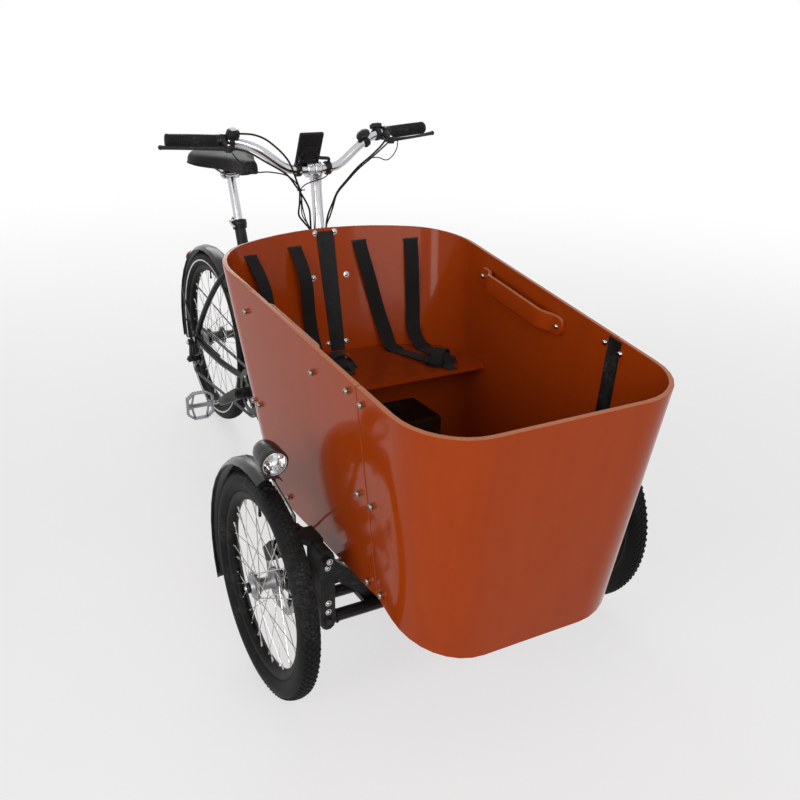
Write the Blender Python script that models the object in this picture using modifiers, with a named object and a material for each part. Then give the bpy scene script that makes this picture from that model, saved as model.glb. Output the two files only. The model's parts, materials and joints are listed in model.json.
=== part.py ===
"""Electric cargo tricycle: a bent plywood box between two steered front wheels,
a low steel frame with a motor at the cranks, and one driven rear wheel.

Metres, +Z up. The front faces -Y and the rider's right side is -X.
Every shape is drawn with the front axle on Y = 0 and the ground on Z = 0, and an
empty named for the tricycle then moves the whole object so that its box is centred.
"""
import bpy
import bmesh
from math import acos, asin, atan2, ceil, cos, hypot, pi, radians, sin, sqrt, tan
from mathutils import Matrix, Vector

for old_object in list(bpy.data.objects):
    bpy.data.objects.remove(old_object, do_unlink=True)

# Clearances between pieces
SEAT_GAP = 0.0003
RUNNING_GAP = 0.0006
CUT_OVERRUN = 0.004
WELD_REACH = 0.00001

# Wheels and their places
FRONT_TYRE_RADIUS = 0.254
REAR_TYRE_RADIUS = 0.305
TYRE_WIDTH = 0.047
TRACK_WIDTH = 0.852
WHEELBASE = 1.522
FRONT_RIM_RADIUS = 0.2075
REAR_RIM_RADIUS = 0.2585
RIM_WIDTH = 0.026
RIM_DEPTH = 0.021
WHEEL_STEPS = 36
HUB_STEPS = 10
SPOKE_RADIUS = 0.0012
SPOKE_PAIRS = 9
SPOKE_SWEEP = radians(58)
FLANGE_RADIUS = 0.031
FLANGE_WIDTH = 0.007
FLANGE_OFFSET = 0.024
HUB_SHELL_RADIUS = 0.015
HUB_OUTER_LENGTH = 0.036
HUB_INNER_LENGTH = 0.038
AXLE_RADIUS = 0.0075
DISC_RADIUS = 0.080
DISC_WIDTH = 0.002
REAR_HUB_LENGTH = 0.064
REAR_AXLE_LENGTH = 0.079
COG_RADIUS = 0.040
COG_SMALL_RADIUS = 0.024
COG_STACK_WIDTH = 0.024

# Steering geometry
KINGPIN_X = 0.355
KINGPIN_RADIUS = 0.008
WHEEL_LOCK = radians(22)
BAR_LOCK = radians(33)
STEER_LEAN = radians(7)
STEER_TOP_Y = 0.636
STEER_TOP_Z = 1.027

# Plywood box
WALL = 0.012
BOX_HALF_WIDTH = 0.318
BOX_WIDTH_HEIGHT = 0.770
SIDE_LEAN = radians(6.1)
SIDE_TAPER = radians(1.3)
BOX_FRONT_Y = -0.475
FRONT_LEAN = radians(8.3)
BOX_BACK_HEIGHT = 0.877
BACK_LEAN = radians(14)
FRONT_CORNER_RADIUS = 0.138
REAR_CORNER_RADIUS = 0.170
BACK_BOW_RADIUS = 0.590
RIM_SLOPE = radians(7.3)
BOX_BOTTOM_HEIGHT = 0.305
RAMP_START_Y = -0.200
RAMP_SLOPE = radians(23)
SEAM_Y = -0.222
BOX_BACK_GAP = 0.0186
SEAM_GAP = 0.001
PANEL_EDGE_RADIUS = 0.0025

# Floor, bench and fittings of the box
FLOOR_RISE = 0.006
FLOOR_THICKNESS = 0.012
BENCH_TOP = 0.565
BENCH_THICKNESS = 0.014
BENCH_FRONT_Y = 0.245
STRIP_WIDTH = 0.039
STRIP_THICKNESS = 0.003
STRIP_TOP_DROP = 0.004
HANDLE_FRONT_Y = -0.050
HANDLE_REAR_Y = 0.312
HANDLE_DEPTH = 0.052
HANDLE_HEIGHT = 0.026
HANDLE_DROP = 0.028
HANDLE_BAR = 0.020
BATTERY_LENGTH = 0.150
BATTERY_WIDTH = 0.360
BATTERY_HEIGHT = 0.110
BATTERY_FRONT_Y = 0.262

# Front frame
SPINE_WIDTH = 0.050
SPINE_BOTTOM = 0.242
SPINE_HEIGHT = 0.058
SPINE_FRONT_Y = -0.112
CROSS_TUBE_RADIUS = 0.0125
CROSS_TUBE_REACH = 0.200
CROSS_TUBE_PLACES = (-0.090, 0.120, 0.360)
AXLE_BLOCK_WIDTH = 0.100
AXLE_BLOCK_BOTTOM = 0.160
AXLE_BLOCK_REAR_Y = 0.035
HEAD_TUBE_RADIUS = 0.0225
HEAD_TUBE_BOTTOM = 0.238
HEAD_TUBE_TOP = 0.800
COLUMN_RADIUS = 0.016
COLUMN_BOTTOM = 0.205
COLUMN_TOP = 0.836
COLLAR_RADIUS = 0.018

# Front axle arms, kingpin carriers and knuckles
ARM_HEIGHT = 0.182
ARM_TUBE_RADIUS = 0.014
ARM_FRONT_Y = -0.085
ARM_REAR_Y = 0.0
ARM_PLATE_WIDTH = 0.012
CARRIER_INNER_X = 0.306
CARRIER_WIDTH = 0.034
CARRIER_FRONT_Y = -0.100
CARRIER_BACK_Y = -0.032
CARRIER_BOTTOM = 0.162
CARRIER_TOP = 0.358
EAR_THICKNESS = 0.013
EAR_RADIUS = 0.020
EAR_ROOT = 0.016
LOWER_EAR_BOTTOM = 0.168
LOWER_EAR_TOP = 0.1902
UPPER_EAR_BOTTOM = 0.345
RING_BOLT_RADIUS = 0.0095
RING_BOLT_LENGTH = 0.010
RING_BOLT_INSET = 0.022
BARREL_RADIUS = 0.017
BARREL_BOTTOM = 0.1908
BARREL_TOP = 0.3444
KINGPIN_TOP = 0.372
BRACE_HEIGHT = 0.037
BRACE_DEPTH = 0.022
BRACE_Y = -0.060
BRACE_SLOPE = radians(41)
BRACE_OUTER_TOP = 0.323
BRACE_INNER_X = 0.165
STEER_ARM_BOTTOM = 0.203
STEER_ARM_THICKNESS = 0.008
TIE_ARM_LENGTH = 0.095
DRAG_ARM_REACH = 0.111
DRAG_ARM_BACK = 0.010
STEER_ARM_WIDTH = 0.020
TIE_ROD_RADIUS = 0.006
ROD_END_RADIUS = 0.010
ROD_END_HEIGHT = 0.0168
PITMAN_END_HEIGHT = 0.022
DRAG_LINK_HEIGHT = 0.2255
CALIPER_RADIUS = 0.066
CALIPER_ANGLE = radians(48)
CALIPER_LENGTH = 0.060
CALIPER_HEIGHT = 0.034
CALIPER_WIDTH = 0.030
CALIPER_SLOT = 0.005

# Front mudguards and lamps
MUDGUARD_GAP = 0.028
MUDGUARD_WIDTH = 0.054
MUDGUARD_CROWN = 0.013
MUDGUARD_SHEET = 0.002
MUDGUARD_FRONT = radians(101)
MUDGUARD_REAR = radians(-25)
MUDGUARD_STEPS = 12
STAY_WIDTH = 0.018
STAY_THICKNESS = 0.003
LAMP_RADIUS = 0.029
LAMP_LENGTH = 0.078
LAMP_Y = -0.046
LAMP_LIFT = 0.044
LAMP_FOOT_RADIUS = 0.008

# Rear frame
CHAINSTAY_LENGTH = 0.467
MOTOR_Z = 0.262
MOTOR_RADIUS = 0.055
MOTOR_WIDTH = 0.096
MOTOR_NOSE_LENGTH = 0.075
MOTOR_NOSE_RADIUS = 0.040
MOTOR_NOSE_ANGLE = radians(40)
CRADLE_THICKNESS = 0.009
CRADLE_START = radians(14)
CRADLE_END = radians(178)
MAIN_TUBE_RADIUS = 0.025
MAIN_TUBE_Z = 0.268
BRACE_TUBE_RADIUS = 0.016
SEAT_TUBE_RADIUS = 0.0178
SEAT_TUBE_BACK = 0.173
SEAT_TUBE_TOP_Z = 0.780
STAY_DROP = 0.115
SEAT_TUBE_LEAN = radians(22)
SEAT_COLLAR_RADIUS = 0.0225
SEAT_COLLAR_HEIGHT = 0.026
CHAINSTAY_RADIUS = 0.0105
CHAINSTAY_FRONT_X = 0.038
DROPOUT_X = 0.0715
STAY_SHARES = ((0.60, 0.275, 0.213), (0.84, 0.584, 0.497), (0.972, 0.824, 0.764))
BRACE_SHARES = ((0.166, 0.565), (0.467, 0.247))
DROPOUT_THICKNESS = 0.007
DROPOUT_RADIUS = 0.021
SEATSTAY_RADIUS = 0.0095
REAR_MUDGUARD_GAP = 0.022
REAR_MUDGUARD_FRONT = radians(152)
REAR_MUDGUARD_REAR = radians(-15)
STRUT_RADIUS = 0.0025
STRUT_ANGLE = radians(22)
TAIL_LAMP_ANGLE = radians(46)
TAIL_LAMP_WIDTH = 0.040
TAIL_LAMP_HEIGHT = 0.052
TAIL_LAMP_DEPTH = 0.022

# Drive
CRANK_LENGTH = 0.175
CRANK_ANGLE = radians(-27.6)
CRANK_INNER_X = 0.089
CRANK_THICKNESS = 0.015
CRANK_END_RADIUS = 0.013
CRANK_ROOT_RADIUS = 0.019
SPINDLE_RADIUS = 0.009
CHAIN_X = -0.056
RING_TEETH = 38
RING_RADIUS = 0.076
RING_TOOTH_DEPTH = 0.004
RING_THICKNESS = 0.003
RING_ARMS = 4
RING_ARM_ANGLE = radians(30)
CHAIN_HEIGHT = 0.0076
CHAIN_WIDTH = 0.007
CHAIN_RUN = 0.0012
CHAIN_BEND = radians(24)
PULLEY_RADIUS = 0.022
GUIDE_PULLEY_BACK = 0.026
GUIDE_PULLEY_DROP = 0.081
TENSION_PULLEY_BACK = 0.080
TENSION_PULLEY_DROP = 0.129
CAGE_PLATE = 0.002
PEDAL_LENGTH = 0.096
PEDAL_WIDTH = 0.092
PEDAL_THICKNESS = 0.018
PEDAL_RIM = 0.007
PEDAL_BARREL_RADIUS = 0.010
PEDAL_SPINDLE_RADIUS = 0.005
PEDAL_OFFSET_X = 0.172

# Saddle and its post
POST_RADIUS = 0.0136
RAIL_DROP = 0.072
POST_INSERTION = 0.120
SADDLE_LENGTH = 0.335
SADDLE_SETBACK = 0.138
SADDLE_HALF_WIDTH = 0.108
SADDLE_RISE = 0.210
SADDLE_DEPTH = 0.052
RAIL_RADIUS = 0.0035
RAIL_HALF_GAP = 0.022

# Handlebar
BAR_RADIUS = 0.0125
BAR_POINTS = (
    (0.000, 0.651, 1.022), (0.045, 0.651, 1.023), (0.083, 0.654, 1.034),
    (0.147, 0.662, 1.079), (0.205, 0.6816, 1.0987), (0.285, 0.6973, 1.1019),
    (0.365, 0.713, 1.105))
BAR_STEPS = 2
GRIP_RADIUS = 0.017
GRIP_LENGTH = 0.130
STEM_RADIUS = 0.0143
STEM_CLAMP_RADIUS = 0.021
STEM_CLAMP_HALF_WIDTH = 0.021
LEVER_CLAMP_RADIUS = 0.0185
LEVER_CLAMP_WIDTH = 0.016
LEVER_FORWARD = 0.042
LEVER_DROP = 0.014
LEVER_OVERHANG = 0.026
DISPLAY_WIDTH = 0.072
DISPLAY_LENGTH = 0.098
DISPLAY_THICKNESS = 0.018
DISPLAY_TILT = radians(38)
DISPLAY_Y = 0.640
DISPLAY_Z = 1.080
CABLE_RADIUS = 0.0025

# Harness
STRAP_WIDTH = 0.038
STRAP_THICKNESS = 0.0025
STRAP_SLOT_DROP = 0.045
STRAP_MIDDLE_SHARE = 0.468
STRAP_TWIST_SHARE = 1.6
BUCKLE_SIZE = 0.062
BUCKLE_THICKNESS = 0.014
HARNESS_BUCKLES = {"right": (-0.120, 0.355), "left": (0.165, 0.325)}
HARNESS_ROUTES = {
    "right": ((-0.229, -0.200, -0.135), (-0.093, -0.090, -0.105)),
    "left": ((0.229, 0.205, 0.180), (0.093, 0.115, 0.150))}

# Places that follow from the sizes above
BOX_BACK_Y = STEER_TOP_Y - (STEER_TOP_Z - BOX_BACK_HEIGHT) * tan(STEER_LEAN) - BOX_BACK_GAP
RIM_HEIGHT = BOX_BACK_HEIGHT - BOX_BACK_Y * tan(RIM_SLOPE)
BOX_FRONT_HEIGHT = RIM_HEIGHT + BOX_FRONT_Y * tan(RIM_SLOPE)
LAMP_HEIGHT = FRONT_TYRE_RADIUS * 2 + MUDGUARD_GAP + MUDGUARD_SHEET + LAMP_LIFT
MOTOR_Y = WHEELBASE - CHAINSTAY_LENGTH
SEAT_TUBE_TOP_Y = MOTOR_Y + SEAT_TUBE_BACK
GUIDE_PULLEY = (WHEELBASE + GUIDE_PULLEY_BACK, REAR_TYRE_RADIUS - GUIDE_PULLEY_DROP)
TENSION_PULLEY = (WHEELBASE + TENSION_PULLEY_BACK, REAR_TYRE_RADIUS - TENSION_PULLEY_DROP)
SADDLE_TOP_Z = SEAT_TUBE_TOP_Z + SADDLE_RISE
POST_TOP_Z = SADDLE_TOP_Z - RAIL_DROP
SADDLE_NOSE_Y = SEAT_TUBE_TOP_Y - SADDLE_SETBACK
SADDLE_TAIL_Y = SADDLE_NOSE_Y + SADDLE_LENGTH

FRONT_EXTENT = BOX_FRONT_Y
REAR_EXTENT = WHEELBASE + REAR_TYRE_RADIUS + REAR_MUDGUARD_GAP + MUDGUARD_SHEET
CENTRE_Y = (FRONT_EXTENT + REAR_EXTENT) / 2

parts = bpy.data.collections.new("cargo_tricycle")
cutters = bpy.data.collections.new("cutters")
for group in (parts, cutters):
    bpy.context.scene.collection.children.link(group)


def body_empty(name, place, parent=None):
    """An empty on a joint's axis; place is in the drawing frame."""
    empty = bpy.data.objects.new(name, None)
    parts.objects.link(empty)
    if parent is not None:
        empty.parent = parent
        empty.location = Vector(place) - Vector(parent["place"])
    else:
        empty.location = place
    empty["place"] = tuple(place)
    return empty


def finish(name, colour, roughness, metallic=0.0):
    """A Principled material in the piece's own colour."""
    material = bpy.data.materials.new(name + "_finish")
    material.use_nodes = True
    shader = material.node_tree.nodes["Principled BSDF"]
    shader.inputs["Base Color"].default_value = (*colour, 1.0)
    shader.inputs["Roughness"].default_value = roughness
    shader.inputs["Metallic"].default_value = metallic
    return material


PLYWOOD = ((0.47, 0.10, 0.025), 0.28, 0.0)
BLACK_PAINT = ((0.012, 0.012, 0.013), 0.35, 0.1)
BLACK_PLASTIC = ((0.016, 0.016, 0.017), 0.45, 0.0)
RUBBER = ((0.018, 0.018, 0.018), 0.75, 0.0)
SILVER = ((0.62, 0.63, 0.65), 0.25, 1.0)
DARK_STEEL = ((0.12, 0.12, 0.13), 0.40, 0.9)
GREY_CAGE = ((0.22, 0.22, 0.23), 0.40, 0.8)
WEBBING = ((0.014, 0.014, 0.016), 0.80, 0.0)
RED_LENS = ((0.35, 0.01, 0.01), 0.20, 0.0)


def node(piece, name, body, look):
    """Names a finished piece, hangs it on its body and gives it its own material."""
    piece.name = name
    piece.data.name = name
    for group in list(piece.users_collection):
        group.objects.unlink(piece)
    parts.objects.link(piece)
    piece.data.materials.clear()
    piece.data.materials.append(finish(name, *look))
    piece.parent = body
    piece.matrix_parent_inverse = Matrix.Translation(-Vector(body["place"]))
    return piece


def new_object(name, mesh):
    piece = bpy.data.objects.new(name, mesh)
    cutters.objects.link(piece)
    piece.hide_render = True
    piece.display_type = "WIRE"
    return piece


def show(piece):
    """Turns a helper shape into a visible piece."""
    piece.hide_render = False
    piece.display_type = "TEXTURED"
    return piece


def smooth(piece, limit=radians(32)):
    piece.data.shade_smooth()
    piece.data.set_sharp_from_angle(angle=limit)
    return piece


def mesh_from(build, name):
    """Runs a bmesh builder and returns the object of its result."""
    work = bmesh.new()
    build(work)
    bmesh.ops.recalc_face_normals(work, faces=work.faces)
    mesh = bpy.data.meshes.new(name)
    work.to_mesh(mesh)
    work.free()
    return new_object(name, mesh)


def box(name, low, high):
    size = Vector(high) - Vector(low)
    middle = (Vector(high) + Vector(low)) / 2
    matrix = Matrix.Translation(middle) @ Matrix.Diagonal((*size, 1))
    return mesh_from(lambda work: bmesh.ops.create_cube(work, size=1, matrix=matrix), name)


def along(start, end):
    """A matrix whose Z axis runs from start to end, at their middle, and the length."""
    start, end = Vector(start), Vector(end)
    turn = (end - start).to_track_quat("Z", "Y").to_matrix().to_4x4()
    return Matrix.Translation((start + end) / 2) @ turn, (end - start).length


def rod(name, start, end, radius, end_radius=None, sides=10):
    matrix, length = along(start, end)
    return mesh_from(lambda work: bmesh.ops.create_cone(
        work, cap_ends=True, segments=sides, radius1=radius,
        radius2=radius if end_radius is None else end_radius,
        depth=length, matrix=matrix), name)


def join_shapes(name, shapes):
    """Gathers shapes that stay apart into one mesh, so one Boolean can use them all."""
    work = bmesh.new()
    graph = bpy.context.evaluated_depsgraph_get()
    for shape in shapes:
        copy = bpy.data.meshes.new_from_object(shape.evaluated_get(graph))
        copy.transform(shape.matrix_world)
        work.from_mesh(copy)
        bpy.data.meshes.remove(copy)
        bpy.data.objects.remove(shape, do_unlink=True)
    mesh = bpy.data.meshes.new(name)
    work.to_mesh(mesh)
    work.free()
    return new_object(name, mesh)


def combine(base, tool, operation):
    step = base.modifiers.new(operation.lower(), "BOOLEAN")
    step.operation = operation
    step.solver = "EXACT"
    step.object = tool
    return base


def weld(base, *tools):
    for tool in tools:
        combine(base, tool, "UNION")
    return base


def drill(base, *tools):
    for tool in tools:
        combine(base, tool, "DIFFERENCE")
    return base


def settle(piece):
    """Applies what a piece's modifiers make, with the caps of curves welded."""
    bpy.context.view_layer.update()
    graph = bpy.context.evaluated_depsgraph_get()
    mesh = bpy.data.meshes.new_from_object(piece.evaluated_get(graph))
    work = bmesh.new()
    work.from_mesh(mesh)
    bmesh.ops.remove_doubles(work, verts=work.verts, dist=WELD_REACH)
    work.to_mesh(mesh)
    work.free()
    mesh.transform(piece.matrix_world)
    result = new_object(piece.name, mesh)
    bpy.data.objects.remove(piece, do_unlink=True)
    return result


def curve_path(points, count):
    """Points read from a smooth Catmull-Rom curve through the given ones."""
    points = [Vector(point) for point in points]
    first = points[0] * 2 - points[1]
    last = points[-1] * 2 - points[-2]
    chain = [first, *points, last]
    result = []
    for index in range(count + 1):
        place = index / count * (len(points) - 1)
        segment = min(int(place), len(points) - 2)
        t = place - segment
        a, b, c, d = chain[segment:segment + 4]
        result.append(0.5 * (2 * b + (c - a) * t + (2 * a - 5 * b + 4 * c - d) * t ** 2
                             + (3 * b - a - 3 * c + d) * t ** 3))
    return result


def tube(name, points, radius, resolution=2):
    """A round tube along points, as a closed mesh."""
    curve = bpy.data.curves.new(name, "CURVE")
    curve.dimensions = "3D"
    curve.bevel_depth = radius
    curve.bevel_resolution = resolution
    curve.use_fill_caps = True
    line = curve.splines.new("POLY")
    line.points.add(len(points) - 1)
    for point, place in zip(line.points, points):
        point.co = (*place, 1.0)
    piece = bpy.data.objects.new(name, curve)
    cutters.objects.link(piece)
    return settle(piece)


def flat(name, loops, thickness, matrix):
    """A flat outline with its holes, thickened to both sides of the matrix's XY plane."""
    curve = bpy.data.curves.new(name, "CURVE")
    curve.dimensions = "2D"
    curve.fill_mode = "BOTH"
    curve.extrude = thickness / 2
    for loop in loops:
        line = curve.splines.new("POLY")
        line.use_cyclic_u = True
        line.points.add(len(loop) - 1)
        for point, (u, v) in zip(line.points, loop):
            point.co = (u, v, 0.0, 1.0)
    piece = bpy.data.objects.new(name, curve)
    piece.matrix_world = matrix
    cutters.objects.link(piece)
    return settle(piece)


def side_plane(x):
    """Flat outlines drawn as (y, z) stand in the plane at this x."""
    return Matrix(((0, 0, 1, x), (1, 0, 0, 0), (0, 1, 0, 0), (0, 0, 0, 1)))


def front_plane(y):
    """Flat outlines drawn as (x, z) stand in the plane at this y."""
    return Matrix(((1, 0, 0, 0), (0, 0, -1, y), (0, 1, 0, 0), (0, 0, 0, 1)))


def level_plane(z):
    """Flat outlines drawn as (x, y) lie in the plane at this z."""
    return Matrix.Translation((0, 0, z))


def arc(centre, radius, start, end, steps):
    return [(centre[0] + radius * cos(start + (end - start) * i / steps),
             centre[1] + radius * sin(start + (end - start) * i / steps))
            for i in range(steps + 1)]


def circle(centre, radius, sides):
    return arc(centre, radius, 0, 2 * pi, sides)[:-1]


def capsule(start, start_radius, end, end_radius, steps=5):
    """The outline around two circles, as on a crank arm or a rod end."""
    reach = hypot(end[0] - start[0], end[1] - start[1])
    heading = atan2(end[1] - start[1], end[0] - start[0])
    side = acos((start_radius - end_radius) / reach)
    return (arc(start, start_radius, heading + side, heading + 2 * pi - side, steps)
            + arc(end, end_radius, heading - side, heading + side, steps))


def turned(name, profile, steps, matrix, closed=True, sweep=2 * pi):
    """A turned shape about the matrix's Z axis from (radius, height) points."""
    area = sum(a[0] * b[1] - b[0] * a[1] for a, b in zip(profile, profile[1:] + profile[:1]))
    points = profile if area < 0 else profile[::-1]
    mesh = bpy.data.meshes.new(name)
    edges = [(i, i + 1) for i in range(len(points) - 1)]
    if closed:
        edges.append((len(points) - 1, 0))
    mesh.from_pydata([(radius, 0, height) for radius, height in points], edges, [])
    piece = new_object(name, mesh)
    screw = piece.modifiers.new("turn", "SCREW")
    screw.angle = sweep
    screw.steps = steps
    screw.render_steps = steps
    screw.use_merge_vertices = sweep == 2 * pi
    screw.merge_threshold = WELD_REACH
    screw.use_normal_calculate = False
    piece.matrix_world = matrix
    return piece


def axle_matrix(centre, side=1):
    """Z along the axle, towards +X for side 1 and -X for side -1."""
    return Matrix.Translation(centre) @ Matrix.Rotation(side * pi / 2, 4, "Y")


def soften(piece, width, segments=2, angle=radians(40)):
    bevel = piece.modifiers.new("rounded_edges", "BEVEL")
    bevel.width = width
    bevel.segments = segments
    bevel.limit_method = "ANGLE"
    bevel.angle_limit = angle
    return piece


def ribbon(name, points, width, thickness, across):
    """A flat strap: a strip of sheet along points, thickened to both sides."""
    sideways = [Vector(vector).normalized() * (width / 2) for vector in across]

    def build(work):
        rows = [(work.verts.new(Vector(p) - v), work.verts.new(Vector(p) + v))
                for p, v in zip(points, sideways)]
        for (a, b), (c, d) in zip(rows, rows[1:]):
            work.faces.new((a, b, d, c))

    piece = mesh_from(build, name)
    sheet = piece.modifiers.new("thickness", "SOLIDIFY")
    sheet.thickness = thickness
    sheet.offset = 0
    sheet.use_even_offset = True
    return piece


# The box's walls: every place on them is a (stretch, share) pair, read at a height
def half_width(z):
    return BOX_HALF_WIDTH + (z - BOX_WIDTH_HEIGHT) * tan(SIDE_LEAN)


def front_line(z):
    return BOX_FRONT_Y - (z - BOX_FRONT_HEIGHT) * tan(FRONT_LEAN)


def back_line(z):
    return BOX_BACK_Y + (z - BOX_BACK_HEIGHT) * tan(BACK_LEAN)


def side_base(z):
    return half_width(z) - tan(SIDE_TAPER) * SEAM_Y


def rear_corner(z):
    """The centre of the rear corner's arc and the angle where the back's bow starts."""
    taper = tan(SIDE_TAPER)
    offset = side_base(z) - REAR_CORNER_RADIUS / cos(SIDE_TAPER)
    bow_y = back_line(z) - BACK_BOW_RADIUS
    reach = BACK_BOW_RADIUS - REAR_CORNER_RADIUS
    a, b, c = 1 + taper ** 2, offset * taper - bow_y, offset ** 2 + bow_y ** 2 - reach ** 2
    centre_y = (-b + sqrt(b ** 2 - a * c)) / a
    centre_x = offset + taper * centre_y
    return centre_x, centre_y, atan2(centre_y - bow_y, centre_x)


def wall_point(place, z, inset=0.0):
    """The (x, y) of a place on the left wall, on its straight line from low to high."""
    low = Vector(wall_section(place, BOX_BOTTOM_HEIGHT, inset))
    high = Vector(wall_section(place, BOX_BACK_HEIGHT, inset))
    share = (z - BOX_BOTTOM_HEIGHT) / (BOX_BACK_HEIGHT - BOX_BOTTOM_HEIGHT)
    return low + (high - low) * share


def wall_section(place, z, inset):
    """The (x, y) of a place on the outline at a height, moved inwards by inset."""
    stretch, share = place
    taper = SIDE_TAPER
    if stretch in ("front", "front_corner"):
        centre_y = front_line(z) + FRONT_CORNER_RADIUS
        centre_x = side_base(z) + tan(taper) * centre_y - FRONT_CORNER_RADIUS / cos(taper)
        if stretch == "front":
            return share * centre_x, front_line(z) + inset
        angle = -pi / 2 + share * (pi / 2 - taper)
        radius = FRONT_CORNER_RADIUS - inset
        return centre_x + radius * cos(angle), centre_y + radius * sin(angle)
    if stretch == "side":
        return side_base(z) + tan(taper) * share - inset / cos(taper), share
    centre_x, centre_y, bow_angle = rear_corner(z)
    if stretch == "rear_corner":
        angle = -taper + share * (bow_angle + taper)
        radius = REAR_CORNER_RADIUS - inset
        return centre_x + radius * cos(angle), centre_y + radius * sin(angle)
    radius = BACK_BOW_RADIUS - inset
    end_angle = acos(SEAM_GAP / 2 / radius)
    angle = bow_angle + share * (end_angle - bow_angle)
    return radius * cos(angle), back_line(z) - BACK_BOW_RADIUS + radius * sin(angle)


def rim_height(y):
    return RIM_HEIGHT + y * tan(RIM_SLOPE)


def bottom_height(y):
    return BOX_BOTTOM_HEIGHT - max(0.0, RAMP_START_Y - y) * tan(RAMP_SLOPE)


def floor_height(y):
    return bottom_height(y) + FLOOR_RISE


def on_wall(place, height_of, inset=0.0):
    """The point where a place on the wall meets a height that depends on y."""
    z = height_of(0.0)
    for _ in range(12):
        x, y = wall_point(place, z, inset)
        z = height_of(y)
    return Vector((x, y, z))


CORNER_STEPS = 8
BOW_STEPS = 4


def stretch_places(stretch, steps, start=0.0, end=1.0):
    return [(stretch, start + (end - start) * i / steps) for i in range(steps + 1)]


def mirrored(point, side):
    return Vector((point[0] * side, point[1], point[2]))


def wall_panel(name, places, low, high, thickness, inset=0.0):
    """A wall between two height rules, with a (side, place) for each of its columns."""
    def build(work):
        columns = []
        for side, place in places:
            foot = mirrored(on_wall(place, low, inset), side)
            head = mirrored(on_wall(place, high, inset), side)
            columns.append((work.verts.new(foot), work.verts.new(head)))
        for (a, b), (c, d) in zip(columns, columns[1:]):
            work.faces.new((a, c, d, b))

    piece = mesh_from(build, name)
    inner = Vector((0, 0, BOX_WIDTH_HEIGHT / 2))
    face = piece.data.polygons[0]
    outwards = face.normal.dot(face.center - inner) > 0
    sheet = piece.modifiers.new("wall", "SOLIDIFY")
    sheet.thickness = thickness
    sheet.offset = -1 if outwards else 1
    sheet.use_even_offset = True
    return piece


def board(name, height_of, front_y, thickness, inset):
    """A level or bent board inside the walls, from front_y back to the back wall."""
    places = []
    if front_y is None:
        places += stretch_places("front", 1, 0.5) + stretch_places("front_corner", CORNER_STEPS)[1:]
        places += [("side", RAMP_START_Y), ("side", -RAMP_START_Y)]
    else:
        places += [("side", front_y)]
    places += stretch_places("rear_corner", CORNER_STEPS)
    places += stretch_places("back", BOW_STEPS)[1:]

    def build(work):
        rows = []
        for place in places:
            point = on_wall(place, height_of, inset)
            if rows and point.y - rows[-1][0].co.y < SEAM_GAP / 2:
                continue
            rows.append([work.verts.new(mirrored(point, side)) for side in (-1, 1)])
        for (a, b), (c, d) in zip(rows, rows[1:]):
            work.faces.new((a, b, d, c))
        made = bmesh.ops.extrude_face_region(work, geom=list(work.faces))
        lifted = [item for item in made["geom"] if isinstance(item, bmesh.types.BMVert)]
        bmesh.ops.translate(work, verts=lifted, vec=(0, 0, thickness))

    return mesh_from(build, name)


def build_box(root):
    """The three bent panels, the floor, the bench and the strips over the seams."""
    gap = SEAM_GAP / 2
    bow_share = 1 - STRIP_WIDTH / 2 / (BACK_BOW_RADIUS * (pi / 2 - rear_corner(BENCH_TOP)[2]))
    rear_side = ([("side", SEAM_Y + gap)] + stretch_places("rear_corner", CORNER_STEPS)
                 + stretch_places("back", BOW_STEPS, 0.0, bow_share)[1:] + [("back", 1.0)])
    for side, name in ((-1, "box_side_right"), (1, "box_side_left")):
        panel = wall_panel(name, [(side, place) for place in rear_side],
                           bottom_height, rim_height, WALL)
        soften(panel, PANEL_EDGE_RADIUS)
        node(smooth(show(panel)), name, root, PLYWOOD)
    half = stretch_places("front", 1) + stretch_places("front_corner", CORNER_STEPS)[1:]
    half += [("side", RAMP_START_Y - (SEAM_Y - RAMP_START_Y)), ("side", SEAM_Y - gap)]
    half = [place for place in half if place[0] != "side" or place[1] <= SEAM_Y]
    front = [(-1, place) for place in reversed(half[1:])] + [(1, place) for place in half[1:]]
    panel = wall_panel("box_front", front, bottom_height, rim_height, WALL)
    soften(panel, PANEL_EDGE_RADIUS)
    node(smooth(show(panel)), "box_front", root, PLYWOOD)

    board_inset = WALL / cos(BACK_LEAN) + SEAT_GAP
    floor = board("box_floor", floor_height, None, FLOOR_THICKNESS, board_inset)
    node(smooth(show(floor)), "box_floor", root, PLYWOOD)
    bench = board("bench", lambda y: BENCH_TOP - BENCH_THICKNESS, BENCH_FRONT_Y,
                  BENCH_THICKNESS, board_inset)
    node(smooth(show(bench)), "bench", root, PLYWOOD)

    strip_inset = WALL / cos(SIDE_LEAN) + SEAT_GAP
    floor_top = lambda y: floor_height(y) + FLOOR_THICKNESS + SEAT_GAP
    strip_top = lambda y: rim_height(y) - STRIP_TOP_DROP
    for side, name in ((-1, "seam_strip_right"), (1, "seam_strip_left")):
        places = [(side, ("side", SEAM_Y + share * STRIP_WIDTH)) for share in (-0.5, 0.5)]
        strip = wall_panel(name, places, floor_top, strip_top, STRIP_THICKNESS, strip_inset)
        node(show(strip), name, root, BLACK_PAINT)
    back_places = [(-1, ("back", bow_share)), (-1, ("back", 1.0)),
                   (1, ("back", 1.0)), (1, ("back", bow_share))]
    bench_top = lambda y: BENCH_TOP + SEAT_GAP
    strip = wall_panel("seam_strip_back", back_places, bench_top, strip_top,
                       STRIP_THICKNESS, board_inset)
    node(show(strip), "seam_strip_back", root, BLACK_PAINT)


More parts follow.
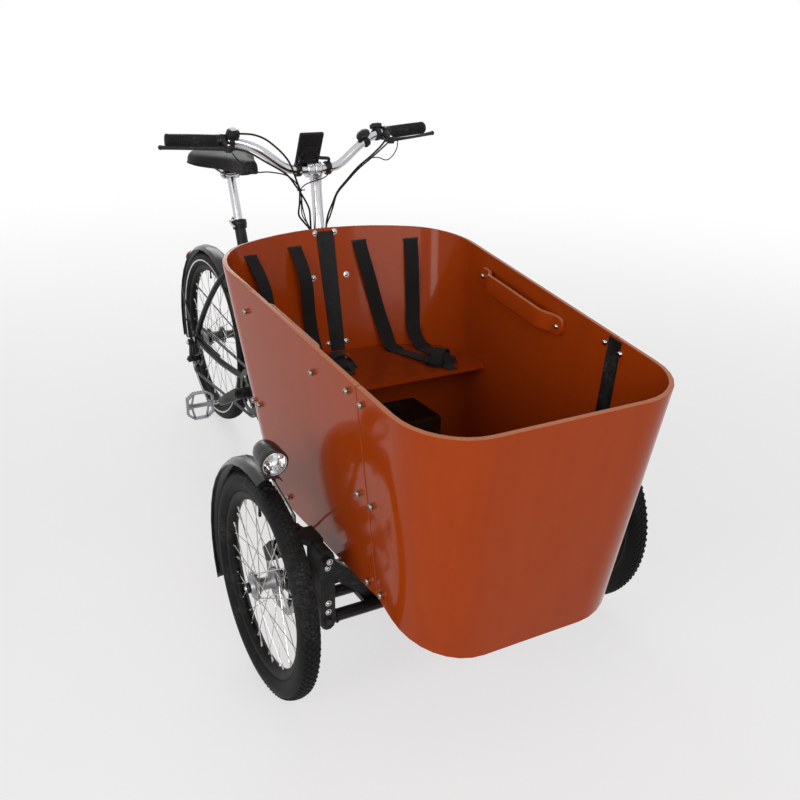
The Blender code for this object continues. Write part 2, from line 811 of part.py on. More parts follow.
def build_handles(root):
    """A bowed wooden grab bar on the inside of each side panel."""
    inset = WALL / cos(SIDE_LEAN) + SEAT_GAP
    for side, name in ((-1, "handle_right"), (1, "handle_left")):
        ends = []
        for y in (HANDLE_FRONT_Y, HANDLE_REAR_Y)[::side]:
            point = on_wall(("side", y), lambda v: rim_height(v) - HANDLE_DROP, inset)
            ends.append(mirrored(point, side))
        length = (ends[1] - ends[0]).length
        run = (ends[1] - ends[0]).normalized()
        lean = Vector((side * sin(SIDE_LEAN), 0, cos(SIDE_LEAN)))
        inwards = lean.cross(run).normalized()
        up = run.cross(inwards)
        foot = HANDLE_DEPTH * 1.1
        outline = [(0, 0), (length, 0)]
        outline += arc((length - foot * 0.45, HANDLE_DEPTH * 0.55), HANDLE_DEPTH * 0.45,
                       radians(10), radians(90), 4)
        outline += arc((foot * 0.45, HANDLE_DEPTH * 0.55), HANDLE_DEPTH * 0.45,
                       radians(90), radians(170), 4)
        slot_low, slot_high = HANDLE_DEPTH * 0.16, HANDLE_DEPTH - HANDLE_BAR
        slot = [(foot, slot_low), (length - foot, slot_low),
                (length - foot * 0.8, slot_high), (foot * 0.8, slot_high)]
        matrix = Matrix.Translation(ends[0] - up * (HANDLE_HEIGHT / 2)) @ Matrix((
            (*run, 0), (*inwards, 0), (*up, 0), (0, 0, 0, 1))).transposed()
        grip = flat(name, [outline, slot], HANDLE_HEIGHT, matrix)
        node(smooth(show(grip)), name, root, PLYWOOD)


def build_battery(root):
    foot = floor_height(BATTERY_FRONT_Y) + FLOOR_THICKNESS + SEAT_GAP
    pack = box("battery", (-BATTERY_WIDTH / 2, BATTERY_FRONT_Y, foot),
               (BATTERY_WIDTH / 2, BATTERY_FRONT_Y + BATTERY_LENGTH, foot + BATTERY_HEIGHT))
    soften(pack, PANEL_EDGE_RADIUS * 3)
    node(smooth(show(pack)), "battery", root, BLACK_PLASTIC)


def steer_point(z, x=0.0, back=0.0):
    """A point on the steering axis at a height, or beside and behind it."""
    return Vector((x, STEER_TOP_Y - (STEER_TOP_Z - z) * tan(STEER_LEAN) + back, z))


def build_front_frame(root):
    """The spine under the box, its cross tubes, the axle block and the head tube."""
    head_foot = steer_point(HEAD_TUBE_BOTTOM)
    spine_top = SPINE_BOTTOM + SPINE_HEIGHT
    frame = box("front_frame", (-SPINE_WIDTH / 2, SPINE_FRONT_Y, SPINE_BOTTOM),
                (SPINE_WIDTH / 2, head_foot.y, spine_top))
    tube_height = floor_height(0.0) - SEAT_GAP - CROSS_TUBE_RADIUS
    rails = [rod("rail", (-CROSS_TUBE_REACH, y, tube_height), (CROSS_TUBE_REACH, y, tube_height),
                 CROSS_TUBE_RADIUS) for y in CROSS_TUBE_PLACES]
    block = box("axle_block", (-AXLE_BLOCK_WIDTH / 2, SPINE_FRONT_Y + CUT_OVERRUN,
                               AXLE_BLOCK_BOTTOM),
                (AXLE_BLOCK_WIDTH / 2, AXLE_BLOCK_REAR_Y, SPINE_BOTTOM + CUT_OVERRUN))
    head = rod("head_tube", head_foot, steer_point(HEAD_TUBE_TOP), HEAD_TUBE_RADIUS, sides=16)
    cup_radius = HEAD_TUBE_RADIUS + CUT_OVERRUN
    cups = [rod("cup", steer_point(z), steer_point(z + HEAD_TUBE_RADIUS / 2), cup_radius, sides=16)
            for z in (HEAD_TUBE_BOTTOM - SEAT_GAP, HEAD_TUBE_TOP - HEAD_TUBE_RADIUS / 2)]
    gusset = tube("gusset", [steer_point(spine_top + HEAD_TUBE_RADIUS * 4),
                             (0, head_foot.y - HEAD_TUBE_RADIUS * 2, SPINE_BOTTOM + SPINE_HEIGHT / 2)],
                  CROSS_TUBE_RADIUS)
    bore = rod("bore", steer_point(HEAD_TUBE_BOTTOM - CUT_OVERRUN * 2),
               steer_point(HEAD_TUBE_TOP + CUT_OVERRUN * 2), COLUMN_RADIUS + RUNNING_GAP, sides=16)
    weld(frame, *rails, block, head, *cups, gusset)
    drill(frame, bore)
    node(smooth(show(frame)), "front_frame", root, BLACK_PAINT)


def build_front_axle(root):
    """The arms, braces and kingpin carriers that hold each front wheel."""
    for side, word in ((-1, "right"), (1, "left")):
        inner = side * (AXLE_BLOCK_WIDTH / 2 + SEAT_GAP)
        outer = side * (CARRIER_INNER_X - SEAT_GAP)
        arms = [rod("arm", (inner, y, ARM_HEIGHT), (outer, y, ARM_HEIGHT), ARM_TUBE_RADIUS)
                for y in (ARM_FRONT_Y, ARM_REAR_Y)]
        foot_z = ARM_HEIGHT + ARM_PLATE_WIDTH / 2 + SEAT_GAP
        rise = tan(BRACE_SLOPE)
        low_edge = BRACE_OUTER_TOP - BRACE_HEIGHT / cos(BRACE_SLOPE)
        toe_x = CARRIER_INNER_X - (low_edge - foot_z) / rise
        plate = span_box("plate", side, (BRACE_INNER_X - ARM_PLATE_WIDTH, toe_x + ARM_PLATE_WIDTH),
                         (ARM_FRONT_Y, ARM_REAR_Y), (ARM_HEIGHT - ARM_PLATE_WIDTH / 2,
                                                     ARM_HEIGHT + ARM_PLATE_WIDTH / 2))
        arm = weld(arms[0], arms[1], plate)
        node(smooth(show(arm)), "lower_arm_" + word, root, BLACK_PAINT)

        reach = CARRIER_INNER_X - SEAT_GAP
        inner_top = BRACE_OUTER_TOP - (reach - BRACE_INNER_X) * rise
        outline = [(BRACE_INNER_X, foot_z), (toe_x, foot_z), (reach, low_edge),
                   (reach, BRACE_OUTER_TOP), (BRACE_INNER_X, inner_top)]
        brace = flat("brace", [side_outline(side, outline)], BRACE_DEPTH, front_plane(BRACE_Y))
        node(show(brace), "axle_brace_" + word, root, BLACK_PAINT)

        carrier_x = side * (CARRIER_INNER_X + CARRIER_WIDTH / 2)
        half = CARRIER_WIDTH / 2
        ends = [(carrier_x, z) for z in (CARRIER_BOTTOM + half, CARRIER_TOP - half)]
        block = flat("carrier", [capsule(ends[0], half, ends[1], half)],
                     CARRIER_BACK_Y - CARRIER_FRONT_Y,
                     front_plane((CARRIER_FRONT_Y + CARRIER_BACK_Y) / 2))
        root_y = CARRIER_BACK_Y - EAR_ROOT
        wing = [(CARRIER_INNER_X + CUT_OVERRUN / 2, root_y),
                (CARRIER_INNER_X, CARRIER_BACK_Y + EAR_ROOT / 4), (CARRIER_INNER_X, EAR_ROOT)]
        wing += arc((KINGPIN_X, 0), EAR_RADIUS, pi / 2, -pi / 2, 6)
        wing += [(CARRIER_INNER_X + CARRIER_WIDTH - CUT_OVERRUN / 2, root_y)]
        ears = [flat("ear", [side_outline(side, wing)], top - low, level_plane((top + low) / 2))
                for low, top in ((LOWER_EAR_BOTTOM, LOWER_EAR_TOP),
                                 (UPPER_EAR_BOTTOM, UPPER_EAR_BOTTOM + EAR_THICKNESS))]
        bolts = [rod("bolt", (carrier_x, CARRIER_FRONT_Y - RING_BOLT_LENGTH, z),
                     (carrier_x, CARRIER_FRONT_Y + CUT_OVERRUN, z), RING_BOLT_RADIUS)
                 for z in (CARRIER_BOTTOM + RING_BOLT_INSET, CARRIER_TOP - RING_BOLT_INSET)]
        hole = rod("hole", (side * KINGPIN_X, 0, CARRIER_BOTTOM - CUT_OVERRUN),
                   (side * KINGPIN_X, 0, CARRIER_TOP + CUT_OVERRUN), KINGPIN_RADIUS + RUNNING_GAP)
        weld(block, *ears, *bolts)
        drill(block, hole)
        node(smooth(show(block)), "kingpin_carrier_" + word, root, BLACK_PAINT)


def side_outline(side, points):
    """An outline drawn on the left, turned over for the right."""
    return [(side * u, v) for u, v in points]


def span_box(name, side, x_span, y_span, z_span):
    """A block drawn on the left by its spans, turned over for the right."""
    low_x, high_x = sorted((side * x_span[0], side * x_span[1]))
    return box(name, (low_x, y_span[0], z_span[0]), (high_x, y_span[1], z_span[1]))


def build_knuckle(side, word, body):
    """A kingpin barrel with its stub axle, steering arms and brake caliper."""
    pin_x = side * KINGPIN_X
    wheel_x = side * TRACK_WIDTH / 2
    axle_z = FRONT_TYRE_RADIUS
    barrel = rod("barrel", (pin_x, 0, BARREL_BOTTOM), (pin_x, 0, BARREL_TOP), BARREL_RADIUS, sides=14)
    pin = rod("pin", (pin_x, 0, CARRIER_BOTTOM), (pin_x, 0, KINGPIN_TOP), KINGPIN_RADIUS)
    axle_end = wheel_x + side * (HUB_OUTER_LENGTH + RUNNING_GAP)
    axle = rod("axle", (pin_x, 0, axle_z), (axle_end + side * CUT_OVERRUN, 0, axle_z),
               AXLE_RADIUS)
    nut = rod("nut", (axle_end, 0, axle_z), (axle_end + side * FLANGE_WIDTH, 0, axle_z),
              AXLE_RADIUS * 1.4, sides=12)
    arm_z = STEER_ARM_BOTTOM + STEER_ARM_THICKNESS / 2
    tie_arm = flat("tie_arm", [capsule((pin_x, 0), STEER_ARM_WIDTH / 2,
                                       (pin_x, TIE_ARM_LENGTH), STEER_ARM_WIDTH / 2)],
                   STEER_ARM_THICKNESS, level_plane(arm_z))
    tools = [pin, axle, nut, tie_arm]
    if side < 0:
        tip = (pin_x - side * DRAG_ARM_REACH, DRAG_ARM_BACK)
        tools.append(flat("drag_arm", [capsule((pin_x, 0), STEER_ARM_WIDTH / 2, tip,
                                               STEER_ARM_WIDTH / 2)],
                          STEER_ARM_THICKNESS, level_plane(arm_z)))
    disc_x = wheel_x - side * (HUB_INNER_LENGTH - DISC_WIDTH)
    caliper_y = CALIPER_RADIUS * cos(CALIPER_ANGLE)
    caliper_z = axle_z + CALIPER_RADIUS * sin(CALIPER_ANGLE)
    turn = Matrix.Translation((disc_x, caliper_y, caliper_z)) @ Matrix.Rotation(
        CALIPER_ANGLE - pi / 2, 4, "X")
    caliper = box("caliper", (-CALIPER_WIDTH / 2, -CALIPER_LENGTH / 2, -CALIPER_HEIGHT / 2),
                  (CALIPER_WIDTH / 2, CALIPER_LENGTH / 2, CALIPER_HEIGHT / 2))
    caliper.data.transform(turn)
    caliper.data.transform(Matrix.Translation((-side * CALIPER_WIDTH * 0.16, 0, 0)))
    bridge = rod("bridge", (pin_x, 0, caliper_z), (disc_x - side * CALIPER_WIDTH / 2, caliper_y,
                                                   caliper_z), BARREL_RADIUS / 2)
    slot = turned("slot", [(0.0, CALIPER_SLOT / 2), (DISC_RADIUS + CUT_OVERRUN, CALIPER_SLOT / 2),
                           (DISC_RADIUS + CUT_OVERRUN, -CALIPER_SLOT / 2),
                           (0.0, -CALIPER_SLOT / 2)], WHEEL_STEPS,
                  axle_matrix((disc_x, 0, axle_z)), closed=False)
    drill(caliper, slot)
    weld(barrel, *tools, bridge, caliper)
    return node(smooth(show(barrel)), "knuckle_" + word, body, DARK_STEEL)


def wheel_profile(radius, rim_radius):
    """Half of a tyre's section as shares of its height and half width, bead to crown."""
    section_shares = ((0.0, 0.52), (0.22, 0.88), (0.50, 1.0), (0.80, 0.84), (1.0, 0.28))
    bead = rim_radius + SEAT_GAP
    points = [(bead + up_share * (radius - bead), TYRE_WIDTH / 2 * out_share)
              for up_share, out_share in section_shares]
    return points + [(r, -h) for r, h in reversed(points)]


def rim_profile(rim_radius):
    """A box-section rim: hooked sides, a waist and a narrow bed for the spokes."""
    half = RIM_WIDTH / 2
    bed = rim_radius - RIM_DEPTH
    waist = rim_radius - RIM_DEPTH * 0.55
    return [(rim_radius, half), (waist, half), (bed, half * 0.38), (bed, -half * 0.38),
            (waist, -half), (rim_radius, -half)]


def spokes(rim_radius, matrix):
    """Crossed spokes: each pair leaves its flange forwards and backwards."""
    bed = rim_radius - RIM_DEPTH
    bars = []
    count = SPOKE_PAIRS * 4
    for index in range(count):
        flange = 1 if index % 2 else -1
        lead = 1 if index // 2 % 2 else -1
        rim_angle = 2 * pi * index / count
        hub_angle = rim_angle + lead * SPOKE_SWEEP
        height = flange * FLANGE_OFFSET + lead * FLANGE_WIDTH * 0.36
        hub_radius = FLANGE_RADIUS - SPOKE_RADIUS * 2
        start = (hub_radius * cos(hub_angle), hub_radius * sin(hub_angle), height)
        end_radius = bed + RIM_DEPTH * 0.2
        end = (end_radius * cos(rim_angle), end_radius * sin(rim_angle),
               flange * SPOKE_RADIUS * 1.6)
        bars.append(rod("spoke", start, end, SPOKE_RADIUS, sides=3))
    return join_shapes("spokes", bars), matrix


def build_wheel(name, centre, rim_radius, hub, body, side):
    """Rim, laced spokes and hub as one wheel; hub is a closed (radius, height) profile."""
    matrix = axle_matrix(centre, side)
    rim = turned(name, rim_profile(rim_radius), WHEEL_STEPS, matrix)
    laced, place = spokes(rim_radius, matrix)
    laced.matrix_world = place
    core = turned("hub", hub, HUB_STEPS, matrix)
    weld(rim, laced, core)
    return node(smooth(show(rim)), name, body, SILVER)


def front_hub():
    """Axle bore, outer end, two flanges, and the brake disc at the inner end."""
    bore = AXLE_RADIUS + RUNNING_GAP
    out, inner = HUB_OUTER_LENGTH, -HUB_INNER_LENGTH
    near, far = FLANGE_OFFSET - FLANGE_WIDTH / 2, FLANGE_OFFSET + FLANGE_WIDTH / 2
    return [(bore, out), (HUB_SHELL_RADIUS, out), (HUB_SHELL_RADIUS, far), (FLANGE_RADIUS, far),
            (FLANGE_RADIUS, near), (HUB_SHELL_RADIUS, near), (HUB_SHELL_RADIUS, -near),
            (FLANGE_RADIUS, -near), (FLANGE_RADIUS, -far), (HUB_SHELL_RADIUS, -far),
            (HUB_SHELL_RADIUS, inner + DISC_WIDTH * 1.5), (DISC_RADIUS, inner + DISC_WIDTH * 1.5),
            (DISC_RADIUS, inner + DISC_WIDTH * 0.5), (HUB_SHELL_RADIUS, inner + DISC_WIDTH * 0.5),
            (HUB_SHELL_RADIUS, inner), (bore, inner)]


def rear_hub():
    """Axle bore, brake side, two flanges and the stack of sprockets on the chain side."""
    bore = AXLE_RADIUS + RUNNING_GAP
    out = REAR_HUB_LENGTH
    near, far = FLANGE_OFFSET - FLANGE_WIDTH / 2, FLANGE_OFFSET + FLANGE_WIDTH / 2
    stack = -CHAIN_X + RING_THICKNESS / 2
    return [(bore, out), (HUB_SHELL_RADIUS, out), (HUB_SHELL_RADIUS, stack), (COG_RADIUS, stack),
            (COG_RADIUS, stack - RING_THICKNESS), (HUB_SHELL_RADIUS * 1.6, stack - RING_THICKNESS),
            (HUB_SHELL_RADIUS * 1.6, far), (FLANGE_RADIUS, far),
            (FLANGE_RADIUS, near), (HUB_SHELL_RADIUS, near), (HUB_SHELL_RADIUS, -near),
            (FLANGE_RADIUS, -near), (FLANGE_RADIUS, -far), (HUB_SHELL_RADIUS, -far),
            (HUB_SHELL_RADIUS, -out), (bore, -out)]


def mudguard(name, centre, radius, start, end, steps):
    """A crowned strip turned part of the way round the wheel, thickened outwards."""
    half, rise = MUDGUARD_WIDTH / 2, MUDGUARD_CROWN
    section_shares = ((-1.0, 0.0), (-0.72, 0.62), (-0.28, 1.0), (0.28, 1.0), (0.72, 0.62), (1.0, 0.0))
    profile = [(radius - rise + rise * up_share, half * out_share)
               for out_share, up_share in section_shares]
    # The turned strip starts on +Y of the wheel and rises towards +Z
    matrix = (Matrix.Translation(centre) @ Matrix.Rotation(start, 4, "X")
              @ Matrix(((0, 0, 1, 0), (1, 0, 0, 0), (0, 1, 0, 0), (0, 0, 0, 1))))
    strip = turned(name, profile, steps, matrix, closed=False, sweep=end - start)
    sheet = strip.modifiers.new("sheet", "SOLIDIFY")
    sheet.thickness = MUDGUARD_SHEET
    sheet.offset = 1
    sheet.use_even_offset = True
    return strip


def build_front_guard(side, word, body):
    """The mudguard with its stay down to the kingpin, and the lamp on top of it."""
    wheel_x = side * TRACK_WIDTH / 2
    radius = FRONT_TYRE_RADIUS + MUDGUARD_GAP
    guard = mudguard("guard", (wheel_x, 0, FRONT_TYRE_RADIUS), radius, MUDGUARD_REAR,
                     MUDGUARD_FRONT, MUDGUARD_STEPS)
    edge_x = wheel_x - side * (MUDGUARD_WIDTH / 2 + STAY_THICKNESS / 2)
    edge_z = FRONT_TYRE_RADIUS + radius - MUDGUARD_CROWN
    pin_x = side * KINGPIN_X
    foot_z = KINGPIN_TOP + SEAT_GAP
    stay = ribbon("stay", [(pin_x, 0, foot_z + STAY_THICKNESS),
                           (pin_x, 0, foot_z + BARREL_RADIUS * 2),
                           (edge_x, 0, edge_z - MUDGUARD_CROWN * 2),
                           (edge_x, 0, edge_z + MUDGUARD_CROWN * 0.4)],
                  STAY_WIDTH, STAY_THICKNESS, [(0, 1, 0)] * 4)
    foot = rod("foot", (pin_x, 0, foot_z), (pin_x, 0, foot_z + STAY_THICKNESS * 2), BARREL_RADIUS * 0.8)
    guard = settle(guard)
    weld(guard, stay, foot)
    node(smooth(show(guard)), "front_mudguard_" + word, body, BLACK_PLASTIC)

    profile_shares = ((0.0, 0.0), (0.42, 0.03), (0.72, 0.14), (0.92, 0.34), (1.0, 0.62),
                      (1.0, 0.94), (0.93, 1.0), (0.0, 1.0))
    profile = [(LAMP_RADIUS * r_share, -LAMP_LENGTH * l_share) for r_share, l_share in profile_shares]
    centre = Vector((wheel_x, LAMP_Y, LAMP_HEIGHT))
    back = centre + Vector((0, LAMP_LENGTH / 2, 0))
    lamp = turned("lamp", profile, 16, Matrix.Translation(back) @ Matrix.Rotation(-pi / 2, 4, "X"),
                  closed=False)
    outer = radius + MUDGUARD_SHEET + SEAT_GAP
    foot_low = FRONT_TYRE_RADIUS + outer
    post = rod("post", (wheel_x, LAMP_Y, foot_low - lamp_sink(outer)), (wheel_x, LAMP_Y, LAMP_HEIGHT),
               LAMP_FOOT_RADIUS)
    weld(lamp, post)
    node(smooth(show(lamp)), "headlamp_" + word, body, BLACK_PLASTIC)


def lamp_sink(outer):
    """How far the mudguard's crown has fallen at the front of the lamp's foot."""
    reach = abs(LAMP_Y) - LAMP_FOOT_RADIUS
    return outer - sqrt(outer ** 2 - reach ** 2)


def build_tie_rod(body):
    y, top = TIE_ARM_LENGTH, STEER_ARM_BOTTOM - SEAT_GAP
    middle = top - ROD_END_HEIGHT / 2
    bar = rod("tie_rod", (-KINGPIN_X, y, middle), (KINGPIN_X, y, middle), TIE_ROD_RADIUS, sides=12)
    ends = [rod("end", (side * KINGPIN_X, y, top - ROD_END_HEIGHT), (side * KINGPIN_X, y, top),
                ROD_END_RADIUS) for side in (-1, 1)]
    weld(bar, *ends)
    node(smooth(show(bar)), "tie_rod", body, DARK_STEEL)


def steer_direction():
    return Vector((0, sin(STEER_LEAN), cos(STEER_LEAN)))


def pitman_reach():
    """How far the column's lower arm reaches sideways and back, so both locks agree."""
    share = sin(WHEEL_LOCK) / sin(BAR_LOCK)
    return DRAG_ARM_REACH * share, DRAG_ARM_BACK * share


def pitman_tip():
    """The pivot at the end of the column's lower arm, square to the steering axis."""
    aside, back = pitman_reach()
    return steer_point(DRAG_LINK_HEIGHT - back * tan(STEER_LEAN), x=aside,
                       back=back / cos(STEER_LEAN) ** 2)


def build_drag_link(body):
    start = pitman_tip()
    end = Vector((-KINGPIN_X + DRAG_ARM_REACH, DRAG_ARM_BACK, DRAG_LINK_HEIGHT))
    link = rod("drag_link", start, end, TIE_ROD_RADIUS, sides=12)
    leaned = steer_direction() * (PITMAN_END_HEIGHT / 2)
    upright = Vector((0, 0, ROD_END_HEIGHT / 2))
    ends = [rod("end", point - half, point + half, ROD_END_RADIUS)
            for point, half in ((start, leaned), (end, upright))]
    weld(link, *ends)
    node(smooth(show(link)), "drag_link", body, DARK_STEEL)


def build_steering(body):
    """The column in the head tube, the stem, the bar and what is clamped to it."""
    column = rod("steering_column", steer_point(COLUMN_BOTTOM), steer_point(COLUMN_TOP),
                 COLUMN_RADIUS, sides=16)
    collar = rod("collar", steer_point(HEAD_TUBE_TOP + RUNNING_GAP), steer_point(COLUMN_TOP),
                 COLLAR_RADIUS, sides=16)
    aside, back = pitman_reach()
    drop = PITMAN_END_HEIGHT / 2 + SEAT_GAP + STEER_ARM_THICKNESS / 2
    arm_plane = (Matrix.Translation(steer_point(DRAG_LINK_HEIGHT) - steer_direction() * drop)
                 @ Matrix.Rotation(-STEER_LEAN, 4, "X"))
    arm = flat("pitman", [capsule((0, 0), COLUMN_RADIUS + CUT_OVERRUN / 2,
                                  (aside, back / cos(STEER_LEAN)), STEER_ARM_WIDTH / 2)],
               STEER_ARM_THICKNESS, arm_plane)
    weld(column, collar, arm)
    node(smooth(show(column)), "steering_column", body, DARK_STEEL)

    bar_middle = Vector(BAR_POINTS[0])
    stem = rod("stem", steer_point(COLUMN_TOP + SEAT_GAP), steer_point(bar_middle.z + BAR_RADIUS / 2),
               STEM_RADIUS, sides=14)
    clamp = rod("clamp", bar_middle - Vector((STEM_CLAMP_HALF_WIDTH, 0, 0)),
                bar_middle + Vector((STEM_CLAMP_HALF_WIDTH, 0, 0)), STEM_CLAMP_RADIUS, sides=14)
    hole = rod("hole", bar_middle - Vector((STEM_CLAMP_HALF_WIDTH * 2, 0, 0)),
               bar_middle + Vector((STEM_CLAMP_HALF_WIDTH * 2, 0, 0)), BAR_RADIUS + RUNNING_GAP,
               sides=14)
    weld(stem, clamp)
    drill(stem, hole)
    node(smooth(show(stem)), "stem", body, SILVER)

    # The bends end at the fifth point, and a straight run holds the grip
    half = [Vector(point) for point in BAR_POINTS[:-1]]
    whole = [mirrored(point, -1) for point in reversed(half[1:])] + half
    bends = curve_path(whole, BAR_STEPS * (len(whole) - 1))[BAR_STEPS:-BAR_STEPS]
    bar = tube("handlebar", [mirrored(BAR_POINTS[-1], -1), *bends, Vector(BAR_POINTS[-1])],
               BAR_RADIUS)
    node(smooth(show(bar)), "handlebar", body, SILVER)
    for side, word in ((-1, "right"), (1, "left")):
        build_grip(side, word, body)


def bar_run(side):
    """The straight end of the bar: its tip and the direction back along it."""
    tip = mirrored(BAR_POINTS[-1], side)
    bend = mirrored(BAR_POINTS[-2], side)
    return tip, (bend - tip).normalized()


def build_grip(side, word, body):
    tip, inwards = bar_run(side)
    start = tip - inwards * GRIP_RADIUS / 4
    end = tip + inwards * GRIP_LENGTH
    grip = rod("grip", start, end, GRIP_RADIUS, sides=14)
    hole = rod("hole", tip + inwards * -RUNNING_GAP, end + inwards * CUT_OVERRUN,
               BAR_RADIUS + RUNNING_GAP, sides=14)
    drill(grip, hole)
    node(smooth(show(grip)), "grip_" + word, body, RUBBER)

    clamp_at = end + inwards * (RUNNING_GAP + LEVER_CLAMP_WIDTH / 2)
    half = inwards * LEVER_CLAMP_WIDTH / 2
    clamp = rod("clamp", clamp_at - half, clamp_at + half, LEVER_CLAMP_RADIUS, sides=14)
    forward = Vector((0, -1, 0))
    pivot = clamp_at + forward * LEVER_FORWARD + Vector((0, 0, -LEVER_DROP))
    housing = rod("housing", clamp_at, pivot, LEVER_CLAMP_RADIUS * 0.6, LEVER_CLAMP_RADIUS * 0.5)
    blade_end = tip - inwards * LEVER_OVERHANG + forward * LEVER_FORWARD * 0.62
    blade_end = blade_end + Vector((0, 0, -LEVER_DROP))
    middle = (pivot + blade_end) / 2 + forward * LEVER_DROP * 0.6
    blade = tube("blade", curve_path([pivot, middle, blade_end], 6), LEVER_CLAMP_RADIUS * 0.28)
    hole = rod("hole", clamp_at - half * 2, clamp_at + half * 2, BAR_RADIUS + RUNNING_GAP, sides=14)
    weld(clamp, housing, blade)
    drill(clamp, hole)
    node(smooth(show(clamp)), "brake_lever_" + word, body, BLACK_PLASTIC)


def build_display(body):
    """A tablet-shaped display on a bracket in front of the stem's clamp."""
    turn = Matrix.Translation((0, DISPLAY_Y, DISPLAY_Z)) @ Matrix.Rotation(DISPLAY_TILT, 4, "X")
    case = box("display", (-DISPLAY_WIDTH / 2, -DISPLAY_LENGTH / 2, -DISPLAY_THICKNESS / 2),
               (DISPLAY_WIDTH / 2, DISPLAY_LENGTH / 2, DISPLAY_THICKNESS / 2))
    case.data.transform(turn)
    soften(case, DISPLAY_THICKNESS / 4)
    foot_z = BAR_POINTS[0][2] + STEM_CLAMP_RADIUS + SEAT_GAP
    foot = rod("foot", (0, BAR_POINTS[0][1], foot_z), (0, BAR_POINTS[0][1], DISPLAY_Z), BAR_RADIUS)
    weld(case, foot)
    node(smooth(show(case)), "display", body, BLACK_PLASTIC)


def build_rear_frame(root):
    """Main beam, motor cradle, seat tube, stays and dropouts of the rider's end."""
    motor = (MOTOR_Y, MOTOR_Z)
    inner = MOTOR_RADIUS - CUT_OVERRUN / 2
    outer = MOTOR_RADIUS + CRADLE_THICKNESS
    outline = (arc(motor, outer, CRADLE_START, CRADLE_END, 11)
               + arc(motor, inner, CRADLE_END, CRADLE_START, 11))
    frame = flat("rear_frame", [outline], MOTOR_WIDTH, side_plane(0.0))
    start = steer_point(MAIN_TUBE_Z).y + HEAD_TUBE_RADIUS * 0.6
    beam_end = MOTOR_Y - inner - CRADLE_THICKNESS / 2
    beam = rod("beam", (0, start, MAIN_TUBE_Z + MAIN_TUBE_RADIUS * 0.3),
               (0, beam_end, MAIN_TUBE_Z + MAIN_TUBE_RADIUS * 0.3), MAIN_TUBE_RADIUS, sides=12)
    lean = tan(SEAT_TUBE_LEAN)
    seat_top = Vector((0, SEAT_TUBE_TOP_Y, SEAT_TUBE_TOP_Z))
    foot_z = MOTOR_Z + outer - CRADLE_THICKNESS / 2
    seat_foot = Vector((0, SEAT_TUBE_TOP_Y - (SEAT_TUBE_TOP_Z - foot_z) * lean, foot_z))
    seat_tube = rod("seat_tube", seat_foot, seat_top, SEAT_TUBE_RADIUS, sides=16)
    down = (seat_top - seat_foot).normalized() * SEAT_COLLAR_HEIGHT
    collar = rod("collar", seat_top - down, seat_top, SEAT_COLLAR_RADIUS, sides=16)
    high = steer_point(HEAD_TUBE_TOP * 0.62, back=HEAD_TUBE_RADIUS * 0.7)
    low = Vector((0, MOTOR_Y - MOTOR_RADIUS - MOTOR_NOSE_RADIUS * 2, MAIN_TUBE_Z))
    bends = [(0, high.y + (low.y - high.y) * y_share, low.z + (high.z - low.z) * z_share)
             for y_share, z_share in BRACE_SHARES]
    brace_line = curve_path([high, *bends, low], 9)
    brace = tube("brace", brace_line, BRACE_TUBE_RADIUS)
    pieces = [beam, brace, seat_tube, collar]
    stay_end = DROPOUT_RADIUS * 0.85
    for side in (-1, 1):
        axle = Vector((side * DROPOUT_X, WHEELBASE, REAR_TYRE_RADIUS))
        front = Vector((side * CHAINSTAY_FRONT_X, MOTOR_Y + inner * cos(CRADLE_START),
                        MOTOR_Z + outer * sin(CRADLE_START) * 1.4))
        middle = (front + axle) / 2 + Vector((0, 0, -CHAINSTAY_RADIUS * 1.5))
        end = axle + (middle - axle).normalized() * stay_end
        pieces.append(tube("chainstay", curve_path([front, middle, end], 4), CHAINSTAY_RADIUS))
        high = Vector((side * SEAT_TUBE_RADIUS, SEAT_TUBE_TOP_Y - STAY_DROP * lean,
                       SEAT_TUBE_TOP_Z - STAY_DROP))
        span = Vector((side * DROPOUT_X, axle.y, axle.z)) - high
        route = [high] + [high + Vector((span.x * x_share, span.y * y_share, span.z * z_share))
                          for x_share, y_share, z_share in STAY_SHARES]
        route.append(axle + (Vector(route[-1]) - axle).normalized() * stay_end)
        pieces.append(tube("seatstay", curve_path(route, 8), SEATSTAY_RADIUS))
        pieces.append(rod("dropout", axle - Vector((DROPOUT_THICKNESS / 2, 0, 0)),
                          axle + Vector((DROPOUT_THICKNESS / 2, 0, 0)), DROPOUT_RADIUS, sides=16))
    weld(frame, *pieces)
    bore = rod("bore", seat_top - (seat_top - seat_foot).normalized() * (POST_INSERTION + CUT_OVERRUN),
               seat_top + (seat_top - seat_foot).normalized() * CUT_OVERRUN,
               POST_RADIUS + RUNNING_GAP, sides=16)
    axle_hole = rod("axle_hole", (-DROPOUT_X * 2, WHEELBASE, REAR_TYRE_RADIUS),
                    (DROPOUT_X * 2, WHEELBASE, REAR_TYRE_RADIUS), AXLE_RADIUS + SEAT_GAP,
                    sides=12)
    room = rod("wheel_room", (-DROPOUT_X + DROPOUT_THICKNESS / 2, WHEELBASE, REAR_TYRE_RADIUS),
               (DROPOUT_X - DROPOUT_THICKNESS / 2, WHEELBASE, REAR_TYRE_RADIUS),
               DROPOUT_RADIUS * 1.3, sides=16)
    motor_room = flat("motor_room", [motor_outline(SEAT_GAP * 2)], MOTOR_WIDTH * 2, side_plane(0.0))
    head_room = rod("head_room", steer_point(HEAD_TUBE_BOTTOM), steer_point(HEAD_TUBE_TOP),
                    HEAD_TUBE_RADIUS + SEAT_GAP, sides=16)
    drill(frame, bore, axle_hole, room, motor_room, head_room)
    node(smooth(show(frame)), "rear_frame", root, BLACK_PAINT)

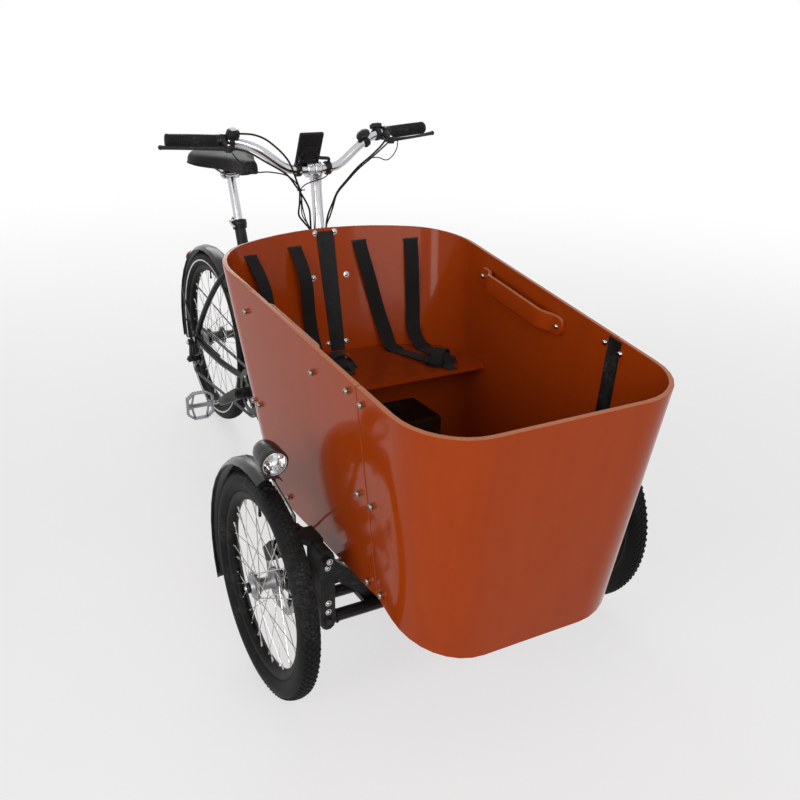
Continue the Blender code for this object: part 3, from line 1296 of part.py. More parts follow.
    axle = rod("rear_axle", (-REAR_AXLE_LENGTH, WHEELBASE, REAR_TYRE_RADIUS),
               (REAR_AXLE_LENGTH, WHEELBASE, REAR_TYRE_RADIUS), AXLE_RADIUS)
    face = DROPOUT_X + DROPOUT_THICKNESS / 2 + SEAT_GAP
    nuts = [rod("nut", (side * face, WHEELBASE, REAR_TYRE_RADIUS),
                (side * (REAR_AXLE_LENGTH + CUT_OVERRUN), WHEELBASE, REAR_TYRE_RADIUS),
                AXLE_RADIUS * 1.4, sides=6) for side in (-1, 1)]
    weld(axle, *nuts)
    node(smooth(show(axle)), "rear_axle", root, DARK_STEEL)


def motor_outline(gap):
    """The drive unit's side view, with its nose down and forward, grown by a gap."""
    nose = (MOTOR_Y - MOTOR_NOSE_LENGTH * cos(MOTOR_NOSE_ANGLE),
            MOTOR_Z - MOTOR_NOSE_LENGTH * sin(MOTOR_NOSE_ANGLE))
    return capsule((MOTOR_Y, MOTOR_Z), MOTOR_RADIUS + gap, nose, MOTOR_NOSE_RADIUS + gap, 12)


def build_motor(root):
    """The drive unit round the crank spindle, hung in the frame's cradle."""
    case = flat("motor", [motor_outline(0.0)], MOTOR_WIDTH - CUT_OVERRUN, side_plane(0.0))
    hole = rod("hole", (-MOTOR_WIDTH, MOTOR_Y, MOTOR_Z), (MOTOR_WIDTH, MOTOR_Y, MOTOR_Z),
               SPINDLE_RADIUS + RUNNING_GAP)
    drill(case, hole)
    node(smooth(show(case)), "motor", root, BLACK_PLASTIC)


def build_rear_guard(root):
    """The rear mudguard with its struts to the axle, and the tail lamp."""
    centre = (0, WHEELBASE, REAR_TYRE_RADIUS)
    radius = REAR_TYRE_RADIUS + REAR_MUDGUARD_GAP
    guard = settle(mudguard("guard", centre, radius, REAR_MUDGUARD_REAR, REAR_MUDGUARD_FRONT, MUDGUARD_STEPS * 4 // 3))
    edge = radius - MUDGUARD_CROWN
    struts = []
    for side in (-1, 1):
        angle = STRUT_ANGLE
        far = Vector((side * MUDGUARD_WIDTH / 2, WHEELBASE + edge * cos(angle),
                      REAR_TYRE_RADIUS + (edge + MUDGUARD_CROWN * 0.2) * sin(angle)))
        near_x = side * (DROPOUT_X + DROPOUT_THICKNESS / 2 + STRUT_RADIUS + SEAT_GAP)
        near = Vector((near_x, WHEELBASE + DROPOUT_RADIUS * 0.9, REAR_TYRE_RADIUS + DROPOUT_RADIUS * 0.4))
        struts.append(rod("strut", near, far, STRUT_RADIUS, sides=8))
    weld(guard, *struts)
    node(smooth(show(guard)), "rear_mudguard", root, BLACK_PLASTIC)

    out = radius + MUDGUARD_SHEET + SEAT_GAP
    place = Matrix.Translation(centre) @ Matrix.Rotation(TAIL_LAMP_ANGLE, 4, "X")
    lamp = box("tail_lamp", (-TAIL_LAMP_WIDTH / 2, out, -TAIL_LAMP_HEIGHT / 2),
               (TAIL_LAMP_WIDTH / 2, out + TAIL_LAMP_DEPTH, TAIL_LAMP_HEIGHT / 2))
    lamp.data.transform(place)
    soften(lamp, TAIL_LAMP_DEPTH / 3)
    node(smooth(show(lamp)), "tail_lamp", root, RED_LENS)


def tangent(first, second):
    """Where a taut chain leaves one wheel and meets the next: (y, z, radius, turn) each."""
    reach = hypot(second[0] - first[0], second[1] - first[1])
    heading = atan2(second[1] - first[1], second[0] - first[0])
    bend = asin((first[3] * first[2] - second[3] * second[2]) / reach)
    leave = heading + bend
    return leave - first[3] * pi / 2, leave - second[3] * pi / 2


def chain_path(wheels, step):
    """Points round the wheels in turn; turn 1 passes a wheel anticlockwise, -1 clockwise."""
    count = len(wheels)
    angles = [tangent(wheels[i], wheels[(i + 1) % count]) for i in range(count)]
    points = []
    for index, (y, z, radius, turn) in enumerate(wheels):
        enter = angles[index - 1][1]
        leave = angles[index][0]
        sweep = (leave - enter) * turn % (2 * pi)
        steps = max(2, ceil(sweep * radius / step), ceil(sweep / CHAIN_BEND))
        points += arc((y, z), radius, enter, enter + turn * sweep, steps)
    return points


def build_chain(root):
    """One closed loop over the chainring, the sprocket and both pulleys."""
    half = CHAIN_HEIGHT / 2
    wheels = [
        (MOTOR_Y, MOTOR_Z, RING_RADIUS + CHAIN_RUN + half, -1),
        (WHEELBASE, REAR_TYRE_RADIUS, COG_RADIUS + CHAIN_RUN + half, -1),
        (*GUIDE_PULLEY, PULLEY_RADIUS + CHAIN_RUN + half, 1),
        (*TENSION_PULLEY, PULLEY_RADIUS + CHAIN_RUN + half, -1)]
    middle = chain_path(wheels, RING_RADIUS / 5)
    normals = []
    count = len(middle)
    for index in range(count):
        before, after = middle[index - 1], middle[(index + 1) % count]
        run = Vector((after[0] - before[0], after[1] - before[1])).normalized()
        normals.append(Vector((-run.y, run.x)) * half)
    outer = [(p[0] + n.x, p[1] + n.y) for p, n in zip(middle, normals)]
    inner = [(p[0] - n.x, p[1] - n.y) for p, n in zip(middle, normals)]
    chain = flat("chain", [outer, inner], CHAIN_WIDTH, side_plane(CHAIN_X))
    node(smooth(show(chain)), "chain", root, DARK_STEEL)


def build_derailleur(root):
    """Two pulleys between cage plates, and the arm up to the frame's dropout."""
    plates = []
    for side in (-1, 1):
        x = CHAIN_X + side * (CHAIN_WIDTH / 2 + CAGE_PLATE)
        loop = capsule(GUIDE_PULLEY, PULLEY_RADIUS * 0.55, TENSION_PULLEY, PULLEY_RADIUS * 0.55)
        plates.append(flat("plate", [loop], CAGE_PLATE, side_plane(x)))
    wheels = [rod("pulley", (CHAIN_X - RING_THICKNESS / 2, y, z), (CHAIN_X + RING_THICKNESS / 2, y, z),
                  PULLEY_RADIUS, sides=14) for y, z in (GUIDE_PULLEY, TENSION_PULLEY)]
    far = CHAIN_X - CHAIN_WIDTH / 2 - CAGE_PLATE * 1.5
    pins = [rod("pin", (far, y, z), (CHAIN_X + CHAIN_WIDTH / 2 + CAGE_PLATE, y, z),
                PULLEY_RADIUS * 0.3) for y, z in (GUIDE_PULLEY, TENSION_PULLEY)]
    out = -(DROPOUT_X + DROPOUT_THICKNESS / 2 + SEAT_GAP)
    body_x = out - PULLEY_RADIUS * 0.7
    hanger = (body_x, WHEELBASE + DROPOUT_RADIUS * 0.6, REAR_TYRE_RADIUS - DROPOUT_RADIUS * 0.6)
    body = rod("body", hanger, (body_x, *GUIDE_PULLEY), PULLEY_RADIUS * 0.5)
    bolt = rod("bolt", (out, hanger[1], hanger[2]), (out - PULLEY_RADIUS, hanger[1], hanger[2]),
               PULLEY_RADIUS * 0.3)
    link = rod("link", (body_x, *GUIDE_PULLEY), (far + CAGE_PLATE, *GUIDE_PULLEY),
               PULLEY_RADIUS * 0.36)
    weld(plates[0], plates[1], *wheels, *pins, body, bolt, link)
    node(smooth(show(plates[0])), "derailleur", root, BLACK_PAINT)


def crank_tip(side):
    """The pedal's axis; the right crank points down and back, the left one opposite."""
    sign = -side
    return (MOTOR_Y + sign * CRANK_LENGTH * cos(CRANK_ANGLE),
            MOTOR_Z + sign * CRANK_LENGTH * sin(CRANK_ANGLE))


def build_cranks(body):
    """Spindle, two arms and the toothed chainring, turning as one."""
    reach = CRANK_INNER_X + CRANK_THICKNESS
    inner = reach - CUT_OVERRUN
    spindle = rod("crankset", (-inner, MOTOR_Y, MOTOR_Z), (inner, MOTOR_Y, MOTOR_Z), SPINDLE_RADIUS)
    arms = []
    for side in (-1, 1):
        x = side * (CRANK_INNER_X + CRANK_THICKNESS / 2)
        arms.append(flat("arm", [capsule((MOTOR_Y, MOTOR_Z), CRANK_ROOT_RADIUS, crank_tip(side),
                                         CRANK_END_RADIUS)], CRANK_THICKNESS, side_plane(x)))
    teeth = []
    for index in range(RING_TEETH * 2):
        radius = RING_RADIUS - (RING_TOOTH_DEPTH if index % 2 else 0.0)
        angle = pi * index / RING_TEETH
        teeth.append((MOTOR_Y + radius * cos(angle), MOTOR_Z + radius * sin(angle)))
    windows = []
    for index in range(RING_ARMS):
        first = CRANK_ANGLE + 2 * pi * index / RING_ARMS + RING_ARM_ANGLE / 2
        last = first + 2 * pi / RING_ARMS - RING_ARM_ANGLE
        windows.append(arc((MOTOR_Y, MOTOR_Z), RING_RADIUS * 0.74, first, last, 5)
                       + arc((MOTOR_Y, MOTOR_Z), RING_RADIUS * 0.38, last, first, 3))
    ring = flat("ring", [teeth, *windows], RING_THICKNESS, side_plane(CHAIN_X))
    boss = rod("boss", (CHAIN_X, MOTOR_Y, MOTOR_Z), (-CRANK_INNER_X - CUT_OVERRUN, MOTOR_Y, MOTOR_Z),
               CRANK_ROOT_RADIUS * 0.9, sides=16)
    weld(spindle, *arms, boss, ring)
    node(smooth(show(spindle)), "crankset", body, BLACK_PAINT)


def build_pedal(side, word, body):
    """An open cage round a barrel, hanging on edge."""
    y, z = crank_tip(side)
    half_w, half_l = PEDAL_WIDTH / 2, PEDAL_LENGTH / 2
    x = side * PEDAL_OFFSET_X
    cage_shares = ((-1.0, 0.62), (-0.5, 1.0), (0.5, 1.0), (1.0, 0.62), (1.0, -0.62), (0.5, -1.0),
                   (-0.5, -1.0), (-1.0, -0.62))
    outer = [(x + half_w * u, z + half_l * v) for u, v in cage_shares]
    inner = [(x + (half_w - PEDAL_RIM) * u, z + (half_l - PEDAL_RIM) * v) for u, v in cage_shares]
    cage = flat("pedal", [outer, inner], PEDAL_THICKNESS, front_plane(y))
    barrel = rod("barrel", (x - half_w + PEDAL_RIM / 2, y, z), (x + half_w - PEDAL_RIM / 2, y, z),
                 PEDAL_BARREL_RADIUS)
    arm_face = side * (CRANK_INNER_X + CRANK_THICKNESS + RUNNING_GAP)
    spindle = rod("spindle", (arm_face, y, z), (x, y, z), PEDAL_SPINDLE_RADIUS, sides=12)
    weld(cage, barrel, spindle)
    node(smooth(show(cage)), "pedal_" + word, body, GREY_CAGE)


def build_saddle(root):
    """The seat post with its clamp and rails, and the saddle on the rails."""
    lean = tan(SEAT_TUBE_LEAN)
    top = Vector((0, SEAT_TUBE_TOP_Y + (POST_TOP_Z - SEAT_TUBE_TOP_Z) * lean, POST_TOP_Z))
    direction = Vector((0, lean, 1)).normalized()
    low = Vector((0, SEAT_TUBE_TOP_Y, SEAT_TUBE_TOP_Z)) - direction * POST_INSERTION
    post = rod("seat_post", low, top, POST_RADIUS, sides=14)
    under = SADDLE_TOP_Z - SADDLE_DEPTH - SEAT_GAP
    head = rod("head", (-RAIL_HALF_GAP - RAIL_RADIUS, top.y, POST_TOP_Z),
               (RAIL_HALF_GAP + RAIL_RADIUS, top.y, POST_TOP_Z), POST_RADIUS * 1.1)
    rails = []
    for side in (-1, 1):
        x = side * RAIL_HALF_GAP
        rails.append(tube("rail", curve_path([
            (x * 0.6, SADDLE_NOSE_Y + SADDLE_DEPTH * 1.4, under - RAIL_RADIUS / 2),
            (x, top.y - SADDLE_DEPTH, POST_TOP_Z + RAIL_RADIUS),
            (x, top.y + SADDLE_DEPTH * 0.8, POST_TOP_Z + RAIL_RADIUS),
            (x * 1.4, SADDLE_TAIL_Y - SADDLE_DEPTH * 0.7, under - RAIL_RADIUS / 2)], 7),
            RAIL_RADIUS, 1))
    weld(post, head, *rails)
    node(smooth(show(post)), "seat_post", root, SILVER)

    # Rows from nose to tail: share of length, of half width, and of the rise of the top
    row_shares = ((0.0, 0.16, 0.55), (0.05, 0.24, 0.80), (0.30, 0.34, 0.86), (0.52, 0.62, 0.84),
                  (0.72, 1.0, 0.90), (0.90, 1.0, 1.0), (1.0, 0.66, 0.92))
    ring_shares = ((-1.0, 0.42), (-0.62, 0.94), (0.0, 0.98), (0.62, 0.94), (1.0, 0.42),
                   (0.88, 0.06), (0.0, 0.0), (-0.88, 0.06))

    def build(work):
        rings = []
        length = SADDLE_TAIL_Y - SADDLE_NOSE_Y
        base = SADDLE_TOP_Z - SADDLE_DEPTH
        for along_share, width_share, rise_share in row_shares:
            rings.append([work.verts.new((SADDLE_HALF_WIDTH * width_share * u,
                                          SADDLE_NOSE_Y + length * along_share,
                                          base + SADDLE_DEPTH * rise_share * v))
                          for u, v in ring_shares])
        count = len(ring_shares)
        for first, second in zip(rings, rings[1:]):
            for i in range(count):
                j = (i + 1) % count
                work.faces.new((first[i], first[j], second[j], second[i]))
        work.faces.new(rings[0][::-1])
        work.faces.new(rings[-1])

    saddle = mesh_from(build, "saddle")
    rounding = saddle.modifiers.new("rounding", "SUBSURF")
    rounding.levels = 1
    rounding.render_levels = 1
    node(smooth(show(saddle)), "saddle", root, BLACK_PLASTIC)


def build_harness(root):
    """Two shoulder straps for each seat, from the back wall to a buckle on the bench."""
    inset = WALL / cos(BACK_LEAN) + STRAP_THICKNESS * 2
    on_bench = BENCH_TOP + STRAP_THICKNESS * 2
    for side, word in ((-1, "right"), (1, "left")):
        buckle = Vector((*HARNESS_BUCKLES[word], BENCH_TOP + SEAT_GAP + BUCKLE_THICKNESS / 2))
        size = Vector((BUCKLE_SIZE, BUCKLE_SIZE, BUCKLE_THICKNESS)) / 2
        plate = box("harness", buckle - size, buckle + size)
        straps = []
        for top_x, low_x, end_x in HARNESS_ROUTES[word]:
            slot_z = BOX_BACK_HEIGHT - STRAP_SLOT_DROP
            middle_z = BENCH_TOP + (slot_z - BENCH_TOP) * STRAP_MIDDLE_SHARE
            route = [back_point(top_x, slot_z, inset),
                     back_point((top_x + low_x) / 2, middle_z, inset + STRAP_THICKNESS * 2),
                     back_point(low_x, BENCH_TOP + STRAP_WIDTH, inset + STRAP_THICKNESS * 8)]
            route.append(Vector((low_x, route[-1].y - STRAP_WIDTH, on_bench)))
            route.append(Vector((end_x, buckle.y, on_bench + BUCKLE_THICKNESS / 3)))
            points = curve_path(route, 12)
            rise = (BOX_BACK_HEIGHT - BENCH_TOP) / STRAP_TWIST_SHARE
            across = [(BACK_BOW_RADIUS, -p.x * max(0, p.z - BENCH_TOP) / rise, 0) for p in points]
            straps.append(ribbon("strap", points, STRAP_WIDTH, STRAP_THICKNESS, across))
        weld(plate, *straps)
        node(smooth(show(plate)), "harness_" + word, root, WEBBING)


def back_point(x, z, inset):
    """A point on the back wall's inner face at this x and height."""
    radius = BACK_BOW_RADIUS - inset
    return Vector((x, back_line(z) - BACK_BOW_RADIUS + sqrt(radius ** 2 - x ** 2), z))


def build_cables(body):
    """The cables that run from each side of the bar down in front of the stem."""
    for side, word in ((-1, "right"), (1, "left")):
        tip, inwards = bar_run(side)
        start = tip + inwards * (GRIP_LENGTH + LEVER_CLAMP_WIDTH + RUNNING_GAP * 2)
        start = start + inwards * LEVER_CLAMP_WIDTH + Vector((0, -LEVER_CLAMP_RADIUS, 0))
        beside = COLLAR_RADIUS + CABLE_RADIUS + SEAT_GAP
        route = [start, start + Vector((-side * 0.060, -0.045, -0.012)),
                 (side * 0.085, 0.585, 1.050), (side * 0.048, 0.590, 0.965),
                 steer_point(0.880, x=side * 0.026, back=0.004),
                 steer_point((HEAD_TUBE_TOP + COLUMN_TOP) / 2, x=side * beside)]
        cable = tube("cable_" + word, curve_path(route, 13), CABLE_RADIUS, 1)
        node(smooth(show(cable)), "bar_cable_" + word, body, BLACK_PLASTIC)


def main():
    root = body_empty("cargo_tricycle_root", (0, 0, 0))
    build_box(root)
    build_handles(root)
    build_battery(root)
    build_front_frame(root)
    build_front_axle(root)
    build_rear_frame(root)
    build_motor(root)
    build_rear_guard(root)
    build_chain(root)
    build_derailleur(root)
    build_saddle(root)
    build_harness(root)

    steering = body_empty("steering_axis", steer_point(HEAD_TUBE_TOP), root)
    build_steering(steering)
    build_display(steering)
    build_cables(steering)
    drag = body_empty("drag_link_axis", pitman_tip(), steering)
    build_drag_link(drag)

    for side, word in ((-1, "right"), (1, "left")):
        kingpin = body_empty("kingpin_" + word, (side * KINGPIN_X, 0, BARREL_BOTTOM), root)
        build_knuckle(side, word, kingpin)
        build_front_guard(side, word, kingpin)
        if side > 0:
            rod_end = body_empty("tie_rod_axis", (KINGPIN_X, TIE_ARM_LENGTH, STEER_ARM_BOTTOM), kingpin)
            build_tie_rod(rod_end)
        centre = (side * TRACK_WIDTH / 2, 0, FRONT_TYRE_RADIUS)
        hub = body_empty("front_hub_" + word, centre, kingpin)
        build_wheel("front_wheel_" + word, centre, FRONT_RIM_RADIUS, front_hub(), hub, side)
        tyre = turned("tyre", wheel_profile(FRONT_TYRE_RADIUS, FRONT_RIM_RADIUS), WHEEL_STEPS,
                      axle_matrix(centre, side))
        node(smooth(show(tyre)), "front_tyre_" + word, hub, RUBBER)

    centre = (0, WHEELBASE, REAR_TYRE_RADIUS)
    hub = body_empty("rear_hub", centre, root)
    build_wheel("rear_wheel", centre, REAR_RIM_RADIUS, rear_hub(), hub, -1)
    tyre = turned("tyre", wheel_profile(REAR_TYRE_RADIUS, REAR_RIM_RADIUS), WHEEL_STEPS,
                  axle_matrix(centre))
    node(smooth(show(tyre)), "rear_tyre", hub, RUBBER)

    cranks = body_empty("crank_axis", (0, MOTOR_Y, MOTOR_Z), root)
    build_cranks(cranks)
    for side, word in ((-1, "right"), (1, "left")):
        y, z = crank_tip(side)
        pedal = body_empty("pedal_axis_" + word, (side * PEDAL_OFFSET_X, y, z), cranks)
        build_pedal(side, word, pedal)

    for helper in cutters.objects:
        helper.parent = root
    root.location.y = -CENTRE_Y
    for material in list(bpy.data.materials):
        if material.users == 0:
            bpy.data.materials.remove(material)


main()
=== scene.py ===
"""Electric cargo tricycle, dressed for a studio view.

The packed model is the frame: every piece here is placed from it, and all but the
brake hoses ride on one of its bodies. Lengths are in metres, +Z is up, the
tricycle's front faces -Y and the rider's right side is -X.
"""
import bpy
import bmesh
import json
from math import acos, atan2, ceil, cos, hypot, pi, radians, sin, sqrt, tan
from mathutils import Matrix, Vector
from mathutils.bvhtree import BVHTree
from mathutils.geometry import tessellate_polygon

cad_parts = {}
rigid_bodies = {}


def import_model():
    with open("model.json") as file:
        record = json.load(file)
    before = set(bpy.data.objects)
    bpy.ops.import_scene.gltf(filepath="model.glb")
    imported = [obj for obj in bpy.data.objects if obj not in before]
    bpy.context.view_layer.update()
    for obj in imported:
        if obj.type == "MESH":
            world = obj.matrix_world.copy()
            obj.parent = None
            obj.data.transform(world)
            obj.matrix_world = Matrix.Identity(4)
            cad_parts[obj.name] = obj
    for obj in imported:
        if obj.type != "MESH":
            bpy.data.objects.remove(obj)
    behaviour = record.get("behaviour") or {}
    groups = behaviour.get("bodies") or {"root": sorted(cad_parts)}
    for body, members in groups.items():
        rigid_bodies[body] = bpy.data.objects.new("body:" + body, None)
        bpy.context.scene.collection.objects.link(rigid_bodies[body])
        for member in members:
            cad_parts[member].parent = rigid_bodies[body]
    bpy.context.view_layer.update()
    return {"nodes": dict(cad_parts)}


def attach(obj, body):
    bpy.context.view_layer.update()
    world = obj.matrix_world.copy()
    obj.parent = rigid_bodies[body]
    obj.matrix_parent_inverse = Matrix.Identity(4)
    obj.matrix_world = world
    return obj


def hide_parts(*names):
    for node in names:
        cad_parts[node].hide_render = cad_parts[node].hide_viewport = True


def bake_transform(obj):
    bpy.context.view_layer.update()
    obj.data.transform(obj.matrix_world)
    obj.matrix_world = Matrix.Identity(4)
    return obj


bl_info = {
    "name": "Electric Cargo Tricycle",
    "version": (1, 0, 0),
    "blender": (4, 5, 0),
    "location": "3D View > Sidebar > Tricycle",
    "description": "Finishes and fine pieces for the packed cargo tricycle",
    "category": "Object",
}

for leftover in list(bpy.data.objects):
    bpy.data.objects.remove(leftover, do_unlink=True)
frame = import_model()
NODES = frame["nodes"]

# The part is drawn with its front axle on Y = 0 and then moved forward by this much
DRAWING_SHIFT = 0.688
SIDES = ((-1, "right"), (1, "left"))
SMOOTH_LIMIT = radians(34)


A_COLOUR = {"subtype": "COLOR", "size": 3, "min": 0, "max": 1}
A_LENGTH = {"unit": "LENGTH", "subtype": "DISTANCE"}


def mm(*points):
    """Points given in millimetres, as a list in metres."""
    return [tuple(part / 1000 for part in point) for point in points]


def mm3(x, y, z):
    """A place or a step given in millimetres."""
    return Vector((x / 1000, y / 1000, z / 1000))


def shift(x, y, z):
    """A matrix that moves by so many millimetres."""
    return Matrix.Translation(mm3(x, y, z))


def turned(angle, about="Z"):
    return Matrix.Rotation(angle, 4, about)


class FinishSettings(bpy.types.PropertyGroup):
    """Colours and wear of the tricycle's surfaces."""
    lacquer: bpy.props.FloatVectorProperty(
        name="Lacquer", description="Stained plywood under its clear lacquer",
        **A_COLOUR, default=(0.345, 0.045, 0.0035))
    lacquer_dark: bpy.props.FloatVectorProperty(
        name="Lacquer figure", description="The darker figure in the plywood's face",
        **A_COLOUR, default=(0.25, 0.029, 0.0028))
    lacquer_edge: bpy.props.FloatVectorProperty(
        name="Plywood edge", description="The rounded edge, where the plies show paler",
        **A_COLOUR, default=(0.56, 0.2, 0.085))
    paint: bpy.props.FloatVectorProperty(
        name="Black paint", description="Powder coat of the frame and axle",
        **A_COLOUR, default=(0.008, 0.008, 0.009))
    rubber: bpy.props.FloatVectorProperty(
        name="Rubber", description="Tyres and grips",
        **A_COLOUR, default=(0.007, 0.007, 0.0075))
    webbing: bpy.props.FloatVectorProperty(
        name="Webbing", description="Woven straps of the harness",
        **A_COLOUR, default=(0.009, 0.008, 0.008))
    silver: bpy.props.FloatVectorProperty(
        name="Silver", description="Polished alloy of the bar, stem and post",
        **A_COLOUR, default=(0.56, 0.56, 0.58))
    dust: bpy.props.FloatProperty(
        name="Dust", description="How much dust lies on what faces up",
        subtype="FACTOR", min=0, max=1, default=0.06)


class StageSettings(bpy.types.PropertyGroup):
    """The floor, the lamps and the camera."""
    floor: bpy.props.FloatVectorProperty(
        name="Floor", description="Pale stone floor of the studio",
        **A_COLOUR, default=(0.82, 0.815, 0.81))
    lamp_power: bpy.props.FloatProperty(
        name="Lamps", description="Power of the large front lamp",
        unit="POWER", min=0, default=56)
    sky: bpy.props.FloatProperty(
        name="Fill", description="Strength of the even light from all round",
        min=0, default=0.72)
    camera_place: bpy.props.FloatVectorProperty(
        name="Camera", description="Where the camera stands",
        subtype="TRANSLATION", unit="LENGTH", size=3, default=(-1.0667, -2.3914, 1.4193))
    azimuth: bpy.props.FloatProperty(
        name="Azimuth", description="The camera's turn round the tricycle",
        subtype="ANGLE", default=radians(-29.664))
    elevation: bpy.props.FloatProperty(
        name="Elevation", description="How far the camera looks down",
        subtype="ANGLE", default=radians(22.112))
    roll: bpy.props.FloatProperty(
        name="Roll", description="The camera's tilt about its own view",
        subtype="ANGLE", default=radians(0.9247))
    lens: bpy.props.FloatProperty(
        name="Lens", description="Focal length on a 36 mm sensor",
        subtype="DISTANCE_CAMERA", min=1, default=43.57)


# Shader nodes
GROUPS = {}
FINISHES = {}


class Sheet:
    """Places nodes in one node tree and joins them as they come."""

    def __init__(self, tree):
        self.tree = tree

    def add(self, kind, inputs=None, **settings):
        node = self.tree.nodes.new(kind)
        for key, value in settings.items():
            setattr(node, key, value)
        for key, value in (inputs or {}).items():
            if isinstance(value, bpy.types.NodeSocket):
                self.tree.links.new(value, node.inputs[key])
            else:
                node.inputs[key].default_value = value
        return node

    def math(self, operation, first, second, clamp=False):
        return self.add("ShaderNodeMath", {0: first, 1: second},
                        operation=operation, use_clamp=clamp).outputs[0]

    def times(self, first, second, clamp=False):
        return self.math("MULTIPLY", first, second, clamp)

    def plus(self, first, second, clamp=False):
        return self.math("ADD", first, second, clamp)

    def mix(self, factor, first, second):
        return self.add("ShaderNodeMix", {0: factor, 6: first, 7: second},
                        data_type="RGBA").outputs[2]

    def span(self, value, low, high, out_low=0, out_high=1):
        return self.add("ShaderNodeMapRange", {"Value": value, "From Min": low,
                        "From Max": high, "To Min": out_low, "To Max": out_high}).outputs[0]

    def noise(self, vector, scale, detail=4, roughness=0.5):
        return self.add("ShaderNodeTexNoise", {"Vector": vector, "Scale": scale,
                        "Detail": detail, "Roughness": roughness}).outputs["Fac"]

    def stretched(self, vector, scale):
        return self.add("ShaderNodeMapping", {"Vector": vector, "Scale": scale}).outputs[0]

    def place(self):
        return self.add("ShaderNodeTexCoord").outputs["Object"]

    def facing_up(self):
        return self.add("ShaderNodeSeparateXYZ", {
            0: self.add("ShaderNodeNewGeometry").outputs["Normal"]}).outputs["Z"]

    def seen(self):
        """Rays that show the background: from the camera, off gloss and through glass."""
        rays = self.add("ShaderNodeLightPath").outputs
        return self.plus(rays["Is Camera Ray"], self.plus(rays["Is Glossy Ray"],
                                                          rays["Is Transmission Ray"]), clamp=True)


def shader_group(name, inputs, outputs, fill):
    """Makes a shader node group; inputs are (name, socket type, default)."""
    tree = bpy.data.node_groups.new(name, "ShaderNodeTree")
    for label, kind, default in inputs:
        socket = tree.interface.new_socket(label, in_out="INPUT", socket_type=kind)
        socket.default_value = default
    for label, kind in outputs:
        tree.interface.new_socket(label, in_out="OUTPUT", socket_type=kind)
    sheet = Sheet(tree)
    given = sheet.add("NodeGroupInput").outputs
    made = fill(sheet, given)
    end = sheet.add("NodeGroupOutput")
    for label, socket in made.items():
        tree.links.new(socket, end.inputs[label])
    GROUPS[name] = tree


FLOAT, COLOUR = "NodeSocketFloat", "NodeSocketColor"
GREY = (0.5, 0.5, 0.5, 1)


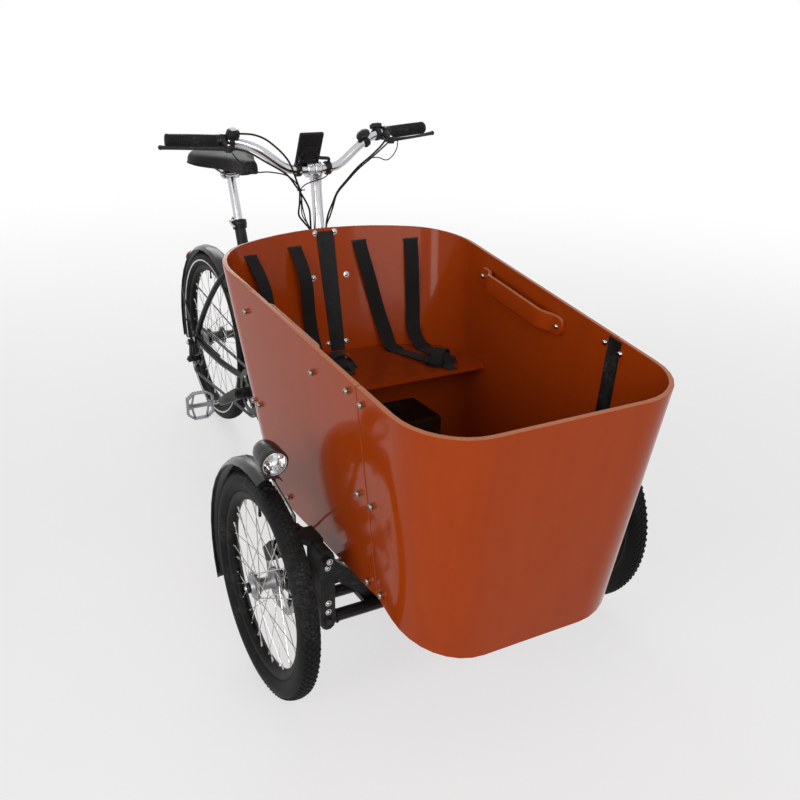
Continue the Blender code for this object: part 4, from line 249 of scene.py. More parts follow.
def make_groups():
    """The effects that several finishes share."""

    def figure(sheet, given):
        place = sheet.place()
        clouds = sheet.noise(sheet.stretched(place, (2.2, 2.2, 1.1)), 1.6, 3)
        streaks = sheet.noise(sheet.stretched(place, (34, 34, 2.4)), 1, 5, 0.6)
        pores = sheet.noise(sheet.stretched(place, (420, 420, 26)), 1, 2)
        amount = sheet.times(given["Strength"], sheet.plus(
            sheet.span(clouds, 0.35, 0.65, 0, 0.6), sheet.span(streaks, 0.4, 0.7, 0, 0.4)))
        pore = sheet.span(pores, 0.6, 0.72)
        colour = sheet.mix(amount, given["Face"], given["Figure"])
        return {"Color": sheet.mix(sheet.times(pore, 0.22), colour, given["Figure"]),
                "Height": sheet.math("SUBTRACT", streaks, sheet.times(pore, 0.6))}

    shader_group("wood_figure", [("Face", COLOUR, GREY), ("Figure", COLOUR, GREY),
                                 ("Strength", FLOAT, 0.5)], [("Color", COLOUR), ("Height", FLOAT)],
                 figure)

    def plies(sheet, given):
        up = sheet.facing_up()
        place = sheet.place()
        layers = sheet.noise(sheet.stretched(place, (300, 300, 60)), 1, 2)
        mask = sheet.span(up, given["Start"], given["Full"])
        return {"Mask": sheet.times(mask, sheet.span(layers, 0.2, 0.8, 0.55, 1))}

    shader_group(
        "open_edge", [("Start", FLOAT, 0.5), ("Full", FLOAT, 0.9)], [("Mask", FLOAT)], plies)

    def dust(sheet, given):
        up = sheet.facing_up()
        place = sheet.place()
        patches = sheet.noise(place, 14, 5, 0.7)
        specks = sheet.noise(place, 240, 2)
        film = sheet.times(sheet.span(up, 0.1, 0.95), sheet.span(patches, 0.42, 0.75))
        grit = sheet.times(sheet.span(specks, 0.68, 0.78), 0.7)
        return {"Mask": sheet.times(given["Amount"], sheet.plus(film, grit), clamp=True)}

    shader_group("settled_dust", [("Amount", FLOAT, 0.1)], [("Mask", FLOAT)], dust)

    def scuffs(sheet, given):
        place = sheet.place()
        broad = sheet.noise(place, given["Scale"], 6, 0.65)
        lines = sheet.noise(sheet.stretched(place, (9, 9, 55)), given["Scale"], 3)
        both = sheet.times(sheet.span(broad, 0.48, 0.72), sheet.span(lines, 0.45, 0.62))
        return {"Mask": sheet.times(both, given["Amount"], clamp=True), "Cloud": broad}

    shader_group(
        "scuffs", [("Scale", FLOAT, 6), ("Amount", FLOAT, 0.5)],
        [("Mask", FLOAT), ("Cloud", FLOAT)], scuffs)

    def pebble(sheet, given):
        place = sheet.place()
        cells = sheet.add("ShaderNodeTexVoronoi", {"Vector": place, "Scale": given["Scale"]},
                          feature="SMOOTH_F1").outputs["Distance"]
        fine = sheet.noise(place, sheet.times(given["Scale"], 2.3), 3)
        return {"Height": sheet.plus(cells, sheet.times(fine, 0.5)), "Grain": fine}

    shader_group(
        "pebbled_skin", [("Scale", FLOAT, 900)], [("Height", FLOAT), ("Grain", FLOAT)], pebble)

    def brushed(sheet, given):
        lines = sheet.noise(sheet.stretched(sheet.place(), (18, 900, 900)), 1, 3)
        smear = sheet.noise(sheet.place(), 22, 3)
        rough = sheet.plus(sheet.span(lines, 0.3, 0.7, -0.5, 0.5),
                           sheet.span(smear, 0.3, 0.7, -0.5, 0.5))
        return {"Roughness": sheet.plus(given["Roughness"], sheet.times(rough, given["Spread"])),
                "Height": lines}

    shader_group(
        "drawn_metal", [("Roughness", FLOAT, 0.25), ("Spread", FLOAT, 0.1)],
        [("Roughness", FLOAT), ("Height", FLOAT)], brushed)

    def weave(sheet, given):
        tape = sheet.add("ShaderNodeUVMap", uv_map="Tape").outputs[0]
        across = sheet.add("ShaderNodeTexWave", {"Vector": tape, "Scale": given["Picks"]},
                           bands_direction="Y").outputs["Fac"]
        ribs = sheet.add("ShaderNodeTexWave", {"Vector": tape, "Scale": given["Ribs"],
                         "Distortion": 0.6}, bands_direction="X").outputs["Fac"]
        return {"Height": sheet.plus(sheet.times(across, ribs), ribs),
                "Mask": sheet.times(across, ribs)}

    shader_group(
        "tape_weave", [("Picks", FLOAT, 160), ("Ribs", FLOAT, 110)],
        [("Height", FLOAT), ("Mask", FLOAT)], weave)


DUST_COLOUR = (0.36, 0.34, 0.31, 1)
WARM_WHITE = (0.9, 0.89, 0.86, 1)


class Finish(Sheet):
    """A material's nodes; constants are set on its Principled shader itself."""

    def __init__(self, name, **constants):
        material = bpy.data.materials.new(name)
        material.use_nodes = True
        super().__init__(material.node_tree)
        self.shader = self.tree.nodes["Principled BSDF"]
        for key, value in constants.items():
            self.shader.inputs[key.replace("_", " ")].default_value = value
        FINISHES[name] = material

    def group(self, name, inputs):
        return self.add("ShaderNodeGroup", inputs, node_tree=GROUPS[name]).outputs

    def join(self, **sockets):
        for key, socket in sockets.items():
            self.tree.links.new(socket, self.shader.inputs[key.replace("_", " ")])

    def bump(self, height, strength, distance=0.0005):
        node = self.add("ShaderNodeBump", {"Height": height, "Strength": strength,
                                           "Distance": distance})
        self.join(Normal=node.outputs[0])


def opaque(colour):
    return (*colour, 1)


def coated(name, colour, roughness, dust, scale=900, grain=0.25, **constants):
    """A dark coating or moulding: pebbled skin, faint scuffs and settled dust."""
    constants.setdefault("Specular_IOR_Level", 0.16)
    sheet = Finish(name, **constants)
    skin = sheet.group("pebbled_skin", {"Scale": scale})
    scuff = sheet.group("scuffs", {"Scale": 9, "Amount": 0.5})
    film = sheet.group("settled_dust", {"Amount": dust})["Mask"]
    worn = sheet.mix(sheet.times(scuff["Mask"], 0.12), opaque(colour), WARM_WHITE)
    sheet.join(Base_Color=sheet.mix(film, worn, DUST_COLOUR),
               Roughness=sheet.plus(sheet.span(scuff["Cloud"], 0.3, 0.7, roughness - 0.05,
                                               roughness + 0.06), sheet.times(film, 0.4)))
    sheet.bump(skin["Height"], grain)


def metal(name, colour, roughness, spread, **constants):
    """Bare or plated metal with drawn lines and handling smears."""
    sheet = Finish(name, Metallic=1, **constants)
    drawn = sheet.group("drawn_metal", {"Roughness": roughness, "Spread": spread})
    scuff = sheet.group("scuffs", {"Scale": 12, "Amount": 0.6})
    dull = tuple(0.72 * part for part in colour)
    sheet.join(Roughness=drawn["Roughness"],
               Base_Color=sheet.mix(scuff["Mask"], opaque(colour), opaque(dull)))
    sheet.bump(drawn["Height"], 0.06, 0.0002)


def lacquered(name, settings, edge_amount, figure):
    sheet = Finish(name, IOR=1.2, Coat_Weight=0.12, Coat_Roughness=0.05, Coat_IOR=1.25)
    wood = sheet.group("wood_figure", {
        "Face": opaque(settings.lacquer), "Figure": opaque(settings.lacquer_dark),
        "Strength": figure})
    edge = sheet.group("open_edge", {"Start": 0.55, "Full": 0.93})["Mask"]
    film = sheet.group("settled_dust", {"Amount": settings.dust * 0.15})["Mask"]
    scuff = sheet.group("scuffs", {"Scale": 4, "Amount": 0.8})
    pale = sheet.mix(sheet.times(edge, edge_amount), wood["Color"], opaque(settings.lacquer_edge))
    sheet.join(Base_Color=sheet.mix(film, pale, DUST_COLOUR),
               Roughness=sheet.span(scuff["Cloud"], 0.3, 0.7, 0.09, 0.14))
    sheet.bump(wood["Height"], 0.02, 0.0001)


def make_finishes(settings):
    make_groups()
    dust = settings.dust
    lacquered("lacquered_ply", settings, 1, 0.4)
    lacquered("lacquered_board", settings, 0, 0.7)
    coated("powder_coat", settings.paint, 0.36, dust * 0.8, 1100, 0.18)
    coated("gloss_moulding", (0.008, 0.008, 0.009), 0.2, dust * 0.5, 1500, 0.05,
           Specular_IOR_Level=0.4)
    # The battery's case is dark brown: painted shade of the space under the bench, put into its
    # colour
    coated("battery_in_painted_shade", (0.016, 0.006, 0.004), 0.5, 0, 1300, 0.3)
    coated("matt_moulding", (0.013, 0.013, 0.014), 0.46, dust, 1300, 0.35)
    coated("tyre_rubber", settings.rubber, 0.58, dust * 0.7, 700, 0.4, Specular_IOR_Level=0.1)
    coated("soft_rubber", (0.012, 0.012, 0.012), 0.68, dust * 0.6, 1700, 0.5)
    coated("black_alloy", (0.009, 0.009, 0.01), 0.3, dust * 0.4, 1600, 0.08,
           Specular_IOR_Level=0.2)
    coated("rim_paint", (0.006, 0.006, 0.0065), 0.42, dust * 0.2, 1500, 0.08,
           Specular_IOR_Level=0.08)
    coated("saddle_cover", (0.008, 0.008, 0.0085), 0.5, dust * 0.2, 620, 0.55,
           Specular_IOR_Level=0.12)
    coated("reflex_band", (0.8, 0.8, 0.79), 0.4, dust, 2200, 0.2)
    metal("polished_silver", settings.silver, 0.2, 0.1)
    metal("bright_steel", (0.55, 0.54, 0.52), 0.16, 0.08)
    metal("brushed_alloy", (0.5, 0.5, 0.51), 0.34, 0.14)
    # The outer box screws' steel: its dark bronze colour is a painted reflection of the orange
    # wall and the dim room round them
    metal("steel_with_painted_reflection", (0.3, 0.25, 0.2), 0.14, 0.1)
    metal("dark_steel", (0.07, 0.07, 0.073), 0.38, 0.12)
    metal("cast_grey", (0.3, 0.3, 0.31), 0.42, 0.12)
    metal("mirror", (0.86, 0.86, 0.87), 0.06, 0.02)

    sheet = Finish("webbing", Sheen_Weight=0.03, Sheen_Roughness=0.5, Specular_IOR_Level=0.12)
    tape = sheet.group("tape_weave", {"Picks": 170, "Ribs": 7})
    film = sheet.group("settled_dust", {"Amount": dust * 0.8})["Mask"]
    lighter = tuple(2.1 * part for part in settings.webbing)
    threads = sheet.mix(tape["Mask"], opaque(settings.webbing), opaque(lighter))
    sheet.join(Base_Color=sheet.mix(film, threads, DUST_COLOUR),
               Roughness=sheet.span(tape["Mask"], 0, 1, 0.78, 0.62))
    sheet.bump(tape["Height"], 0.5, 0.0004)

    for name, colour, roughness in (("clear_lens", (0.95, 0.97, 0.97), 0.03),
                                    ("red_lens", (0.55, 0.012, 0.01), 0.08)):
        sheet = Finish(name, Transmission_Weight=1 if name == "clear_lens" else 0.35, IOR=1.49)
        scuff = sheet.group("scuffs", {"Scale": 14, "Amount": 0.3})
        film = sheet.group("settled_dust", {"Amount": dust * 0.5})["Mask"]
        sheet.join(Base_Color=sheet.mix(film, opaque(colour), DUST_COLOUR),
                   Roughness=sheet.span(scuff["Mask"], 0, 1, roughness, roughness + 0.14))
        skin = sheet.group("pebbled_skin", {"Scale": 240})
        sheet.bump(skin["Height"], 0.04, 0.0002)

    sheet = Finish("dark_glass", Coat_Weight=1, Coat_Roughness=0.03)
    scuff = sheet.group("scuffs", {"Scale": 7, "Amount": 0.6})
    sheet.join(Base_Color=sheet.mix(scuff["Mask"], (0.006, 0.007, 0.009, 1),
                                    (0.03, 0.032, 0.036, 1)),
               Roughness=sheet.span(scuff["Cloud"], 0.3, 0.7, 0.1, 0.22))
    sheet.bump(scuff["Mask"], 0.03, 0.0002)


# Pieces
TINY = 1e-6


def aim(place, direction):
    """A matrix at a place whose Z axis points along a direction."""
    turn = Vector(direction).to_track_quat("Z", "Y").to_matrix().to_4x4()
    return Matrix.Translation(place) @ turn


def axle(centre, side=1):
    """Z along the axle, away from the tricycle's middle."""
    return Matrix.Translation(centre) @ turned(side * pi / 2, "Y")


def spline(points, count):
    """Places spread along a smooth curve through the points."""
    points = [Vector(point) for point in points]
    whole = [points[0] * 2 - points[1], *points, points[-1] * 2 - points[-2]]
    spans = len(points) - 1
    places = []
    for index in range(count + 1):
        share = index * spans / count
        first = min(int(share), spans - 1)
        t = share - first
        a, b, c, d = whole[first:first + 4]
        places.append((b * 2 + (c - a) * t + (a * 2 - b * 5 + c * 4 - d) * t * t
                       + (b * 3 - a - c * 3 + d) * t ** 3) / 2)
    return places


def frames_along(points):
    """The direction of a path and two steady sideways vectors at each of its points."""
    last = len(points) - 1
    runs = [(points[min(i + 1, last)] - points[max(i - 1, 0)]).normalized()
            for i in range(last + 1)]
    side = runs[0].orthogonal().normalized()
    frames = []
    for index, run in enumerate(runs):
        if index:
            side = runs[index - 1].rotation_difference(run) @ side
        side = (side - run * side.dot(run)).normalized()
        frames.append((run, side, run.cross(side)))
    return frames


def arc(centre, radius, start, end, steps):
    return [(centre[0] + radius * cos(start + (end - start) * i / steps),
             centre[1] + radius * sin(start + (end - start) * i / steps))
            for i in range(steps + 1)]


def ring(centre, radius, steps):
    return arc(centre, radius, 0, 2 * pi, steps)[:-1]


class Maker:
    """Gathers the faces of one piece; they take its main finish where none is named."""

    def __init__(self, finish):
        self.finish = finish
        self.mesh = bmesh.new()
        self.tape_map = self.mesh.loops.layers.uv.new("Tape")
        self.finishes = []

    def vert(self, place):
        return self.mesh.verts.new(place)

    def number(self, finish):
        """The finish's place in the piece's list, where it is put if it is new."""
        finish = finish or self.finish
        if finish not in self.finishes:
            self.finishes.append(finish)
        return self.finishes.index(finish)

    def face(self, corners, finish=None, tape=()):
        made = self.mesh.faces.new(corners)
        made.material_index = self.number(finish)
        for loop, place in zip(made.loops, tape):
            loop[self.tape_map].uv = place

    def lathe(self, profile, matrix, steps, finish=None, closed=False):
        """Turns (radius, height) points about Z."""
        rings = []
        for radius, height in profile:
            turns = 1 if radius < TINY else steps
            rings.append([self.vert(matrix @ Vector((
                radius * cos(2 * pi * i / steps), radius * sin(2 * pi * i / steps), height)))
                for i in range(turns)])
        pairs = list(zip(rings, rings[1:]))
        if closed:
            pairs.append((rings[-1], rings[0]))
        for low, high in pairs:
            for i in range(steps):
                j = i + 1
                corners = dict.fromkeys((low[i % len(low)], low[j % len(low)],
                                         high[j % len(high)], high[i % len(high)]))
                if len(corners) > 2:
                    self.face(tuple(corners), finish)

    def skin(self, rings, finish=None):
        """Joins each ring of points to the next one."""
        for low, high in zip(rings, rings[1:]):
            for i in range(len(low)):
                j = (i + 1) % len(low)
                self.face((low[i], low[j], high[j], high[i]), finish)

    def ends(self, rings, finish=None):
        """Closes the first and the last ring."""
        self.face(rings[0][::-1], finish)
        self.face(rings[-1], finish)

    def tube(self, points, radius, sides=12, flatten=1, finish=None):
        """A round tube; radius may be one for each point, flatten squeezes it upwards."""
        radii = [radius] * len(points) if isinstance(radius, float) else radius
        rings = []
        for point, (_, side, up), size in zip(points, frames_along(points), radii):
            rings.append([self.vert(
                point + side * (size * cos(2 * pi * i / sides))
                + up * (size * flatten * sin(2 * pi * i / sides))) for i in range(sides)])
        self.skin(rings, finish)
        self.ends(rings, finish)

    def block(self, size, matrix, rounding=0, finish=None):
        """A box about the matrix's centre, its edges rounded."""
        made = bmesh.ops.create_cube(self.mesh, size=1, matrix=matrix
                                     @ Matrix.Diagonal((*size, 1)))
        faces = {face for vert in made["verts"] for face in vert.link_faces}
        for face in faces:
            face.material_index = self.number(finish)
        if rounding:
            edges = list({edge for face in faces for edge in face.edges})
            bmesh.ops.bevel(self.mesh, geom=edges, offset=rounding, segments=2, profile=0.5,
                            affect="EDGES", clamp_overlap=True)

    def plate(self, loops, thickness, matrix, finish=None):
        """A flat plate: the first loop is its outline and the others are holes."""
        drawn = [[Vector((x, y, 0)) for x, y in loop] for loop in loops]
        points = [point for loop in drawn for point in loop]
        lift = Vector((0, 0, thickness / 2))
        top = [self.vert(matrix @ (point + lift)) for point in points]
        low = [self.vert(matrix @ (point - lift)) for point in points]
        for a, b, c in tessellate_polygon(drawn):
            self.face((top[a], top[b], top[c]), finish)
            self.face((low[c], low[b], low[a]), finish)
        start = 0
        for loop in loops:
            count = len(loop)
            for i in range(count):
                a, b = start + i, start + (i + 1) % count
                self.face((top[a], low[a], low[b], top[b]), finish)
            start += count

    def tape(self, points, outwards, width, thickness):
        """Woven webbing along a path; outwards is its face's direction at each point."""
        shares = ((-1, 0), (-0.95, 1), (0, 1.12), (0.95, 1), (1, 0),
                  (0.95, -1), (0, -1), (-0.95, -1))
        last = len(points) - 1
        rows, lengths, run_length = [], [], 0
        for index, (point, out) in enumerate(zip(points, outwards)):
            run = (points[min(index + 1, last)] - points[max(index - 1, 0)]).normalized()
            across = Vector(out).cross(run).normalized()
            out = run.cross(across)
            if index:
                run_length += (point - points[index - 1]).length
            lengths.append(run_length)
            rows.append([self.vert(point + across * (width / 2 * u) + out * (thickness / 2 * v))
                         for u, v in shares])
        count = len(shares)
        for index in range(last):
            low, high = rows[index], rows[index + 1]
            for i in range(count):
                j = (i + 1) % count
                left, right = shares[i][0], shares[j][0]
                self.face((low[i], low[j], high[j], high[i]), "webbing",
                          ((left, lengths[index]), (right, lengths[index]),
                           (right, lengths[index + 1]), (left, lengths[index + 1])))
        self.ends(rows, "webbing")

    def bolt(self, place, direction, radius, washer=1.36, finish="bright_steel", socket=True):
        """A domed screw head on its washer, with a hexagon socket."""
        matrix = aim(place, direction)
        rise = radius * 0.92
        profile = [(0, -radius * 0.2), (radius * washer, -radius * 0.2),
                   (radius * washer, radius * 0.14), (radius * 1.02, radius * 0.16),
                   (radius, radius * 0.36), (radius * 0.9, rise * 0.7),
                   (radius * 0.66, rise * 0.93), (radius * 0.44, rise)]
        if not socket:
            self.lathe(profile + [(0, rise * 1.04)], matrix, 20, finish)
            return
        self.lathe(profile + [(radius * 0.36, rise * 0.98)], matrix, 20, finish)
        self.lathe([(radius * 0.36, rise * 0.98), (radius * 0.34, rise * 0.35), (0, rise * 0.35)],
                   matrix, 6, "dark_steel")

    def nut(self, place, direction, radius, height, finish="bright_steel"):
        """A hexagon nut with the end of its thread."""
        matrix = aim(place, direction)
        self.lathe([(0, 0), (radius, 0), (radius, height * 0.85), (radius * 0.88, height),
                    (radius * 0.55, height)], matrix, 6, finish)
        self.lathe([(radius * 0.5, height * 0.5), (radius * 0.5, height * 1.25),
                    (0, height * 1.3)], matrix, 12, finish)


def show(thing):
    bpy.context.scene.collection.objects.link(thing)


def piece(maker, name, body, replaces=(), sharp=SMOOTH_LIMIT):
    """Turns what a maker gathered into an object that rides on a body, if one is named."""
    work = maker.mesh
    bmesh.ops.recalc_face_normals(work, faces=work.faces)
    work.transform(Matrix.Translation((0, -DRAWING_SHIFT, 0)))
    mesh = bpy.data.meshes.new(name)
    work.to_mesh(mesh)
    work.free()
    mesh.shade_smooth()
    mesh.set_sharp_from_angle(angle=sharp)
    for finish in maker.finishes:
        mesh.materials.append(FINISHES[finish])
    thing = bpy.data.objects.new(name, mesh)
    show(thing)
    if body is not None:
        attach(thing, body)
    if replaces:
        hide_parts(*replaces)
    return thing


SURFACES = {}


def touch(node, origin, direction):
    """Where a ray from a place of the drawing first meets a node, and the way out there."""
    if node not in SURFACES:
        mesh = NODES[node].data
        SURFACES[node] = BVHTree.FromPolygons([vert.co for vert in mesh.vertices],
                                              [face.vertices for face in mesh.polygons])
    moved = Vector((0, DRAWING_SHIFT, 0))
    direction = Vector(direction).normalized()
    place, normal, _, _ = SURFACES[node].ray_cast(Vector(origin) - moved, direction)
    if place is None:
        raise RuntimeError("nothing of " + node + " lies that way")
    if normal.dot(direction) > 0:
        normal.negate()
    return place + moved, normal


# Sizes shared with the part's drawing
FRONT_WHEEL = {"radius": 0.254, "rim": 0.2075, "z": 0.254}
REAR_WHEEL = {"radius": 0.305, "rim": 0.2585, "z": 0.305}
TYRE_HALF = 0.0235
SPOKES = 36
GUARD_RADIUS = 0.2843
HALF_TRACK = 0.426
WHEELBASE = 1.522
MOTOR = (1.055, 0.262)
CHAIN_X = -0.056
PITCH = 0.0127
CRANK_LENGTH = 0.175
CRANK_ANGLE = radians(-27.6)
SEAT_LEAN = radians(22)
STEER_TOP = (0.636, 1.027)
STEER_LEAN = radians(7)
BENCH_TOP = 0.565
BAR_PATH = mm((0, 651, 1022), (45, 651, 1023), (83, 654, 1034), (147, 662, 1079),
              (205, 681.6, 1098.7), (285, 697.3, 1101.9), (365, 713, 1105))


def steer_point(z):
    return Vector((0, STEER_TOP[0] - (STEER_TOP[1] - z) * tan(STEER_LEAN), z))


def steer_aim():
    return Vector((0, sin(STEER_LEAN), cos(STEER_LEAN)))


def mirrored(point, side):
    return Vector((point[0] * side, point[1], point[2]))


def rim_height(y):
    return 0.8 + y * tan(radians(7.3))


# Wheels and tyres
def rim_section(radius):
    """Half of a rim's section, from its bed for the tyre in to its spoke bed."""
    return [(radius, 0.0105), (radius, 0.0128), (radius - 0.002, 0.0133),
            (radius - 0.0085, 0.0131), (radius - 0.0125, 0.0118), (radius - 0.0165, 0.009),
            (radius - 0.0198, 0.0052), (radius - 0.021, 0.0018)]


def lace(maker, matrix, rim_radius, gauge):
    """The spokes, crossed three times, with their elbows and their nipples."""
    bed = rim_radius - 0.021
    for index in range(SPOKES):
        flange = 1 if index % 2 else -1
        lead = 1 if index // 2 % 2 else -1
        rim_angle = 2 * pi * index / SPOKES
        hub_angle = rim_angle + lead * radians(58)
        outside = flange * 0.024 + lead * 0.0032
        hub = Vector((0.0286 * cos(hub_angle), 0.0286 * sin(hub_angle), outside))
        tip = Vector((cos(rim_angle) * bed, sin(rim_angle) * bed, flange * 0.0022))
        run = (tip - hub).normalized()
        elbow = hub + mm3(0, 0, -lead * 4)
        path = [elbow, hub - run * 0.0008, hub + run * 0.0025, tip - run * 0.006]
        maker.tube([matrix @ point for point in path], gauge / 2, 8, finish="bright_steel")
        nipple = matrix @ aim(tip - run * 0.012, run)
        maker.lathe(mm((0, 0), (1.7, 0), (1.9, 1), (1.9, 9), (2.7, 11.5), (2.7, 15), (0, 15)),
                    nipple, 8, "bright_steel")
        head = matrix @ aim(hub + mm3(0, 0, lead * 1.2), (0, 0, lead))
        maker.lathe(mm((0, -0.5), (2.1, -0.4), (1.9, 0.6), (0, 1)), head, 8, "bright_steel")


def disc_rotor(maker, matrix, height):
    """A brake rotor: a drilled track on six swept arms."""
    level = matrix @ Matrix.Translation((0, 0, height))
    for index in range(24):
        turn = level @ turned(2 * pi * index / 24)
        width = 2 * pi / 24
        outline = arc((0, 0), 0.08, 0, width, 4) + arc((0, 0), 0.0655, width, 0, 4)
        holes = []
        for row, radius in enumerate((0.0755, 0.0725, 0.0695)):
            angle = width * (0.25 + 0.25 * row)
            holes.append(ring((radius * cos(angle), radius * sin(angle)), 0.0014, 8)[::-1])
        maker.plate([outline, *holes], 0.0018, turn, "brushed_alloy")
    for index in range(6):
        turn = 2 * pi * index / 6
        arm = arc((0, 0), 0.066, turn + 0.42, turn + 0.56, 2)
        arm += arc((0, 0), 0.02, turn + 0.17, turn - 0.17, 3)
        maker.plate([arm], 0.0018, level, "brushed_alloy")
        angle = turn + pi / 6
        place = level @ Vector((0.0185 * cos(turn), 0.0185 * sin(turn), -0.0012))
        maker.bolt(place, level.to_3x3() @ Vector((0, 0, -1)), 0.0032, 1.2, "dark_steel")
        window = level @ Vector((0.0245 * cos(angle), 0.0245 * sin(angle), 0))
        maker.nut(window, level.to_3x3() @ Vector((0, 0, -1)), 0.0016, 0.0011, "dark_steel")
    maker.plate([ring((0, 0), 0.0235, 36), ring((0, 0), 0.0082, 24)[::-1]], 0.0022, level,
                "brushed_alloy")


def wheel_rim(maker, matrix, rim_radius):
    half = rim_section(rim_radius)
    section = half + [(radius, -height) for radius, height in reversed(half)]
    maker.lathe(section, matrix, 120, "rim_paint", closed=True)
    angle = pi / SPOKES
    place = matrix @ Vector((cos(angle) * (rim_radius - 0.019), sin(angle) * (rim_radius - 0.019),
                             0))
    inwards = matrix.to_3x3() @ Vector((-cos(angle), -sin(angle), 0))
    stem = aim(place, inwards)
    maker.lathe(mm((0, 0), (4.2, 0), (4.2, 2), (2.8, 4), (2.8, 20), (3.6, 20.5), (3.6, 28),
                   (2.8, 30), (0, 30)), stem, 14, "matt_moulding")


def front_wheel(side, word, gauge):
    maker = Maker("cast_grey")
    matrix = axle((side * HALF_TRACK, 0, FRONT_WHEEL["z"]), side)
    wheel_rim(maker, matrix, FRONT_WHEEL["rim"])
    lace(maker, matrix, FRONT_WHEEL["rim"], gauge)
    shell = mm((8.2, 36), (12.5, 36), (15, 33.5), (16.5, 28.5), (31, 27.5), (31.2, 26.5),
               (31.2, 23.5), (29, 21), (18.5, 18.5), (14, 8), (13.8, -8), (18.5, -18.5), (29, -21),
               (31.2, -23.5), (31.2, -26.5), (31, -27.5), (18, -29), (18, -34), (8.2, -34.5))
    maker.lathe(shell, matrix, 40, closed=True)
    disc_rotor(maker, matrix, -0.036)
    piece(maker, "laced_front_wheel_" + word, "front_wheel_body_" + word,
          ["front_wheel_" + word])


COGS = mm((40, 57.5), (36.5, 53.5), (33, 49.5), (29.5, 45.5), (26.2, 41.5), (23.2, 37.5),
          (20.5, 33.5))


def rear_wheel(gauge):
    maker = Maker("dark_steel")
    matrix = axle((0, WHEELBASE, REAR_WHEEL["z"]), -1)
    wheel_rim(maker, matrix, REAR_WHEEL["rim"])
    lace(maker, matrix, REAR_WHEEL["rim"], gauge)
    shell = mm((8.2, 63.5), (13.5, 63.5), (15, 60), (15, 30), (31, 27.5), (31.2, 26.5),
               (31.2, 23.5), (29, 21), (20.5, 18.5), (16.5, 8), (16.5, -8), (20.5, -18.5),
               (29, -21), (31.2, -23.5), (31.2, -26.5), (31, -27.5), (20, -30), (14.5, -40),
               (14.5, -63), (8.2, -63.5))
    maker.lathe(shell, matrix, 40, closed=True)
    for radius, height in COGS:
        outline = toothed(radius, round(2 * pi * radius / PITCH), 0.004)
        maker.plate([outline, ring((0, 0), 0.0152, 24)[::-1]], 0.0018,
                    matrix @ Matrix.Translation((0, 0, height)), "brushed_alloy")
    piece(maker, "laced_rear_wheel", "rear_wheel_body", ["rear_wheel"])


def tyre(name, centre, side, radius, rim, body, node, tread, banded):
    """A carcass with ribbed sides, five rows of tread blocks, and a pale band if asked."""
    maker = Maker("tyre_rubber")
    matrix = axle(centre, side)
    crown = radius - tread
    half_shares = ((0, 0.5), (0.045, 0.56), (0.07, 0.66), (0.11, 0.7), (0.2, 0.84), (0.3, 0.93),
                   (0.315, 0.96), (0.33, 0.945), (0.46, 1), (0.475, 1), (0.49, 1), (0.62, 0.975),
                   (0.74, 0.905), (0.85, 0.775), (0.92, 0.64), (0.965, 0.46), (0.99, 0.24), (1, 0))
    bead = rim + 0.0002
    half = [(bead + up * (crown - bead), TYRE_HALF * out) for up, out in half_shares]
    section = half + [(r, -h) for r, h in reversed(half[:-1])]
    maker.lathe(section, matrix, 120, closed=True)
    # Each row: share of the half width, block width and length, blocks round, skew, phase
    rows = ((0, 0.009, 0.0105, 96, 0, 0), (0.34, 0.0068, 0.008, 96, 0.35, 0.5),
            (-0.34, 0.0068, 0.008, 96, -0.35, 0.5), (0.62, 0.0062, 0.007, 96, -0.3, 0),
            (-0.62, 0.0062, 0.007, 96, 0.3, 0))
    for share, wide, long, count, skew, phase in rows:
        slope = shoulder_lean(share)
        ground = crown + (radius - crown) * 0.1
        base_radius = bead + (crown - bead) * crown_share(abs(share))
        for index in range(count):
            angle = 2 * pi * (index + phase) / count
            turn = matrix @ turned(angle)
            place = turn @ Matrix.Translation((base_radius, 0, TYRE_HALF * share))
            block = place @ turned(-slope, "Y") @ turned(skew, "X")
            scale = long * base_radius / ground
            tread_block(maker, block, wide, scale, tread * 0.92)
    if banded:
        for way in (-1, 1):
            band = [(bead + (crown - bead) * up, way * (TYRE_HALF * out + 0.00035))
                    for up, out in ((0.335, 0.95), (0.38, 0.966), (0.42, 0.982), (0.445, 0.99))]
            inner = [(r, h - way * 0.0006) for r, h in reversed(band)]
            maker.lathe(band + inner, matrix, 120, "reflex_band", closed=True)
    piece(maker, name, body, [node])


def shoulder_lean(share):
    """How far a tread row leans over the tyre's shoulder."""
    return share * radians(52)


def crown_share(share):
    """How high the carcass stands at a share of its half width, as a share of its height."""
    table = ((0, 1), (0.24, 0.99), (0.46, 0.965), (0.64, 0.92), (0.775, 0.85), (1, 0.46))
    for (near, high), (far, low) in zip(table, table[1:]):
        if share <= far:
            return high + (low - high) * (share - near) / (far - near)
    return table[-1][1]


def tread_block(maker, matrix, wide, long, height):
    """A low block with sloped sides, its height along X."""
    feet = [(-1, -1), (1, -1), (1, 1), (-1, 1)]
    low = [maker.vert(matrix @ Vector((-height * 0.6, long / 2 * u, wide / 2 * v)))
           for u, v in feet]
    high = [maker.vert(matrix @ Vector((height, long / 2 * u * 0.84, wide / 2 * v * 0.84)))
            for u, v in feet]
    maker.skin((low, high), "tyre_rubber")
    maker.face(high, "tyre_rubber")


# The box's fittings
SIDE_BOLTS = mm((-190, 752), (-243, 742), (-190, 530), (-243, 526), (-190, 322), (-243, 318),
                (295, 776), (-35, 737), (336, 541), (299, 542), (198, 337))
SEAM_BOLTS = 6
BACK_BOLTS = mm((28, 868), (48, 757), (26, 585))


